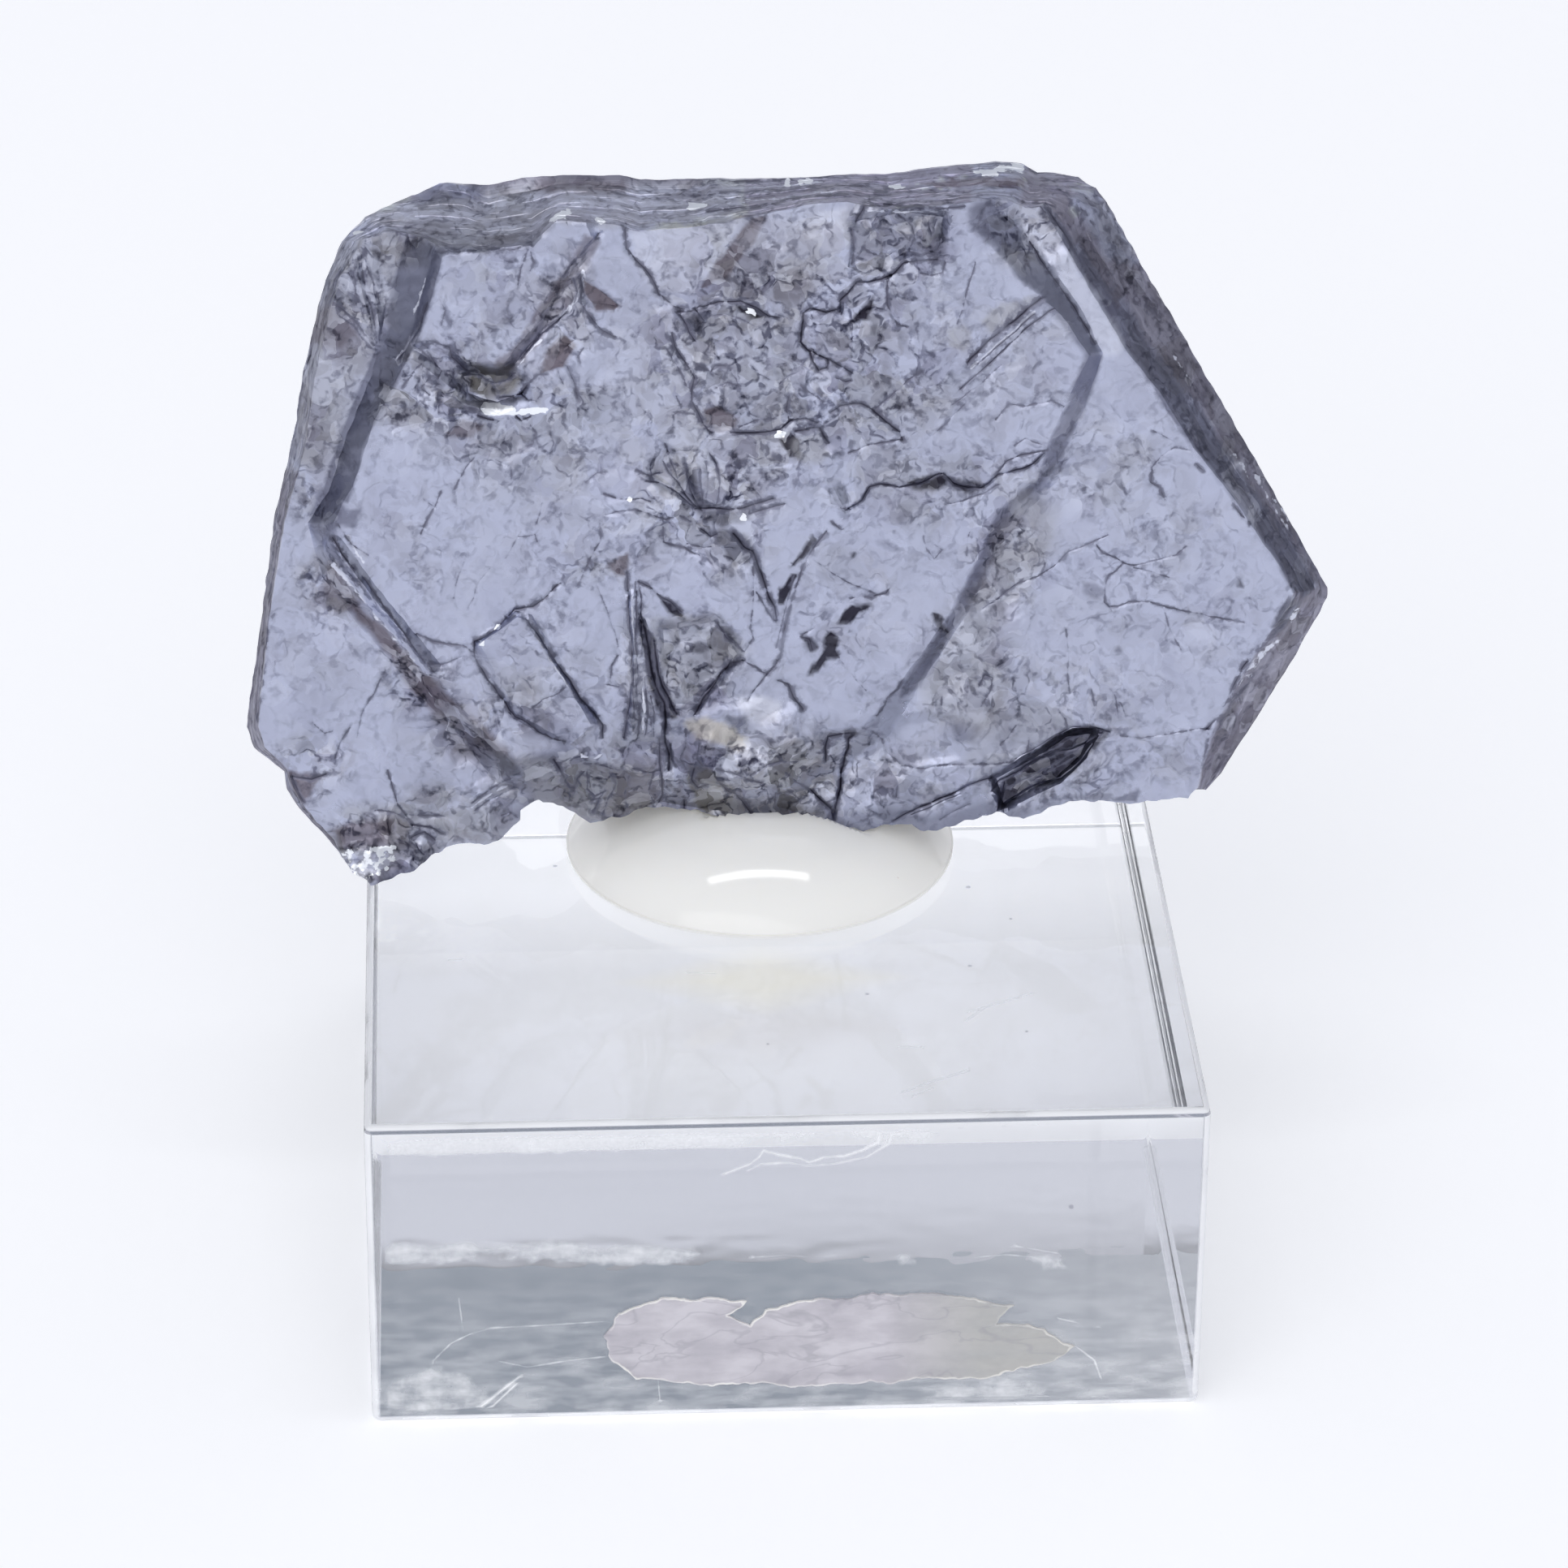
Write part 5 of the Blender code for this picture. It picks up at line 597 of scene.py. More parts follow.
    ("dark", 1.00, 0.06, ((6.2, 7.85), (6.5, 7.8), (6.5, 7.4), (6.75, 7.1), (6.4, 7.3))),
    ("dark", 0.70, 0.08, ((19.35, 8.25), (19.7, 8.0), (19.3, 7.3), (19.0, 6.85), (18.8, 7.1))),
    ("slate", 0.85, 0.06, ((13.0, 0.35), (13.9, 0.7), (13.8, 0.35))),
    ("slate", 0.60, 0.08, ((11.3, 0.5), (12.9, 0.6), (12.8, 0.35))),
    ("dark", 0.92, 0.10, ((9.3, 1.7), (10.1, 2.4), (11.2, 3.15), (12.0, 3.3), (12.8, 3.05), (12.3, 2.5),
     (11.6, 1.8), (10.9, 1.1), (9.7, 0.9), (8.8, 0.1), (8.7, 0.9))),
    ("light", 0.40, 0.20, ((9.3, 22.8), (9.8, 22.7), (10.5, 22.0), (11.5, 20.6), (12.1, 19.7), (12.9, 18.2),
     (12.8, 17.8), (12.3, 17.8), (11.3, 19.8), (10.4, 21.1), (9.5, 22.3))),
)

# Round spots: u, v, radius, tone, strength.
SPOTS = (
    (3.3, 10.2, 0.10, "dark", 0.85), (4.7, 11.1, 0.08, "slate", 0.7), (4.9, 11.6, 0.14, "slate", 0.35),
    (12.0, 8.6, 0.28, "slate", 0.6), (17.6, 8.8, 0.14, "dark", 0.8), (13.0, 6.2, 0.15, "slate", 0.75),
    (11.0, 13.4, 0.20, "slate", 0.55), (7.1, 18.5, 0.40, "olive", 0.6), (-14.1, 21.9, 0.15, "dark", 0.6),
    (-13.5, 22.55, 0.22, "slate", 0.8), (-11.9, 17.1, 0.22, "slate", 0.7), (13.9, 6.8, 0.08, "slate", 0.5),
    (0.9, 21.0, 0.45, "olive", 0.5), (-7.3, 20.4, 0.16, "light", 0.8), (3.05, 3.1, 0.16, "dark", 1.0),
    (-12.65, 18.2, 0.10, "light", 0.9), (10.2, 7.4, 0.10, "slate", 0.4), (17.3, 13.4, 0.18, "light", 0.7),
)

# How busy the face is: centre, half width, half height, strength.
BUSY = (
    (1.0, 18.0, 6.0, 5.2, 0.95), (4.6, 22.0, 2.2, 2.0, 1.00), (-11.6, 16.8, 2.8, 2.0, 0.95),
    (-8.6, 15.2, 4.2, 2.8, 0.65), (-9.5, 20.0, 2.6, 2.6, 0.40), (-7.2, 19.8, 1.0, 2.2, 0.95),
    (-2.6, 12.6, 2.6, 2.2, 1.00), (-1.2, 10.6, 1.6, 1.4, 0.90), (-2.5, 6.2, 1.7, 2.0, 1.00),
    (-6.0, 11.0, 3.4, 2.0, 0.40), (-4.7, 5.5, 0.8, 4.0, 0.80), (-2.0, 1.5, 8.6, 2.2, 1.00),
    (6.2, 12.8, 4.4, 1.6, 0.65), (3.2, 8.5, 2.2, 3.2, 0.30), (9.0, 17.5, 2.4, 3.0, 0.40),
    (8.8, 9.6, 1.6, 2.8, 0.75), (7.6, 5.6, 2.0, 2.6, 0.70), (11.0, 4.2, 4.0, 1.8, 0.50),
    (14.0, 9.0, 4.4, 4.0, 0.28), (12.0, 13.6, 2.6, 2.2, 0.40), (-15.2, 20.0, 1.6, 3.4, 0.95),
    (-16.5, 15.5, 1.2, 4.0, 0.70), (-15.8, 9.4, 1.4, 1.8, 0.85), (-13.0, 5.8, 1.4, 1.6, 0.90),
    (-11.0, 3.6, 1.6, 1.4, 0.95), (-14.5, -1.0, 2.4, 1.6, 1.00), (-16.8, 2.4, 1.4, 1.2, 0.80),
    (-11.4, 0.4, 2.6, 1.2, 0.75), (-16.8, 6.5, 1.8, 3.4, 0.25), (-8.0, 6.0, 2.4, 2.6, 0.30),
    (-9.0, 4.4, 1.4, 1.4, 0.75), (9.6, 22.4, 1.8, 1.4, 0.90), (-3.0, 21.6, 1.8, 1.4, 0.30),
    (10.5, 1.6, 3.4, 1.6, 0.50), (-13.5, 22.5, 2.0, 1.0, 0.90), (-12.2, 11.5, 2.4, 2.6, 0.30),
    (14.8, 2.2, 2.2, 1.4, 0.35),
)

# Small facets that flash, as painted glints in their colour: corners of each.
GLINTS = (
    ((-10.35, 16.05), (-10.2, 16.25), (-9.9, 16.2), (-9.2, 16.05), (-9.2, 15.85), (-9.8, 15.85),
     (-10.2, 15.85)),
    ((-9.05, 15.86), (-8.7, 16.02), (-8.0, 16.02), (-8.1, 15.9), (-8.6, 15.84)),
    ((-7.8, 23.05), (-7.5, 23.35), (-7.0, 23.5), (-7.0, 23.33), (-7.4, 23.18)),
    ((-6.1, 23.15), (-5.95, 23.2), (-5.88, 23.0), (-6.0, 22.93)),
    ((-2.9, 23.55), (-2.5, 23.65), (-2.1, 23.62), (-2.4, 23.5), (-2.8, 23.43)),
    ((0.65, 24.45), (0.8, 24.52), (0.87, 24.3), (0.7, 24.28)),
    ((1.2, 24.5), (1.7, 24.5), (1.7, 24.36), (1.25, 24.33)),
    ((4.4, 24.3), (4.6, 24.2), (5.05, 24.2), (4.9, 24.08), (4.55, 24.1)),
    ((7.5, 24.7), (8.0, 24.75), (8.4, 24.85), (8.9, 24.95), (9.3, 24.9), (9.3, 24.6), (8.9, 24.75),
     (8.5, 24.7), (8.35, 24.5), (8.0, 24.52), (7.7, 24.6)),
    ((-9.85, 24.45), (-9.5, 24.4), (-9.4, 24.2), (-9.1, 24.2), (-9.15, 24.5), (-9.5, 24.55)),
    ((-0.65, 19.5), (-0.58, 19.66), (-0.45, 19.62), (-0.45, 19.48)),
    ((0.35, 14.85), (0.5, 15.0), (0.7, 14.95), (0.6, 14.82)),
    ((-5.07, 12.45), (-5.02, 12.57), (-4.94, 12.55), (-4.95, 12.44)),
    ((-0.92, 11.7), (-0.86, 11.83), (-0.77, 11.8), (-0.8, 11.68)),
    ((-10.02, 7.6), (-9.95, 7.74), (-9.85, 7.7), (-9.88, 7.58)),
    ((-10.6, 6.95), (-10.56, 7.1), (-10.48, 7.08), (-10.5, 6.94)),
    ((-14.85, 22.75), (-14.75, 22.9), (-14.6, 22.75), (-14.7, 22.6)),
)
# Where the horn is crumpled like foil and sparkles; its sparkle is painted into the colour as shaded and
# lit facets and glints.
SPARKLE = (
    (-15.9, -1.1), (-15.2, -1.0), (-14.0, -1.0), (-13.9, -1.5), (-14.5, -2.2), (-15.0, -2.4), (-15.6, -1.9),
)

SPARKLE_SHARE = 0.47
SPARKLE_EDGE = 0.3
SPARKLE_WAVE = (0.16, 0.4, 12.0)
# Its facets: width, seed and how many are dark; how strong the dark and the light ones are. The dark ones
# are painted shade and the light ones painted highlights.
SPARKLE_CELLS = (0.34, 5.0)
SPARKLE_DARK_PART = 0.35
SPARKLE_DARK = 0.9
SPARKLE_LIGHT = 0.4
GLINT_EDGE = 0.05

# Tones of the metal, as reflectances (red, green, blue).
TONES = {
    "clean": (0.490, 0.518, 0.662),
    "light": (0.755, 0.778, 0.890),
    "slate": (0.210, 0.220, 0.300),
    "side": (0.318, 0.314, 0.396),
    "brown": (0.165, 0.142, 0.172),
    "umber": (0.175, 0.168, 0.155),
    "olive": (0.380, 0.385, 0.425),
    "crack": (0.115, 0.115, 0.160),
    "dark": (0.040, 0.038, 0.058),
    "cream": (0.700, 0.650, 0.540),
    # flash: the bright tone of the painted glints
    "flash": (0.930, 0.955, 1.000),
}

# ---- relief of the back: areas as on the face; cracks with half width, depth, course ---
BACK_AREAS = (
    (-0.7, 0.50, 0.05, ((-19.0, 16.0), (-9.0, 25.5), (-2.0, 25.5), (-6.5, 17.0), (-13.0, 12.5),
     (-20.5, 11.0))),
    (-0.5, 0.45, 0.05, ((22.0, 3.0), (10.0, 5.5), (7.5, 10.5), (12.5, 15.5), (15.0, 20.0), (22.0, 13.0))),
    (0.5, 0.40, 0.05, ((-4.0, 8.5), (1.5, 6.5), (5.5, 11.0), (3.0, 16.5), (-2.5, 15.0))),
    (-0.6, 0.60, 0.20, ((-12.0, -1.0), (-10.0, 3.0), (-3.0, 4.0), (3.5, 3.2), (8.0, 4.4), (11.0, -1.0))),
)
BACK_CRACKS = (
    (0.30, 0.35, ((-12.0, 6.0), (-8.5, 8.0), (-5.0, 8.2), (-4.0, 5.0))),
    (0.30, 0.35, ((3.0, 16.5), (5.5, 19.0), (6.0, 21.5))),
    (0.30, 0.30, ((5.5, 11.0), (8.0, 12.0), (10.5, 17.0), (10.0, 20.5))),
    (0.30, 0.30, ((-15.0, 9.0), (-11.0, 11.0), (-9.0, 14.5))),
)

# ---- the stage: papers, lamps and the light all round, in metres ---------------------
# Lamps: place, aim, size, power and colour.
KEY_LIGHT = ((-0.3, -1.1, 0.85), (0.0, 0.0, 0.0), (1.6, 1.6), 7.6, (1.0, 0.995, 0.99))
STRIP_LIGHT = ((-0.01, -0.05, 0.72), (-0.01, -0.0005, 0.0145), (0.5, 0.045), 0.42, (1.0, 1.0, 1.0))
# The light all round, dimmer in a part above the card behind. The part's edges, from
# where it starts to where it is full, as shares of a direction: up, ahead and aside.
WORLD_BRIGHT = (0.482, 0.494, 0.536)
WORLD_DIM = (0.26, 0.29, 0.34)
DIM_LOWER = (0.515, 0.535)
DIM_UPPER = (0.92, 0.75)
DIM_AHEAD = (0.15, 0.45)
DIM_ASIDE = (0.16, 0.05)
# The glowing floor paper: corners (x, y), level, tone and glow.
FLOOR_CORNERS = ((-1.2, -1.2), (1.2, 1.4))
FLOOR_LEVEL = -0.00005
FLOOR_TONE = (0.90, 0.905, 0.92)
FLOOR_GLOW = 0.335
# The paper under the block, a little smaller than it: its half width and the places
# where it glows more to the rear are shares of the block's side. Its glow is painted
# light, standing in for the light that the clear block lets through onto it.
UNDER_HALF = 0.495
UNDER_LEVEL = -0.00003
UNDER_GLOW = 0.26
UNDER_GLOW_RANGE = (-0.25, 0.5)
UNDER_REAR = 0.20
UNDER_REAR_RANGE = (0.15, 0.35)
# Its two faint patches, a painted ivory light from the putty and a painted shade: x, y and reach in
# millimetres, and tone.
PUTTY_LIGHT_PLACE = (0.0, 3.7, 2.8)
PUTTY_LIGHT_TONE = (0.95, 0.93, 0.84)
SHADE_PLACE = (0.0, 0.0, 3.4)
SHADE_TONE = (0.845, 0.84, 0.85)
PATCH_SQUASH = 0.45
# The grey card behind: half width, distance and height.
CARD_HALF = 0.9
CARD_BACK = 0.6
CARD_HEIGHT = 0.384
CARD_TONE = (0.65, 0.66, 0.705)
# It is darker along its top: how dark, how far down and between which x; then the
# same for the softer part to the right, and how strong that part is.
CARD_DIM = 0.45
CARD_FADE = 0.005
CARD_REACH = (0.09, 0.02)
CARD_SOFT = 0.011
CARD_SOFT_REACH = (0.0, 0.05)
CARD_SOFT_SHARE = 0.45

# ---- the block, its putty and its label ----------------------------------------
BLOCK_SIDE = 30.0
BLOCK_HEIGHT = 12.5
PUTTY_CENTRE = (-0.1, 4.6)
PUTTY_RADIUS = 7.35
PUTTY_HEIGHT = 3.2
PUTTY_LIFT = 0.32
PUTTY_GAP = 0.06
PUTTY_PROBE = 0.3
PUTTY_LEAST = 0.1
PUTTY_SHARP_ANGLE = math.radians(50.0)
PUTTY_RINGS = 60
PUTTY_SPOKES = 240
PUTTY_TONE = (0.955, 0.935, 0.865)
# Painted glow: the putty's emission, stronger towards its foot, stands in for the light that comes up into
# it through the block.
PUTTY_GLOW = 0.06
PUTTY_RISE = 0.17

# The film's outline on the block's front (x, z), its levels and its torn edge.
LABEL_OUTLINE = (
    (-6.6, 3.6), (-6.1, 4.6), (-4.6, 5.1), (-2.5, 5.1), (-1.4, 4.9), (-2.2, 4.4), (-1.4, 4.0), (-0.8, 4.6),
    (0.9, 4.9), (3.0, 5.1), (5.1, 5.1), (7.0, 4.8), (8.1, 4.5), (7.5, 3.8), (8.9, 3.6), (10.4, 2.6),
    (9.5, 2.0), (7.2, 1.4), (0.1, 1.3), (-3.8, 1.5), (-5.5, 1.8), (-6.4, 2.8),
)
LABEL_FRONT = 0.13
LABEL_BACK = 0.05
LABEL_STEP = 0.12
LABEL_RIM = 0.16
LABEL_PULLS = ((0.10, 0.32, 61.0), (0.14, 1.0, 63.0))

# ---- unevenness of the crystal; each wave has a height, a width (mm) and a seed ---------
FACE_WAVE = (0.06, 3.5, 1.0)
CRUMPLE_WAVES = ((0.10, 1.2, 2.0), (0.045, 0.45, 3.0))
GRAIN_WAVE = (0.006, 0.3, 6.0)
# Steps of single layers: height, how many to a wave, the wave's width and seed;
# on the face they are this low, as a share, where it isn't crumpled.
FACE_STEPS = (0.03, 7.0, 2.6, 4.0)
FACE_STEPS_LEAST = 0.35
BACK_WAVE = (0.08, 3.0, 5.0)
BACK_STEPS = (0.02, 6.0, 3.2, 9.0)
BACK_EDGE_WAVE = (0.35, 1.5, 8.0)
# Width and first seed of the roughness of areas, on the face and on the back.
AREA_WAVE = (0.9, 10.0)
BACK_AREA_WAVE = (0.9, 30.0)
LOWER_WAVE = (0.13, 0.40, 51.0)
# The layers of the side; their seeds go up by one from layer to layer.
LEVEL_WAVE = (0.02, 3.0, 60.0)
LAMINA_WAVES = ((0.035, 2.2, 20.0), (0.03, 0.5, 80.0))
LAMINA_CHIPS = (0.07, 1.7, 95.0)
LAMINA_LIP = 0.012
LEVEL_CURVE = 1.25
# How crumpled the face is where nothing else is said; patchiness of the crumple.
CRUMPLE_LEAST = 0.10
CRUMPLE_PATCHES = (0.30, 1.3, 13.0)
# Unevenness of tone, as amount, width and seed: of the side and of the back.
SIDE_STREAKS = (0.35, 0.8, 90.0)
SIDE_STRETCH = (0.4, 0.4)
SIDE_SHIFT = 3.7
BACK_CLEAN = 0.82
BACK_BLOTCHES = (0.25, 1.8, 70.0)
# How crumpled the side and the back are.
SIDE_CRUMPLE = 0.5
BACK_CRUMPLE = 0.3
# The upper side is lighter above this v and left of this u.
UPPER_START = 22.2
UPPER_END = 12.5
UPPER_LIFT = 0.75
LIGHTEST = 0.9
# How far the plateau's bevel turns slate: partly its rougher face, partly painted shade of the slope.
BEVEL_SHADE = 0.35

# Sideways pulls, as amount, pitch and seed: of the drawn shapes and of the stains.
SHAPE_PULLS = ((0.04, 0.45, 41.0), (0.03, 1.6, 43.0))
STAIN_PULLS = ((0.12, 0.35, 45.0), (0.16, 1.0, 47.0))
SHARP_ANGLE = math.radians(32.0)
# The share of a crack's depth that is cut, and how far its tone reaches, in half widths.
CRACK_RELIEF = 0.50
LINE_REACH = 2.7

# ---- wear of the block, millimetres on its front (x, z) and its top (x, y) ------
BLOCK_BEVEL = 0.28
WEAR_STEP = 0.35
SPECK_SIDES = 9
WAVE_HEIGHT = 0.0015
WAVE_PITCH = 1.2
WAVE_SEED = 15.0
BEVEL_SEGMENTS = 4
# Strokes: half width, strength, course.
FRONT_STROKES = (
    (0.13, 0.85, ((-2.18, 10.33), (-1.77, 10.51), (-1.37, 10.68), (-1.05, 10.96), (-0.89, 11.23),
     (-0.32, 11.03), (0.41, 10.86), (0.73, 10.69), (1.29, 10.90), (1.94, 10.92), (2.58, 11.14),
     (3.15, 11.45), (3.23, 11.88))),
    (0.11, 0.70, ((-1.45, 10.41), (-0.97, 10.67), (0.0, 10.70), (0.65, 10.54), (1.62, 10.61), (2.75, 10.86),
     (3.55, 11.40), (3.63, 11.77))),
    (0.08, 0.50, ((-12.75, 2.64), (-12.1, 3.37), (-11.46, 3.73), (-10.65, 3.99), (-9.04, 4.04),
     (-6.62, 4.16))),
    (0.13, 0.80, ((-11.05, 0.62), (-9.68, 1.85))),
    (0.10, 0.70, ((-10.65, 0.61), (-9.76, 1.58))),
    (0.08, 0.50, ((-11.78, 5.24), (-11.65, 3.92))),
    (0.08, 0.50, ((-10.49, 2.58), (-9.36, 2.27), (-7.91, 2.51), (-6.45, 2.66))),
    (0.09, 0.60, ((10.49, 2.58), (11.14, 2.0), (11.38, 1.25))),
    (0.07, 0.50, ((9.85, 3.82), (11.3, 3.41))),
    (0.07, 0.50, ((8.23, 6.96), (9.69, 6.64))),
    (0.07, 0.50, ((-4.68, 1.86), (-4.6, 0.73))),
    (0.16, 0.60, ((-14.3, 7.30), (-13.4, 7.42), (-12.6, 7.28), (-11.9, 7.45), (-11.0, 7.30), (-10.2, 7.38),
     (-9.3, 7.18), (-8.5, 7.30))),
    (0.14, 0.55, ((-9.6, 7.45), (-8.6, 7.36), (-7.8, 7.42), (-6.9, 7.20), (-6.1, 7.28), (-5.2, 7.05),
     (-4.3, 7.12), (-3.4, 6.92))),
    (0.12, 0.50, ((-13.6, 6.98), (-12.8, 7.08), (-12.0, 6.92), (-11.2, 7.06))),
    (0.11, 0.50, ((-7.8, 6.80), (-7.0, 6.92), (-6.2, 6.78), (-5.5, 6.86))),
    (0.08, 0.42, ((-1.2, 6.75), (-0.2, 6.82), (0.9, 6.70), (2.1, 6.80))),
    (0.08, 0.40, ((6.8, 6.55), (7.8, 6.62), (8.8, 6.5))),
)
# Scuffed areas: strength, width of the soft edge, corners.
FRONT_SCUFFS = (
    (0.50, 0.5, ((-14.36, 1.18), (-13.88, 1.92), (-12.75, 2.08), (-11.78, 1.86), (-10.97, 1.09),
     (-11.46, 0.5), (-14.2, 0.4))),
    (0.46, 0.3, ((-14.5, 7.0), (-14.2, 7.56), (-10.65, 7.65), (-7.42, 7.38), (-4.19, 7.29), (-3.23, 6.89),
     (-4.19, 6.63), (-8.23, 6.83), (-11.46, 7.01), (-13.88, 6.89))),
    (0.48, 0.3, ((8.88, 6.38), (9.44, 6.51), (10.01, 6.16), (9.52, 5.95))),
    (0.45, 0.3, ((3.71, 6.52), (4.12, 6.73), (4.52, 6.4), (4.12, 6.22))),
    (0.48, 0.5, ((5.49, 0.37), (5.97, 0.92), (7.59, 1.16), (9.36, 0.83), (8.72, 0.29))),
    (0.62, 0.30, ((-14.2, 12.1), (-14.0, 11.55), (-10.0, 11.45), (-6.0, 11.60), (-2.0, 11.50),
     (-1.6, 12.1))),
    (0.42, 0.40, ((-1.6, 12.1), (-2.0, 11.5), (1.0, 11.7), (5.2, 11.6), (5.4, 12.1))),
)
TOP_STROKES = (
    (0.14, 0.70, ((6.76, -8.47), (7.57, -7.46), (8.84, -6.87))),
    (0.10, 0.60, ((6.96, -7.79), (8.1, -7.2), (9.3, -6.6))),
    (0.13, 0.70, ((4.19, -13.29), (5.28, -12.61), (6.40, -12.04))),
    (0.09, 0.55, ((4.49, -13.58), (5.2, -13.1))),
    (0.10, 0.60, ((4.28, -10.2), (4.9, -10.2))),
    (0.08, 0.50, ((-3.2, -4.6), (-2.2, -4.7))),
    (0.10, 0.55, ((-11.9, -3.3), (-11.5, -3.3))),
)
# Small dark specks on the top: x, y, radius.
TOP_SPECKS = (
    (7.60, 1.36, 0.13), (-7.90, 3.60, 0.12), (7.21, -4.51, 0.11), (3.3, -6.4, 0.10), (9.0, -1.1, 0.08),
    (8.9, -9.3, 0.08), (-0.5, -9.8, 0.07),
)
FRONT_SPECKS = ((10.11, 8.59, 0.12),)


def place(u, v, w):
    """Points in metres at plate coordinates u, v and depth w (front is +)."""
    share = w / DEPTH_APEX[2]
    across = u + (DEPTH_APEX[0] - u) * share
    along = v + (DEPTH_APEX[1] - v) * share
    sine, cosine = math.sin(PLATE_LEAN), math.cos(PLATE_LEAN)
    ox, oy, oz = PLATE_ORIGIN
    return np.stack((ox + across, oy + along * sine - w * cosine,
                     oz + along * cosine + w * sine), axis=-1) * MM


def resample(points, step, closed=False):
    """Points about one step apart along a line, its corners kept."""
    corners = list(points) + ([points[0]] if closed else [])
    course = []
    for start, end in zip(corners[:-1], corners[1:]):
        start, end = np.array(start), np.array(end)
        pieces = max(1, round(np.linalg.norm((end - start)[:2]) / step))
        for piece in range(pieces):
            course.append(start + (end - start) * piece / pieces)
    if not closed:
        course.append(np.array(corners[-1]))
    return np.array(course)


def distance_to(points, line):
    """Distance of each point from a line of straight runs."""
    nearest = np.full(len(points), 1e9)
    for start, end in zip(line[:-1], line[1:]):
        run = end - start
        offset = points - start
        along = np.clip(offset @ run / max(run @ run, 1e-12), 0.0, 1.0)
        nearest = np.minimum(nearest, ((offset - along[:, None] * run) ** 2).sum(1))
    return np.sqrt(nearest)


def is_inside(points, corners):
    """Whether each point lies inside a closed outline."""
    hits = np.zeros(len(points), dtype=int)
    for (ua, va), (ub, vb) in zip(corners, np.roll(corners, -1, axis=0)):
        if va == vb:
            continue
        spans = (va > points[:, 1]) != (vb > points[:, 1])
        crossing = ua + (points[:, 1] - va) * (ub - ua) / (vb - va)
        hits += spans & (points[:, 0] < crossing)
    return hits % 2 == 1


def closed_line(corners):
    """An outline as an array that ends where it starts."""
    return np.array(list(corners) + [corners[0]], dtype=float)


def near(points, line, margin):
    """Numbers of the points that lie in the line's box, widened by a margin."""
    low, high = line.min(0) - margin, line.max(0) + margin
    return np.flatnonzero(((points >= low) & (points <= high)).all(1))


def ground_noise(points, pitch, seed):
    """Smooth noise between about -1 and 1, with features about pitch wide."""
    return np.array([noise.noise(Vector((u / pitch, v / pitch, seed))) for u, v in points])


def wave(points, height, pitch, seed, layer=0):
    """Noise with a height; layer after layer it has another seed."""
    return height * ground_noise(points, pitch, seed + layer)


def cell_noise(points, pitch, seed):
    """One value between 0 and 1 for each small angular cell."""
    values = np.empty(len(points))
    for number, (u, v) in enumerate(points):
        centre = noise.voronoi(Vector((u / pitch, v / pitch, seed)))[1][0]
        values[number] = 0.5 + 0.5 * noise.cell(centre * 17.0)
    return values


def area_share(points, corners, bevel):
    """1 inside an area, falling to 0 across the bevel around it."""
    outside = np.clip(1.0 - distance_to(points, closed_line(corners)) / bevel, 0.0, 1.0)
    return np.where(is_inside(points, np.array(corners)), 1.0, outside)


def line_share(points, course, width):
    """1 on a line, falling to 0 at its half width."""
    return np.clip(1.0 - distance_to(points, course) / width, 0.0, 1.0)


def plateau_share(points):
    """1 on the raised plateau, 0 on the terraces, between them on the bevel."""
    crest, foot = closed_line(PLATEAU_CREST), closed_line(PLATEAU_FOOT)
    to_crest, to_foot = distance_to(points, crest), distance_to(points, foot)
    share = to_foot / (to_crest + to_foot + 1e-9)
    share = np.where(is_inside(points, crest[:-1]), 1.0, share)
    return np.where(is_inside(points, foot[:-1]), share, 0.0)


def crumple_share(points):
    """How crumpled the face is at each point."""
    share = np.full(len(points), CRUMPLE_LEAST)
    for u, v, half_width, half_height, strength in BUSY:
        reach = np.hypot((points[:, 0] - u) / half_width, (points[:, 1] - v) / half_height)
        share = np.maximum(share, strength * np.clip(1.75 - 1.3 * reach, 0.0, 1.0))
    patchy = wave(points, *CRUMPLE_PATCHES) * np.minimum(1.0, 2.0 * share)
    return np.clip(share + patchy, 0.0, 1.0)


def face_height(points):
    """Height of the face over the plate's reference plane."""
    side = np.clip((points[:, 0] - LEVEL_START) / LEVEL_RUN, 0.0, 1.0)
    terrace = LEFT_LEVEL + (RIGHT_LEVEL - LEFT_LEVEL) * side
    height = terrace * (1.0 - plateau_share(points)) + wave(points, *FACE_WAVE)
    crumpled = crumple_share(points)
    for rise, pitch, seed in CRUMPLE_WAVES:
        height += rise * crumpled * ground_noise(points, pitch, seed)
    rise, *layers = FACE_STEPS
    height += rise * (FACE_STEPS_LEAST + crumpled) * np.floor(wave(points, *layers))
    height += wave(points, *GRAIN_WAVE)
    at = near(points, np.array(SPARKLE), SPARKLE_EDGE)
    rise, pitch, seed = SPARKLE_WAVE
    foil = ground_noise(points[at], pitch, seed)
    height[at] += rise * area_share(points[at], SPARKLE, SPARKLE_EDGE) * foil
    pitch, seed = AREA_WAVE
    for number, (rise, bevel, rough, corners) in enumerate(AREAS):
        at = near(points, np.array(corners), bevel)
        share = area_share(points[at], corners, bevel)
        height[at] += share * (rise + wave(points[at], rough, pitch, seed, number))
    for sign, lines in ((-CRACK_RELIEF, CRACKS), (1.0, FOLDS)):
        for line in lines:
            width, depth, course = line[0], line[1], np.array(line[-1])
            at = near(points, course, width)
            height[at] += sign * depth * line_share(points[at], course, width)
    return height


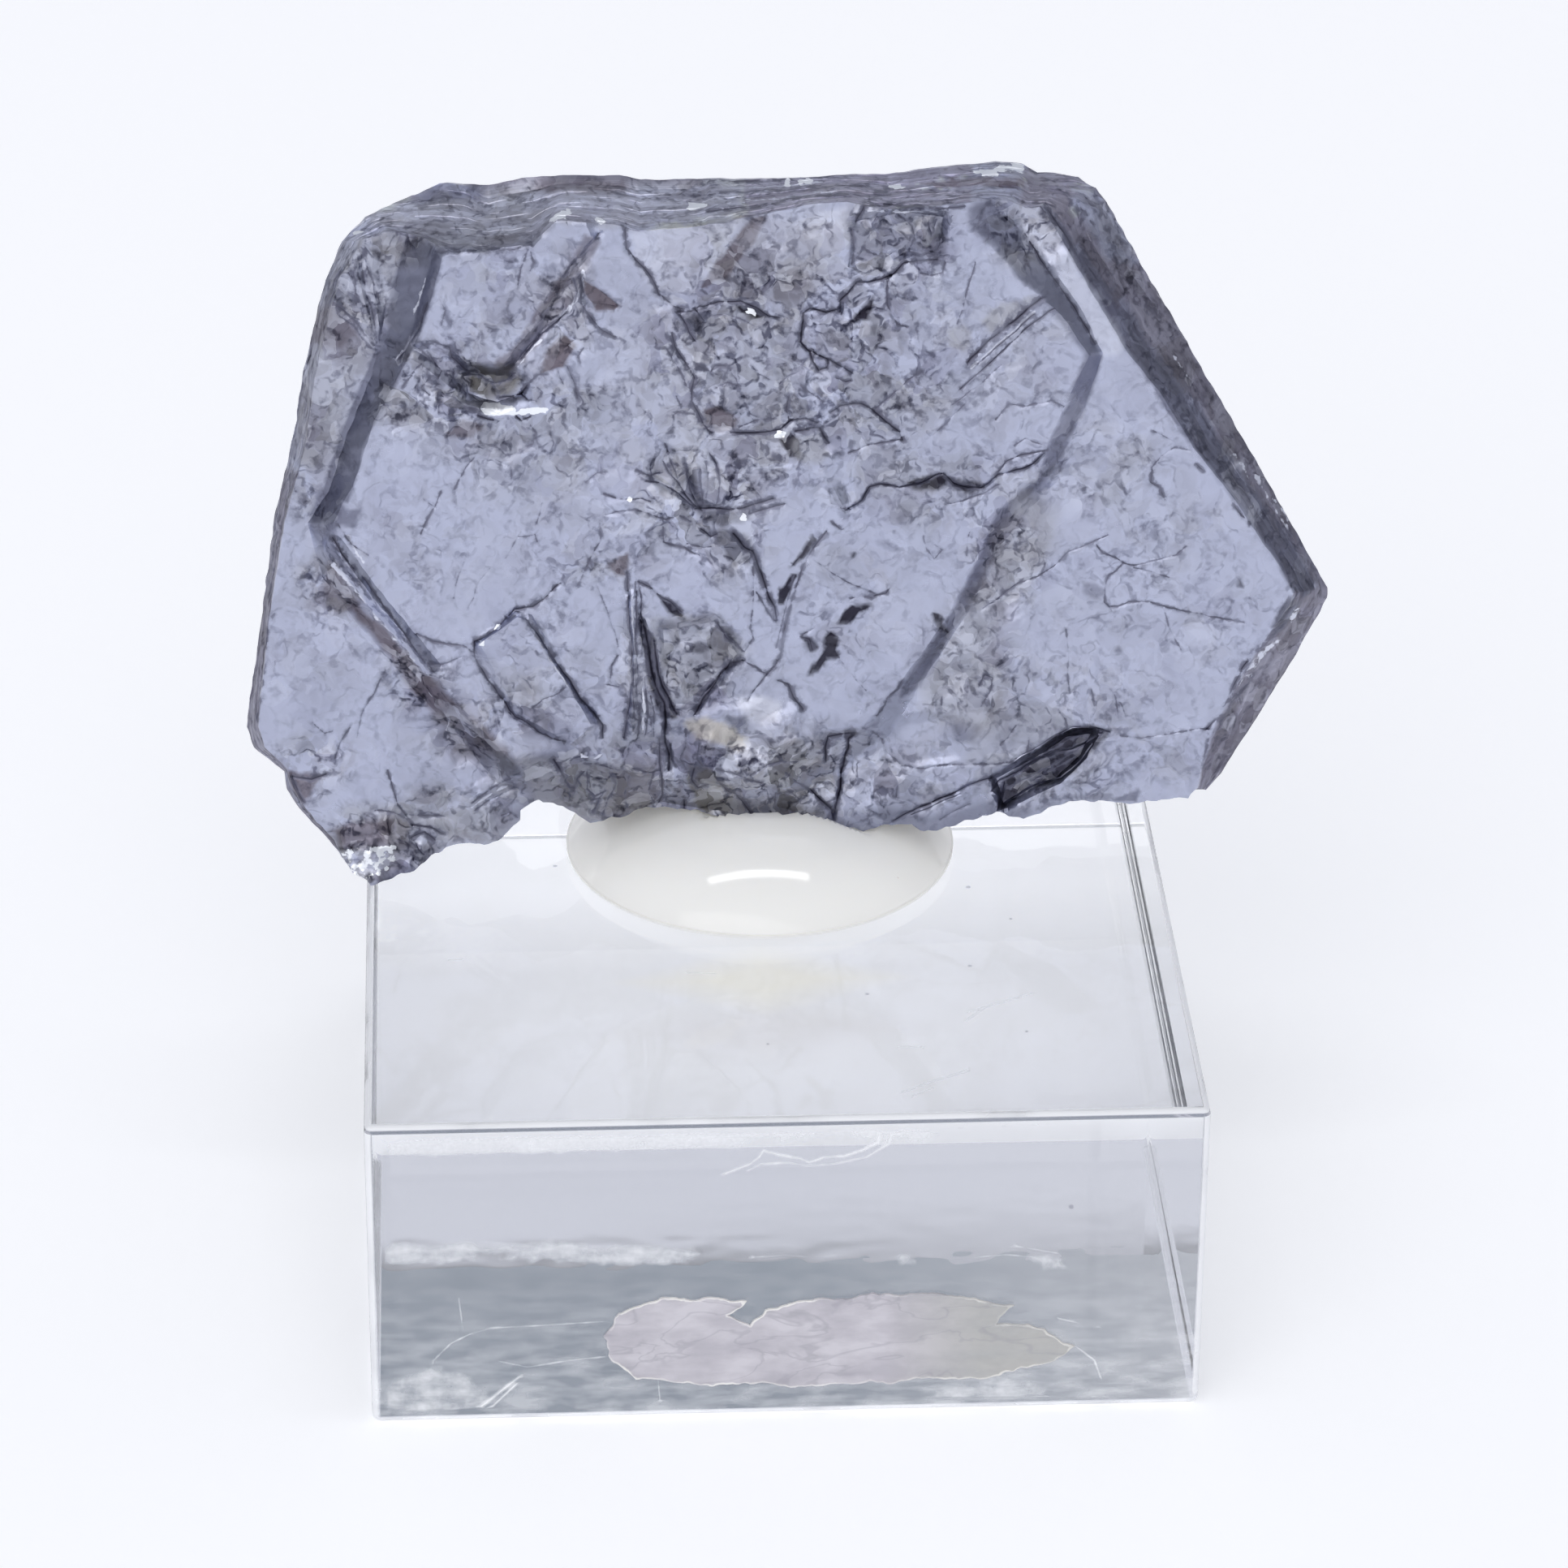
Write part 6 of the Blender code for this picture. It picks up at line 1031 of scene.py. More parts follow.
def back_height(points):
    """Height of the back, which thins towards the horn."""
    reach = np.hypot(points[:, 0] - HORN_TIP[0], points[:, 1] - HORN_TIP[1])
    thickness = np.minimum(PLATE_THICKNESS, HORN_THICKNESS + HORN_THICKENING * reach)
    depth = thickness + wave(points, *BACK_WAVE)
    rise, *layers = BACK_STEPS
    depth += rise * np.floor(wave(points, *layers))
    pitch, seed = BACK_AREA_WAVE
    for number, (rise, bevel, rough, corners) in enumerate(BACK_AREAS):
        share = area_share(points, corners, bevel)
        depth += share * (rise + wave(points, rough, pitch, seed, number))
    for width, cut, course in BACK_CRACKS:
        depth -= cut * line_share(points, np.array(course), width)
    return -depth


def warped(points, pulls):
    """Points nudged sideways, so that no drawn line stays ruler-straight."""
    moved = points.copy()
    for amount, pitch, seed in pulls:
        for number, (u, v) in enumerate(points):
            pull = noise.noise_vector(Vector((u / pitch, v / pitch, seed)))
            moved[number] += (pull.x * amount, pull.y * amount)
    return moved


def mix_towards(colours, at, share, tone):
    """Blend some points' colours towards a tone."""
    share = share[:, None]
    colours[at] = colours[at] * (1.0 - share) + np.array(TONES[tone]) * share


def face_tones(points):
    """Tone of each face point, and its shares of dark line, light line and flash. Painted light and shade:
    the bevel's shade, the foil's shaded and lit facets, and the flash of glints.
    """
    colours = np.tile(np.array(TONES["clean"]), (len(points), 1))
    plateau = plateau_share(points)
    # painted shade: the plateau's bevel turns part way to slate
    bevel = (plateau > 0.02) & (plateau < 0.98)
    mix_towards(colours, np.flatnonzero(bevel), np.full(bevel.sum(), BEVEL_SHADE), "slate")
    stains = warped(points, STAIN_PULLS)
    for tone, strength, feather, corners in PATCHES:
        loose = 0.0 if tone == "slate" else min(1.0, feather / 0.15)
        spread = points + (stains - points) * loose
        at = near(spread, np.array(corners), feather)
        share = strength * area_share(spread[at], corners, feather)
        mix_towards(colours, at, share, tone)
    for u, v, radius, tone, strength in SPOTS:
        reach = np.hypot(stains[:, 0] - u, stains[:, 1] - v)
        at = np.flatnonzero(reach < 1.4 * radius)
        share = strength * np.clip((1.4 * radius - reach[at]) / (0.4 * radius), 0.0, 1.0)
        mix_towards(colours, at, share, tone)
    lines = np.zeros((len(points), 3))
    for column, rows in ((0, CRACKS), (1, LIGHT_LINES)):
        for row in rows:
            reach, strength, course = LINE_REACH * row[0], row[-2], np.array(row[-1])
            if strength > 0.0:
                at = near(points, course, reach)
                share = (0.55 + 0.45 * strength) * line_share(points[at], course, reach)
                lines[at, column] = np.maximum(lines[at, column], share)
    # the foil's sparkle, painted: dark cells for shaded facets, light cells for lit ones, and a flash share
    # for glints
    at = near(points, np.array(SPARKLE), SPARKLE_EDGE)
    share = area_share(points[at], SPARKLE, SPARKLE_EDGE)
    cells = cell_noise(points[at], *SPARKLE_CELLS)
    mix_towards(colours, at, share * (cells < SPARKLE_DARK_PART) * SPARKLE_DARK, "dark")
    mix_towards(colours, at, share * (cells > SPARKLE_DARK_PART) * SPARKLE_LIGHT, "light")
    lines[at, 2] = SPARKLE_SHARE * share
    # painted glints on the listed facets
    for corners in GLINTS:
        at = near(points, np.array(corners), GLINT_EDGE)
        lines[at, 2] = np.maximum(lines[at, 2], area_share(points[at], corners, GLINT_EDGE))
    return colours, lines


def grown(corners, amount):
    """An outline moved outwards by an amount, corner by corner."""
    corners = np.array(corners, dtype=float)
    ahead = np.roll(corners, -1, axis=0) - corners
    behind = corners - np.roll(corners, 1, axis=0)
    ahead /= np.linalg.norm(ahead, axis=1)[:, None]
    behind /= np.linalg.norm(behind, axis=1)[:, None]
    tangent = ahead + behind
    tangent /= np.linalg.norm(tangent, axis=1)[:, None]
    turn = np.sign(np.sum(corners[:, 0] * np.roll(corners[:, 1], -1)
                          - corners[:, 1] * np.roll(corners[:, 0], -1)))
    return corners + turn * amount * np.stack((tangent[:, 1], -tangent[:, 0]), axis=1)


def sheet(ring, outlines, courses, step):
    """Triangulate inside a ring, with mesh edges along every given line."""
    points = [Vector(p) for p in ring]
    edges = [(i, (i + 1) % len(ring)) for i in range(len(ring))]
    edge_line = closed_line([tuple(p) for p in ring])
    lines = [(resample(outline, step, closed=True), True) for outline in outlines]
    lines += [(resample(course, step), False) for course in courses]
    runs = np.concatenate([np.zeros((0, 2))] + [line for line, _ in lines])
    keep = is_inside(runs, ring) & (distance_to(runs, edge_line) > 0.5 * step)
    first = 0
    for line, closed in lines:
        numbers = {}
        for at in np.flatnonzero(keep[first:first + len(line)]):
            numbers[at] = len(points)
            points.append(Vector(line[at]))
        for at in numbers:
            ahead = (at + 1) % len(line) if closed else at + 1
            if ahead in numbers:
                edges.append((numbers[at], numbers[ahead]))
        first += len(line)

    taken = KDTree(len(points))
    for number, point in enumerate(points):
        taken.insert(point.to_3d(), number)
    taken.balance()
    low, high = ring.min(0), ring.max(0)
    rise = step * math.sqrt(3.0) / 2.0
    lattice = []
    for row in range(int((high[1] - low[1]) / rise) + 1):
        v = low[1] + row * rise
        for column in range(int((high[0] - low[0]) / step) + 1):
            u = low[0] + (column + 0.5 * (row % 2)) * step
            shake = noise.noise_vector(Vector((u / step, v / step, 7.0))) * 0.25 * step
            lattice.append((u + shake.x, v + shake.y))
    lattice = np.array(lattice)
    clear = is_inside(lattice, ring) & (distance_to(lattice, edge_line) > 0.55 * step)
    for u, v in lattice[clear]:
        if taken.find(Vector((u, v, 0.0)))[2] > 0.5 * step:
            points.append(Vector((u, v)))

    spots, _, faces, origins = delaunay_2d_cdt(
        points, edges, [list(range(len(ring)))], 1, 1e-4)[:4]
    border = [0] * len(ring)
    for number, sources in enumerate(origins):
        for source in sources:
            if source < len(ring):
                border[source] = number
    return np.array([tuple(p) for p in spots]), faces, border


def furrow_lines(furrows):
    """The floor of each furrow and both of its lips."""
    lines = []
    for furrow in furrows:
        width, course = furrow[0], np.array(furrow[-1])
        ahead = np.gradient(course, axis=0)
        ahead /= np.linalg.norm(ahead, axis=1)[:, None]
        across = np.stack((-ahead[:, 1], ahead[:, 0]), axis=1) * width
        lines += [course, course + across, course - across]
    return lines


def rim_stations():
    """Matching points of the face edge, the rim and the back edge."""
    rows = [(u, v, u, v + LOWER_LIFT, LOWER_DEPTH) for u, v in LOWER_EDGE]
    rows += list(SIDES)
    rows = resample(rows, RIM_STEP, closed=True)
    face, rim, depth = rows[:, 0:2], rows[:, 2:4], rows[:, 4]
    lower = np.clip((2.0 * LOWER_DEPTH + 0.4 - 2.0 * depth) / 0.2, 0.0, 1.0)
    rise, pitch, seed = LOWER_WAVE
    face[:, 1] += rise * lower * ground_noise(face, pitch, seed)
    back = rim + (np.array(PLATE_CENTRE) - rim) * BACK_INSET
    back[:, 1] = np.maximum(back[:, 1], BACK_FLOOR + wave(rim, *BACK_EDGE_WAVE))
    return face, rim, depth, back


def side_rings(face, rim, depth, back):
    """Rings of plate points down the layered side, face and back left out."""
    ahead = np.roll(rim, -1, axis=0) - np.roll(rim, 1, axis=0)
    ahead /= np.linalg.norm(ahead, axis=1)[:, None]
    outward = np.stack((ahead[:, 1], -ahead[:, 0]), axis=1)
    top, bottom = -face_height(face), -back_height(back)
    levels = np.linspace(0.0, 1.0, LAMINAE + 1) ** LEVEL_CURVE
    rings = []

    def ring_at(level, jitter, lip):
        deep = top + (bottom - top) * level + lip
        before = np.clip((deep - top) / (depth - top), 0.0, 1.0)[:, None]
        after = np.clip((deep - depth) / (bottom - depth), 0.0, 1.0)[:, None]
        spot = face + (rim - face) * before + (back - rim) * after
        rings.append((spot + outward * jitter[:, None], -deep))

    for lamina in range(LAMINAE):
        jitter = sum(wave(rim, *values, lamina) for values in LAMINA_WAVES)
        rise, pitch, seed = LAMINA_CHIPS
        jitter -= rise * np.clip(ground_noise(rim, pitch, seed + lamina), 0.0, 1.0)
        if lamina > 0:
            ring_at(levels[lamina] + wave(rim, *LEVEL_WAVE, lamina), jitter, LAMINA_LIP)
        if lamina < LAMINAE - 1:
            ring_at(levels[lamina + 1] + wave(rim, *LEVEL_WAVE, lamina + 1), jitter, 0.0)
    return rings


def make_mesh(name, points, faces, finish):
    """A piece with one finish, from points and faces."""
    mesh = bpy.data.meshes.new(name)
    mesh.from_pydata([tuple(p) for p in points], [], [tuple(f) for f in faces])
    mesh.materials.append(finish)
    thing = bpy.data.objects.new(name, mesh)
    bpy.context.collection.objects.link(thing)
    return thing


def add_tones(mesh, name, colours):
    """Store one colour for each point of a mesh."""
    values = np.ones((len(mesh.vertices), 4))
    values[:, :colours.shape[1]] = colours
    layer = mesh.color_attributes.new(name, "FLOAT_COLOR", "POINT")
    layer.data.foreach_set("color", values.ravel())


def make_crystal(finish):
    """The whole crystal: face, layered side and back as one closed mesh."""
    face, rim, depth, back = rim_stations()
    count = len(face)
    outlines = [PLATEAU_CREST, PLATEAU_FOOT]
    for _, bevel, _, corners in AREAS:
        outlines += [corners, grown(corners, bevel)]
    outlines += [corners for _, _, feather, corners in PATCHES if feather < 0.1]
    outlines += list(GLINTS)
    lines = furrow_lines(CRACKS) + furrow_lines(FOLDS) + furrow_lines(LIGHT_LINES)
    face_points, face_faces, face_border = sheet(face, outlines, lines, FACE_STEP)
    outlines = []
    for _, bevel, _, corners in BACK_AREAS:
        outlines += [corners, grown(corners, bevel)]
    back_points, back_faces, back_border = sheet(
        back, outlines, furrow_lines(BACK_CRACKS), BACK_STEP)

    tones, lines = face_tones(face_points)
    crumpled = crumple_share(face_points)
    blank = np.zeros(len(face_points))
    side_tone = np.array(TONES["side"])
    points = [place(*warped(face_points, SHAPE_PULLS).T, face_height(face_points))]
    colours, drawn = [tones], [lines]
    marks = [np.stack((crumpled, blank, blank), axis=1)]
    starts = []
    rings = side_rings(face, rim, depth, back)
    for number, (spot, deep) in enumerate(rings):
        starts.append(sum(len(p) for p in points))
        points.append(place(*warped(spot, SHAPE_PULLS).T, deep))
        ring_tones, ring_lines = face_tones(spot)
        plain = np.abs(ring_tones - TONES["clean"]).max(1) < 1e-6
        streak = 1.0 + wave(spot * SIDE_STRETCH + number * SIDE_SHIFT, *SIDE_STREAKS, number)
        ring_tones[plain] = side_tone * streak[plain, None]
        upper = (np.clip(spot[:, 1] - UPPER_START, 0.0, 1.0)
                 * np.clip(UPPER_END - spot[:, 0], 0.0, 1.0))
        ring_tones = np.minimum(ring_tones * (1.0 + UPPER_LIFT * upper[:, None]), LIGHTEST)
        colours.append(ring_tones)
        drawn.append(ring_lines)
        marks.append(np.tile((SIDE_CRUMPLE, 1.0, (number + 1) / len(rings)), (count, 1)))
    back_start = sum(len(p) for p in points)
    points.append(place(*warped(back_points, SHAPE_PULLS).T, back_height(back_points)))
    blotch = BACK_CLEAN + wave(back_points, *BACK_BLOTCHES)
    back_tones = np.array(TONES["clean"]) * blotch[:, None]
    mix_towards(back_tones, np.array(back_border), np.ones(count), "side")
    colours.append(back_tones)
    drawn.append(np.zeros((len(back_points), 3)))
    marks.append(np.tile((BACK_CRUMPLE, 0.0, 0.0), (len(back_points), 1)))

    faces = [tuple(f) for f in face_faces]
    rings = [list(face_border)]
    rings += [[start + i for i in range(count)] for start in starts]
    rings.append([back_start + i for i in back_border])
    for upper, lower in zip(rings[:-1], rings[1:]):
        for i in range(count):
            j = (i + 1) % count
            faces.append((upper[i], lower[i], lower[j], upper[j]))
    faces += [tuple(back_start + i for i in reversed(f)) for f in back_faces]
    crystal = make_mesh("molybdenite_plate", np.concatenate(points), faces, finish)
    mesh = crystal.data
    add_tones(mesh, "tone", np.concatenate(colours))
    add_tones(mesh, "marks", np.concatenate(marks))
    add_tones(mesh, "lines", np.concatenate(drawn))
    bm = bmesh.new()
    bm.from_mesh(mesh)
    bmesh.ops.recalc_face_normals(bm, faces=bm.faces)
    bm.to_mesh(mesh)
    bm.free()
    mesh.shade_smooth()
    mesh.set_sharp_from_angle(angle=SHARP_ANGLE)
    return crystal


def dome_height(reach):
    """Height of the putty's round drop at a distance from its centre."""
    sphere = (PUTTY_RADIUS ** 2 + PUTTY_HEIGHT ** 2) / (2.0 * PUTTY_HEIGHT)
    return math.sqrt(max(sphere ** 2 - reach ** 2, 0.0)) - (sphere - PUTTY_HEIGHT)


def make_putty(crystal, finish):
    """The drop of putty, hollowed where the crystal is pressed into it."""
    tree = BVHTree.FromPolygons([v.co for v in crystal.data.vertices],
                                [tuple(p.vertices) for p in crystal.data.polygons])
    base = BLOCK_HEIGHT + PUTTY_LIFT
    probes = [(0.0, 0.0)]
    for turn in range(8):
        angle = turn * math.pi / 4.0
        probes.append((PUTTY_PROBE * math.cos(angle), PUTTY_PROBE * math.sin(angle)))
    cx, cy = PUTTY_CENTRE

    def top_at(x, y, reach):
        top = base + dome_height(reach)
        for dx, dy in probes:
            start = Vector(((x + dx) * MM, (y + dy) * MM, 0.0))
            hit = tree.ray_cast(start, Vector((0.0, 0.0, 1.0)))[0]
            if hit is not None:
                top = min(top, hit.z / MM - PUTTY_GAP)
        return max(top, base + PUTTY_LEAST)

    points, faces = [(cx, cy, top_at(cx, cy, 0.0)), (cx, cy, base)], []
    for ring in range(1, PUTTY_RINGS + 1):
        reach = PUTTY_RADIUS * math.sin(0.5 * math.pi * ring / PUTTY_RINGS)
        for spoke in range(PUTTY_SPOKES):
            angle = 2.0 * math.pi * spoke / PUTTY_SPOKES
            x, y = cx + reach * math.cos(angle), cy + reach * math.sin(angle)
            points.append((x, y, top_at(x, y, reach) if ring < PUTTY_RINGS else base))
    for i in range(PUTTY_SPOKES):
        j = (i + 1) % PUTTY_SPOKES
        faces.append((0, 2 + i, 2 + j))
        for ring in range(PUTTY_RINGS - 1):
            inner, outer = 2 + ring * PUTTY_SPOKES, 2 + (ring + 1) * PUTTY_SPOKES
            faces.append((inner + i, outer + i, outer + j, inner + j))
        last = 2 + (PUTTY_RINGS - 1) * PUTTY_SPOKES
        faces.append((1, last + j, last + i))
    putty = make_mesh("putty_drop", np.array(points) * MM, faces, finish)
    putty.data.shade_smooth()
    putty.data.set_sharp_from_angle(angle=PUTTY_SHARP_ANGLE)
    return putty


def worn_sheet(low, high, strokes=(), scuffs=(), specks=()):
    """A flat rectangle with mesh lines along its wear, its wear and its dirt."""
    (left, near_end), (right, far_end) = low, high
    ring = np.array(((left, near_end), (right, near_end), (right, far_end), (left, far_end)))
    rings = [[(u + reach * math.cos(turn), v + reach * math.sin(turn))
              for turn in np.linspace(0.0, 2.0 * math.pi, SPECK_SIDES, endpoint=False)]
             for u, v, radius in specks for reach in (0.5 * radius, radius)]
    spots, faces, _ = sheet(ring, rings, furrow_lines(strokes), WEAR_STEP)
    wear, dirt = np.zeros(len(spots)), np.zeros(len(spots))
    for u, v, radius in specks:
        reach = np.hypot(spots[:, 0] - u, spots[:, 1] - v)
        dirt = np.maximum(dirt, np.clip(2.0 - 2.0 * reach / radius, 0.0, 1.0))
    for strength, feather, corners in scuffs:
        wear = np.maximum(wear, strength * area_share(spots, corners, feather))
    for width, strength, course in strokes:
        wear = np.maximum(wear, strength * line_share(spots, np.array(course), width))
    return spots, faces, wear, dirt


def make_block(finish):
    """The clear block: edges rounded but for the rear ones, front and top worn."""
    bm = bmesh.new()
    bmesh.ops.create_cube(bm, size=1.0)
    for vert in bm.verts:
        x, y, z = vert.co
        vert.co = (x * BLOCK_SIDE, y * BLOCK_SIDE, (z + 0.5) * BLOCK_HEIGHT)
    worn = [e for e in bm.edges if min(vert.co.y for vert in e.verts) < 0.0]
    bmesh.ops.bevel(bm, geom=worn, offset=BLOCK_BEVEL, segments=BEVEL_SEGMENTS,
                    profile=0.5, affect="EDGES")
    bm.normal_update()
    half = 0.5 * BLOCK_SIDE
    flat = half - BLOCK_BEVEL
    worn = [f for f in bm.faces if f.normal.y < -0.999 or abs(f.normal.z) > 0.999]
    bmesh.ops.delete(bm, geom=worn, context="FACES")
    wear_layer = bm.verts.layers.float.new("wear")
    dirt_layer = bm.verts.layers.float.new("dirt")
    front = worn_sheet((-flat, BLOCK_BEVEL), (flat, BLOCK_HEIGHT - BLOCK_BEVEL),
                       FRONT_STROKES, FRONT_SCUFFS, FRONT_SPECKS)
    top = worn_sheet((-flat, -flat), (flat, half), TOP_STROKES, specks=TOP_SPECKS)
    under = worn_sheet((-flat, -flat), (flat, half))
    uneven = 0.5 + 0.5 * ground_noise(under[0], WAVE_PITCH, WAVE_SEED)
    uneven *= np.clip((flat - np.abs(under[0]).max(1)) / 0.5, 0.0, 1.0)
    levels = (None, np.full(len(top[0]), BLOCK_HEIGHT), WAVE_HEIGHT * uneven)
    for (spots, faces, wear, dirt), level in zip((front, top, under), levels):
        verts = []
        for number, (x, other) in enumerate(spots):
            at = (x, -half, other) if level is None else (x, other, level[number])
            verts.append(bm.verts.new(at))
            verts[-1][wear_layer] = wear[number]
            verts[-1][dirt_layer] = dirt[number]
        for face in faces:
            bm.faces.new([verts[i] for i in face])
    bmesh.ops.remove_doubles(bm, verts=bm.verts, dist=0.001)
    bmesh.ops.recalc_face_normals(bm, faces=bm.faces)
    for face in bm.faces:
        face.smooth = True
    for edge in bm.edges:
        straight = [max(abs(c) for c in f.normal) > 0.9999 for f in edge.link_faces]
        edge.smooth = ((all(straight) or not any(straight))
                       and edge.calc_face_angle(0.0) < SHARP_ANGLE)
    bmesh.ops.scale(bm, vec=(MM, MM, MM), verts=bm.verts)
    mesh = bpy.data.meshes.new("clear_block")
    bm.to_mesh(mesh)
    bm.free()
    mesh.materials.append(finish)
    block = bpy.data.objects.new("clear_block", mesh)
    bpy.context.collection.objects.link(block)
    return block


def make_label(finish):
    """The thin film stuck on the block's front, with a torn, pale edge."""
    outline = warped(resample(LABEL_OUTLINE, LABEL_STEP, closed=True), LABEL_PULLS)
    spots, faces, border = sheet(outline, [], [], LABEL_STEP)
    edge = closed_line([tuple(p) for p in outline])
    rim = np.clip(1.0 - distance_to(spots, edge) / LABEL_RIM, 0.0, 1.0)
    half, count = 0.5 * BLOCK_SIDE, len(spots)
    front, back = (np.stack((spots[:, 0], np.full(count, -half - level), spots[:, 1]), axis=1)
                   for level in (LABEL_FRONT, LABEL_BACK))
    solid = [tuple(f) for f in faces]
    solid += [tuple(count + i for i in reversed(f)) for f in faces]
    for start, end in zip(border, border[1:] + border[:1]):
        solid.append((start, count + start, count + end, end))
    label = make_mesh("worn_label", np.concatenate((front, back)) * MM, solid, finish)
    layer = label.data.attributes.new("rim", "FLOAT", "POINT")
    layer.data.foreach_set("value", np.concatenate((rim, rim)))
    return label


# ---- materials -----------------------------------------------------------------------
# Noise scales are per metre. A pair of levels is what becomes 0 and 1.
WANDER_SCALE = 900.0
WANDER_REACH = (0.0013, 0.0013, 0.0013)
GRIT_SCALE = 3000.0
BLOTCHES = (330.0, 2.0, 0.40, 0.64)
# Shards: scale and how dark they are; their two hues, and how many turn light. Their darkening and
# lightening is partly painted shade and highlight of crumpled facets.
SHARDS = ((620.0, 0.70), (1500.0, 0.50))
SHARD_HUES = ((0.52, 0.50, 0.44), (0.44, 0.41, 0.47))
LIGHT_SHARDS = (0.70, 0.95, 0.45)
# Films: noise, strength and tone.
FILMS = (
    ((700.0, 4.0, 0.505, 0.555), 0.55, (0.68, 0.65, 0.61)),
    ((2400.0, 3.0, 0.50, 0.57), 0.50, (0.60, 0.58, 0.58)),
)
# Creases: scale and fineness; their strength and tone.
CREASES = ((430.0, 34.0), (1000.0, 18.0))
CREASE_STRENGTH = 0.95
CREASE_TONE = (0.24, 0.24, 0.29)
STREAK_PITCH = (260.0, 260.0, 14.0)
STREAK_TONE = (0.45, 0.44, 0.46)
GRAIN_SCALE = 1500.0
GRAIN_BUMP = (0.35, 0.00003)

PUTTY_DIRT = (1500.0, 3.0, 0.76, 0.80)
PUTTY_DIRT_TONE = (0.40, 0.39, 0.42)
PUTTY_SCATTER = (0.0060, 0.0056, 0.0050)
# How far up its height the painted glow, which stands in for light from the block, still reaches.
PUTTY_DIM_SHARE = 0.7

ACRYLIC_IOR = 1.49
ACRYLIC_TONE = (0.972, 0.980, 1.0)
SPECK_TONE = (0.30, 0.30, 0.36)
EDGE_SHADE_TONE = (0.40, 0.39, 0.52)
EDGE_CHIPS = (320.0, 2.0, 0.30, 0.55)
LOW_FILM = (1900.0, 3.0, 0.38, 0.66)
# Haze of the front's upper part, of its right side, of the top and of the low film. The whitening is partly
# real haze and partly painted light, standing in for light that comes through the block.
HAZE_UPPER, HAZE_RIGHT, HAZE_TOP = 0.08, 0.06, 0.10
HAZE_FILM, HAZE_FILM_LOW = 0.06, 0.34

LABEL_TONES = ((0.64, 0.61, 0.66), (0.74, 0.715, 0.76))
LABEL_BEIGE = (0.62, 0.61, 0.585)
LABEL_FOLD_TONE = (0.36, 0.35, 0.40)
LABEL_RIM_TONE = (0.90, 0.88, 0.84)
LABEL_WEAR = (900.0, 5.0, 0.38, 0.62)


class Nodes:
    """A node tree with shorthands; a value is a number, a colour or a socket."""

    def __init__(self, tree):
        self.tree = tree

    def put(self, value, socket):
        """Set a socket to a number, colour or vector, or link another socket to it."""
        if isinstance(value, (int, float)):
            socket.default_value = value
        elif isinstance(value, tuple):
            socket.default_value = (*value, 1.0) if socket.type == "RGBA" else value
        else:
            self.tree.links.new(value, socket)

    def node(self, kind, **values):
        """A node; names with a socket are its inputs, others its settings."""
        node = self.tree.nodes.new(kind)
        for key, value in values.items():
            name = key.replace("_", " ")
            if name in node.inputs:
                self.put(value, node.inputs[name])
            else:
                setattr(node, key, value)
        return node

    def maths(self, operation, *values):
        """The result of a maths node."""
        node = self.node("ShaderNodeMath", operation=operation)
        for value, socket in zip(values, node.inputs):
            self.put(value, socket)
        return node.outputs["Value"]

    def plus(self, first, *others):
        """The sum of all values."""
        for other in others:
            first = self.maths("ADD", first, other)
        return first

    def times(self, first, *others):
        """The product of all values."""
        for other in others:
            first = self.maths("MULTIPLY", first, other)
        return first

    def minus(self, first, second):
        """The first value less the second."""
        return self.maths("SUBTRACT", first, second)

    def least(self, first, second):
        """The smaller value."""
        return self.maths("MINIMUM", first, second)

    def most(self, first, second):
        """The larger value."""
        return self.maths("MAXIMUM", first, second)

    def away_from(self, value, middle):
        """How far a value is from the middle."""
        return self.maths("ABSOLUTE", self.minus(value, middle))

    def mix(self, factor, first, second, kind="MIX"):
        """The first colour, mixed with the second by a factor."""
        node = self.node("ShaderNodeMix", data_type="RGBA", blend_type=kind)
        for value, number in ((factor, 0), (first, 6), (second, 7)):
            self.put(value, node.inputs[number])
        return node.outputs[2]

    def tint(self, factor, first, second):
        """The first colour, multiplied by the second by a factor."""
        return self.mix(factor, first, second, "MULTIPLY")

    def ramp(self, value, low, high):
        """0 where the value is low, 1 where it is high, clamped."""
        node = self.node("ShaderNodeMapRange", clamp=True, Value=value,
                         From_Min=low, From_Max=high)
        return node.outputs["Result"]

    def noise(self, coords, scale, detail, low=0.0, high=1.0):
        """Noise texture stretched so that low gives 0 and high gives 1."""
        texture = self.node("ShaderNodeTexNoise", Vector=coords, Scale=scale, Detail=detail)
        return self.ramp(texture.outputs["Fac"], low, high)

    def ragged(self, share, grit, shake, low, high):
        """A drawn share cut off sharply, with an edge broken up by the grit."""
        return self.ramp(self.plus(share, self.times(self.minus(grit, 0.5), shake)), low, high)

    def stored(self, name, output="Fac"):
        """What a mesh attribute holds."""
        return self.node("ShaderNodeAttribute", attribute_name=name).outputs[output]

    def channels(self, colour):
        """The three numbers of a colour."""
        parts = self.node("ShaderNodeSeparateColor", Color=colour)
        return parts.outputs["Red"], parts.outputs["Green"], parts.outputs["Blue"]

    def axes(self, coords):
        """The three numbers of a vector."""
        parts = self.node("ShaderNodeSeparateXYZ", Vector=coords)
        return parts.outputs["X"], parts.outputs["Y"], parts.outputs["Z"]

    def point(self, x, y, z):
        """A vector from three numbers."""
        return self.node("ShaderNodeCombineXYZ", X=x, Y=y, Z=z).outputs["Vector"]


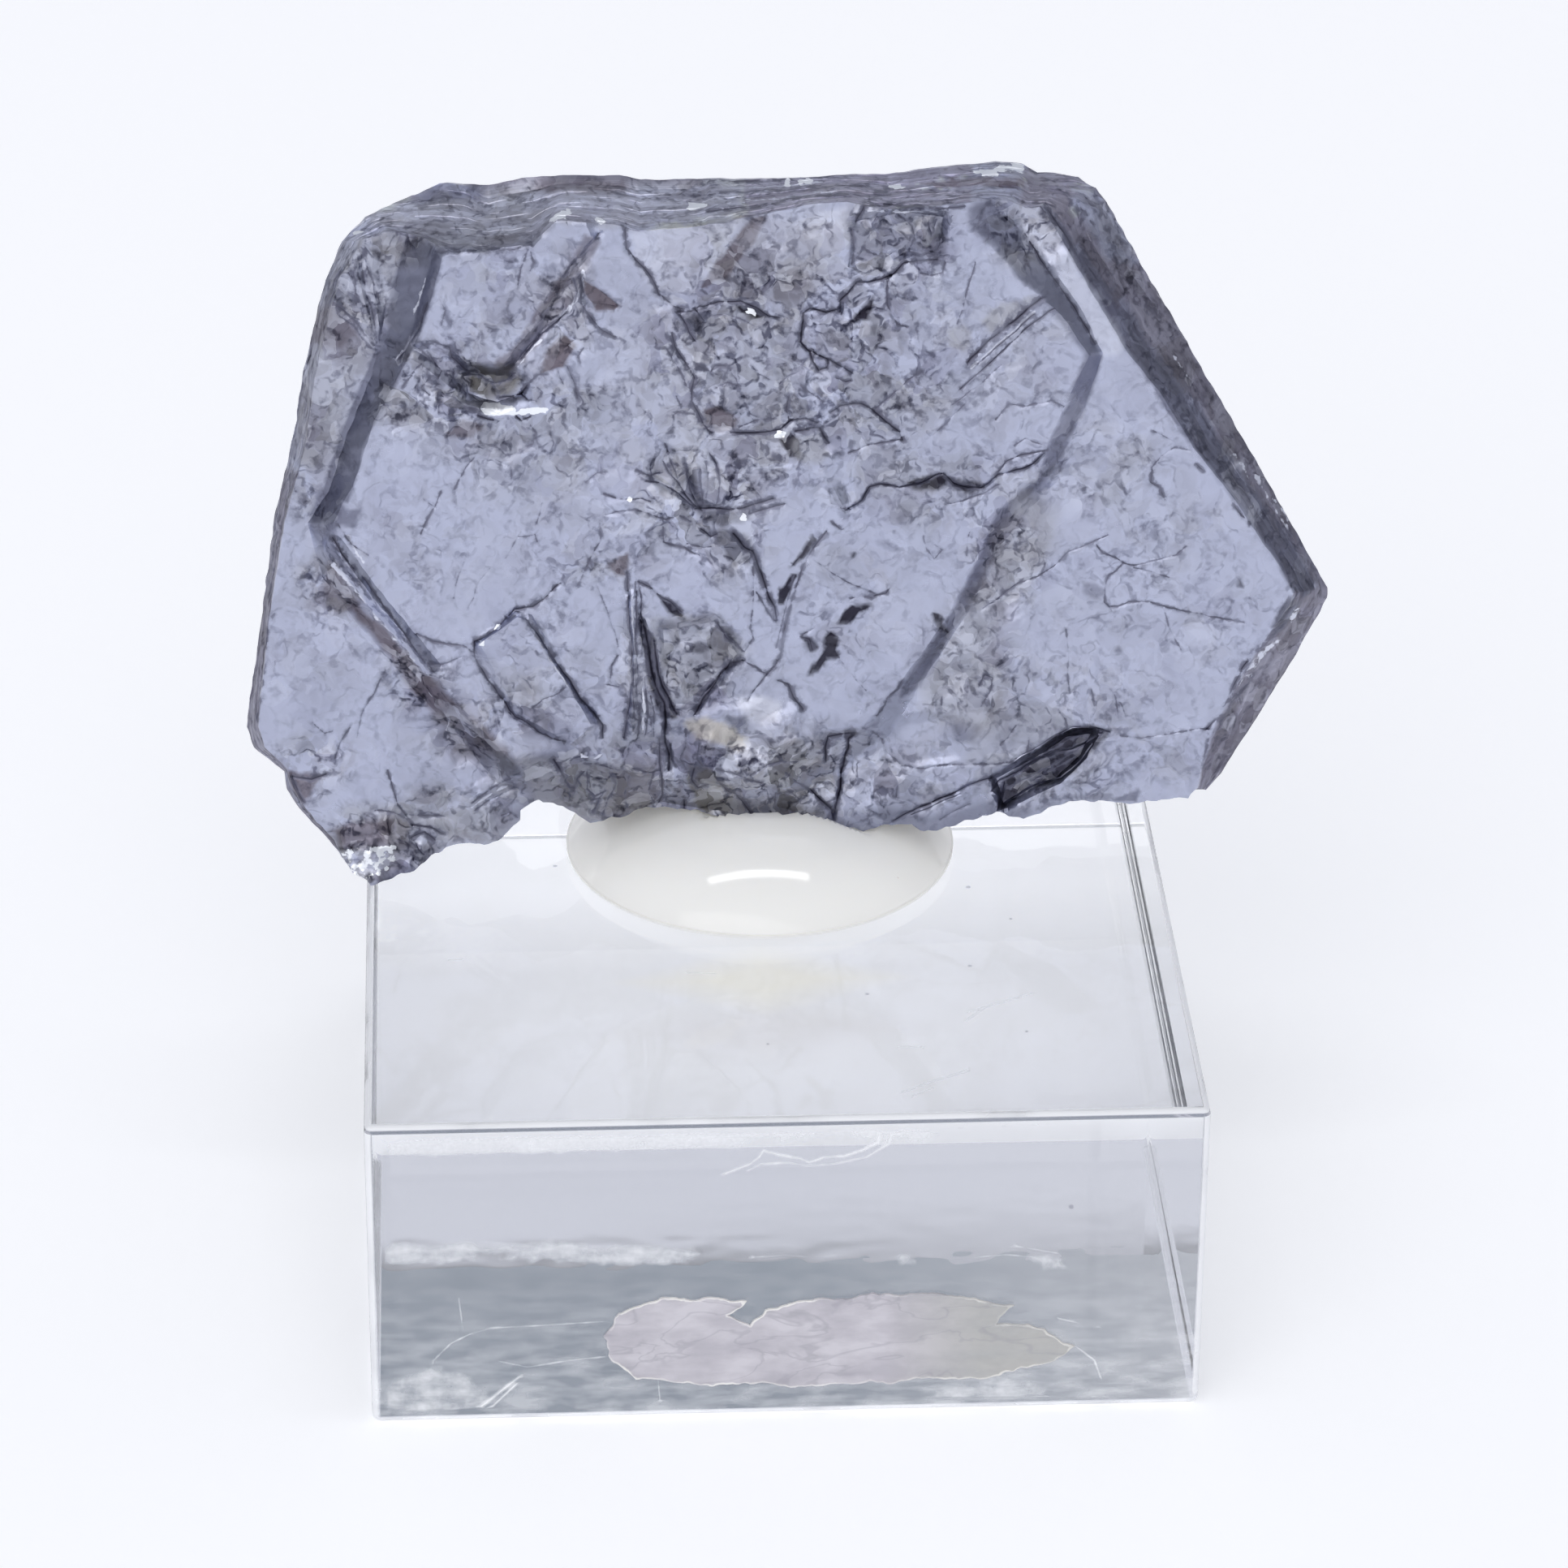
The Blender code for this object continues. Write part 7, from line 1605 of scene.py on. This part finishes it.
class Finish(Nodes):
    """A material's nodes, with its Principled shader."""

    def __init__(self, name):
        self.material = bpy.data.materials.new(name)
        self.material.use_nodes = True
        super().__init__(self.material.node_tree)
        self.shader = self.tree.nodes["Principled BSDF"]

    def coordinates(self):
        """Places on the piece, in metres."""
        return self.node("ShaderNodeTexCoord").outputs["Object"]

    def set(self, **values):
        """Set or link the shader's inputs."""
        for key, value in values.items():
            self.put(value, self.shader.inputs[key.replace("_", " ")])


def molybdenite_finish():
    """Soft lead-grey metal: mottled, stained along its layers and cracks; partly painted shade in its
    furrows and on bevels, painted highlights and painted glints.
    """
    f = Finish("molybdenite_metal")
    coords = f.coordinates()
    x, _, z = f.axes(coords)
    colour = f.stored("tone", "Color")
    crumpled, layered, layer = f.channels(f.stored("marks", "Color"))
    dark_line, light_line, flash = f.channels(f.stored("lines", "Color"))

    # coordinates pulled about a little, so that every edge wanders
    pull = f.node("ShaderNodeTexNoise", Vector=coords, Scale=WANDER_SCALE, Detail=2.0)
    shift = f.node("ShaderNodeVectorMath", operation="MULTIPLY_ADD")
    for value, socket in zip((pull.outputs["Color"], WANDER_REACH, coords), shift.inputs):
        f.put(value, socket)
    wandering = shift.outputs["Vector"]

    # how busy the surface is: everywhere a little, most where it is crumpled
    busy = f.plus(f.times(crumpled, 0.80), f.times(f.noise(coords, *BLOTCHES), 0.20))
    busy = f.least(f.plus(busy, 0.03), 1.0)
    grit = f.noise(coords, GRIT_SCALE, 3.0)

    # shards of two sizes: bluish, olive or violet, some lighter and some darker; the lighter and darker
    # ones are partly painted highlight and shade of crumpled facets
    low, high, strength = LIGHT_SHARDS
    for scale, shade in SHARDS:
        cells = f.node("ShaderNodeTexVoronoi", Vector=wandering, Scale=scale)
        red, green, blue = f.channels(cells.outputs["Color"])
        hue = f.mix(f.ramp(blue, 0.40, 0.60), *SHARD_HUES)
        colour = f.tint(f.times(f.ramp(red, 0.30, 1.0), shade, crumpled), colour, hue)
        colour = f.mix(f.times(f.ramp(green, low, high), strength, crumpled),
                       colour, TONES["light"])

    # grey-brown film in flaky patches
    for levels, strength, tone in FILMS:
        film = f.noise(wandering, *levels)
        colour = f.tint(f.times(film, busy, strength), colour, tone)

    # thin dark creases that run between the films, broken by the grit
    broken = f.ramp(grit, 0.40, 0.58)
    for scale, fineness in CREASES:
        ridge = f.node("ShaderNodeTexNoise", Vector=wandering, Scale=scale, Detail=2.0)
        away = f.away_from(ridge.outputs["Fac"], 0.5)
        crease = f.ramp(f.minus(1.0, f.times(away, fineness)), 0.10, 0.60)
        colour = f.tint(f.times(crease, busy, broken, CREASE_STRENGTH), colour, CREASE_TONE)

    # streaks along the layers of the sides
    place_in_layer = f.point(*(f.times(value, pitch) for value, pitch
                               in zip((x, z, layer), STREAK_PITCH)))
    streak = f.times(f.noise(place_in_layer, 1.0, 3.0, 0.40, 0.60), layered, 0.5)
    colour = f.tint(streak, colour, STREAK_TONE)

    # the drawn lines, made ragged by the grit: the light ones are painted highlights, the dark ones partly
    # painted shade in the furrows, with a halo of painted shade around them
    light = f.ragged(light_line, grit, 1.6, 0.60, 0.76)
    colour = f.mix(f.times(light, 0.85), colour, TONES["light"])
    halo = f.times(f.ragged(dark_line, grit, 1.8, 0.34, 0.70), 0.42)
    colour = f.mix(halo, colour, TONES["slate"])
    dark = f.ragged(dark_line, grit, 1.6, 0.62, 0.74)
    depth = f.mix(f.ramp(dark_line, 0.82, 0.96), TONES["crack"], TONES["dark"])
    weight = f.plus(f.times(f.ramp(dark_line, 0.45, 0.95), 0.60), 0.40)
    faint = f.plus(f.times(f.noise(coords, 750.0, 2.0, 0.36, 0.56), 0.50), 0.50)
    colour = f.mix(f.times(dark, weight, faint), colour, depth)
    # painted glints: the colour turns bright where the flash share is
    foil = f.times(f.ragged(flash, grit, 1.6, 0.42, 0.50), f.ramp(flash, 0.0, 0.10))
    colour = f.mix(foil, colour, TONES["flash"])

    rough = f.plus(f.times(f.noise(coords, 900.0, 3.0, 0.35, 0.70), 0.16), 0.26,
                   f.times(crumpled, 0.06), f.times(layered, 0.16))
    grain = f.node("ShaderNodeTexNoise", Vector=coords, Scale=GRAIN_SCALE, Detail=2.0)
    bump = f.node("ShaderNodeBump", Strength=GRAIN_BUMP[0], Distance=GRAIN_BUMP[1],
                  Height=grain.outputs["Fac"])
    f.set(Base_Color=colour, Metallic=1.0, Roughness=rough, Normal=bump.outputs["Normal"])
    return f.material


def putty_finish():
    """Glossy ivory putty with faint dirt; a painted glow stands in for the light that comes up into it
    through the block.
    """
    f = Finish("ivory_putty")
    coords = f.coordinates()
    z = f.axes(coords)[2]
    colour = f.mix(f.noise(coords, *PUTTY_DIRT), PUTTY_TONE, PUTTY_DIRT_TONE)
    low = f.ramp(z, (BLOCK_HEIGHT + PUTTY_DIM_SHARE * PUTTY_HEIGHT) * MM, BLOCK_HEIGHT * MM)
    f.set(Base_Color=colour, Roughness=0.08, Coat_Weight=0.3, Coat_Roughness=0.03,
          Subsurface_Weight=0.6, Subsurface_Radius=PUTTY_SCATTER, Subsurface_Scale=1.0,
          Emission_Color=PUTTY_TONE,
          Emission_Strength=f.plus(PUTTY_GLOW, f.times(low, PUTTY_RISE)))
    return f.material


def acrylic_finish():
    """Clear acrylic, hazy and scuffed in front and worn white along its edges."""
    f = Finish("clear_acrylic_block")
    coords = f.coordinates()
    x, y, z = f.axes(coords)
    half, height = 0.5 * BLOCK_SIDE * MM, BLOCK_HEIGHT * MM
    bevel = BLOCK_BEVEL * MM

    # worn edges, partly real wear and partly a painted highlight: where two faces of the block meet, less
    # so at the rear
    near_faces = [f.ramp(f.away_from(value, middle), reach - bevel, reach - 0.7 * bevel)
                  for value, middle, reach in ((x, 0.0, half), (y, 0.0, half),
                                               (z, 0.5 * height, 0.5 * height))]
    edges = f.least(f.most(f.minus(f.plus(*near_faces), 1.0), 0.0), 1.0)
    chips = f.plus(f.times(f.noise(coords, *EDGE_CHIPS), 0.45), 0.40)
    at_bottom = f.times(f.ramp(z, bevel, 0.5 * bevel),
                        f.ramp(y, half - 2.0 * bevel, half - 4.0 * bevel))
    edge_wear_and_highlight = f.times(edges, chips, f.most(f.ramp(y, 0.9 * half, 0.2 * half), at_bottom))

    # the top edges: bright on their upper half, shaded below it, most so in front
    below = f.times(f.ramp(z, height - bevel, height - 0.9 * bevel),
                    f.ramp(z, height - 0.45 * bevel, height - 0.60 * bevel),
                    f.plus(f.times(f.ramp(y, 1.6 * bevel - half, bevel - half), 0.7), 0.3))
    low_right = f.times(f.ramp(z, 2.0 * bevel, 1.2 * bevel),
                        f.ramp(x, half - 2.0 * bevel, half - bevel), 0.7)
    edge_wear_and_highlight = f.times(edge_wear_and_highlight, f.minus(1.0, low_right), f.minus(1.0, below))

    # scratches and scuffs, broken up into flecks
    grit = f.noise(coords, 1500.0, 3.0)
    marks = f.times(f.ragged(f.stored("wear"), grit, 0.9, 0.26, 0.90), 0.75)

    # a faint haze over the front and the top, partly real and partly painted light; low on the front a
    # mottled film
    in_front = f.ramp(y, 2.0 * bevel - half, -half)
    on_top = f.ramp(z, height - 0.1 * bevel, height)
    upper = f.ramp(z, 0.0062, 0.0082)
    film = f.noise(f.point(f.times(x, 0.30), 0.0, z), *LOW_FILM)
    strength = f.plus(f.times(f.ramp(z, 0.006, 0.0), HAZE_FILM_LOW), HAZE_FILM)
    amount = f.plus(f.times(upper, HAZE_UPPER),
                    f.times(f.ramp(x, -0.001, 0.010), HAZE_RIGHT),
                    f.times(film, f.minus(1.0, upper), strength))
    haze = f.plus(f.times(amount, in_front), f.times(on_top, HAZE_TOP))
    # all the whitening together: real wear, haze with painted light, and the painted highlight of the edges
    wear = f.least(f.plus(edge_wear_and_highlight, marks, haze), 0.90)

    colour = f.mix(f.times(f.stored("dirt"), 0.75), ACRYLIC_TONE, SPECK_TONE)
    colour = f.mix(f.times(below, 0.5), colour, EDGE_SHADE_TONE)
    f.set(Base_Color=colour, IOR=ACRYLIC_IOR, Transmission_Weight=f.minus(1.0, wear),
          Roughness=f.times(f.minus(wear, haze), 0.45))
    return f.material


def label_finish():
    """Worn translucent film: pinkish grey, beige to the right, pale along its rim."""
    f = Finish("worn_label_film")
    coords = f.coordinates()
    x, _, z = f.axes(coords)
    # creases run along the film, so the pattern is drawn out sideways
    drawn_out = f.point(f.times(x, 0.45), 0.0, z)
    wear = f.noise(drawn_out, *LABEL_WEAR)
    folds = f.node("ShaderNodeTexNoise", Vector=drawn_out, Scale=700.0, Detail=3.0,
                   Distortion=0.6)
    fold = f.ramp(f.away_from(folds.outputs["Fac"], 0.5), 0.022, 0.004)
    beige = f.ramp(x, 0.0035, 0.0070)
    rim = f.times(f.ragged(f.stored("rim"), f.noise(coords, 2200.0, 2.0), 1.2, 0.50, 0.80),
                  f.noise(coords, 420.0, 2.0, 0.34, 0.58))
    colour = f.mix(beige, f.mix(wear, *LABEL_TONES), LABEL_BEIGE)
    colour = f.mix(f.times(fold, 0.35), colour, LABEL_FOLD_TONE)
    colour = f.mix(f.times(rim, 0.85), colour, LABEL_RIM_TONE)
    alpha = f.plus(0.62, f.times(wear, 0.22), f.times(beige, -0.22), f.times(rim, 0.30))
    f.set(Base_Color=colour, Roughness=0.45, Alpha=f.least(alpha, 1.0))
    return f.material


def paper(name, colour, glow=0.0):
    """Matt paper, which may glow a little."""
    f = Finish(name)
    f.set(Base_Color=colour, Roughness=0.9, Specular_IOR_Level=0.2,
          Emission_Color=colour, Emission_Strength=glow)
    return f


def lit_finish():
    """Paper under the block, with painted light: it glows more to the rear, and has a painted shade and a
    painted ivory light below the putty.
    """
    f = paper("lit_paper", FLOOR_TONE, FLOOR_GLOW)
    x, y, _ = f.axes(f.coordinates())
    side = BLOCK_SIDE * MM
    colour = FLOOR_TONE
    for patch, tone in ((SHADE_PLACE, SHADE_TONE), (PUTTY_LIGHT_PLACE, PUTTY_LIGHT_TONE)):
        across, along, reach = (value * MM for value in patch)
        away = f.plus(f.times(f.away_from(x, across), PATCH_SQUASH), f.away_from(y, along))
        colour = f.mix(f.ramp(away, reach, 0.3 * reach), colour, tone)
    glow = FLOOR_GLOW
    for (start, end), strength in ((UNDER_GLOW_RANGE, UNDER_GLOW), (UNDER_REAR_RANGE, UNDER_REAR)):
        glow = f.plus(glow, f.times(f.ramp(y, start * side, end * side), strength))
    f.set(Base_Color=colour, Emission_Color=colour, Emission_Strength=glow)
    return f.material


def card_finish():
    """The grey card behind, darker along its top edge, softly so to the right."""
    f = paper("card_paper", CARD_TONE)
    x, _, z = f.axes(f.coordinates())
    edge = f.times(f.ramp(z, CARD_HEIGHT - CARD_FADE, CARD_HEIGHT),
                   f.ramp(x, *CARD_REACH))
    soft = f.times(f.ramp(z, CARD_HEIGHT - CARD_SOFT, CARD_HEIGHT),
                   f.ramp(x, *CARD_SOFT_REACH), CARD_SOFT_SHARE)
    dim = tuple(CARD_DIM * value for value in CARD_TONE)
    f.set(Base_Color=f.mix(f.most(edge, soft), CARD_TONE, dim))
    return f.material


# ---- build the pieces ------------------------------------------------------------------
crystal = make_crystal(molybdenite_finish())
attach(crystal, "root")
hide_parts("molybdenite_crystal")

putty = make_putty(crystal, putty_finish())
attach(putty, "root")
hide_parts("putty")

block = make_block(acrylic_finish())
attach(block, "root")
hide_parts("acrylic_block")

label = make_label(label_finish())
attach(label, "root")
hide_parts("label_film")


# ---- the stage: papers, lamps and the light all round --------------------------------
def make_sheet(name, corners, finish):
    """A flat stage surface from four corners in metres."""
    make_mesh(name, corners, [(0, 1, 2, 3)], finish)


def make_floor(name, low, high, level, finish):
    """A level stage surface between two corners (x, y)."""
    (left, front), (right, rear) = low, high
    make_sheet(name, ((left, front, level), (right, front, level),
                      (right, rear, level), (left, rear, level)), finish)


def make_light(name, place_at, target, size, power, colour):
    """A soft rectangular lamp aimed at a point."""
    data = bpy.data.lights.new(name, "AREA")
    data.shape = "RECTANGLE"
    data.size, data.size_y = size
    data.energy = power
    data.color = colour
    lamp = bpy.data.objects.new(name, data)
    lamp.location = place_at
    aim = Vector(target) - Vector(place_at)
    lamp.rotation_euler = aim.to_track_quat("-Z", "Y").to_euler()
    bpy.context.collection.objects.link(lamp)


def make_world():
    """Even light all round, with a dimmer part ahead and above the card."""
    world = bpy.data.worlds.new("studio")
    world.use_nodes = True
    sky = Nodes(world.node_tree)
    x, y, z = sky.axes(sky.node("ShaderNodeTexCoord").outputs["Generated"])
    gap = sky.times(sky.ramp(z, *DIM_LOWER), sky.ramp(z, *DIM_UPPER), sky.ramp(y, *DIM_AHEAD),
                    sky.ramp(sky.away_from(x, 0.0), *DIM_ASIDE))
    sky.put(sky.mix(gap, WORLD_BRIGHT, WORLD_DIM), sky.tree.nodes["Background"].inputs["Color"])
    bpy.context.scene.world = world


make_floor("floor", *FLOOR_CORNERS, FLOOR_LEVEL,
           paper("floor_paper", FLOOR_TONE, FLOOR_GLOW).material)
under = UNDER_HALF * BLOCK_SIDE * MM
make_floor("floor_under_block", (-under, -under), (under, under), UNDER_LEVEL, lit_finish())
make_sheet("card", ((-CARD_HALF, CARD_BACK, 0.0), (CARD_HALF, CARD_BACK, 0.0),
                    (CARD_HALF, CARD_BACK, CARD_HEIGHT), (-CARD_HALF, CARD_BACK, CARD_HEIGHT)),
           card_finish())
make_light("key", *KEY_LIGHT)
make_light("strip", *STRIP_LIGHT)
make_world()
bpy.context.scene.view_settings.view_transform = "Standard"

# ---- camera ----------------------------------------------------------------------------
yaw, pitch = math.radians(CAMERA_YAW), math.radians(CAMERA_PITCH)
roll = math.radians(CAMERA_ROLL)
forward = Vector((math.sin(yaw) * math.cos(pitch), math.cos(yaw) * math.cos(pitch),
                  -math.sin(pitch)))
right = Vector((math.cos(yaw), -math.sin(yaw), 0.0))
up = right.cross(forward)
right, up = (math.cos(roll) * right + math.sin(roll) * up,
             math.cos(roll) * up - math.sin(roll) * right)
camera_data = bpy.data.cameras.new("camera")
camera_data.lens = CAMERA_LENS
camera_data.sensor_width = CAMERA_SENSOR
camera_data.dof.use_dof = False
camera = bpy.data.objects.new("camera", camera_data)
turn = Matrix((right, up, -forward)).transposed().to_4x4()
camera.matrix_world = Matrix.Translation(Vector(CAMERA_PLACE) * MM) @ turn
bpy.context.collection.objects.link(camera)
bpy.context.scene.camera = camera
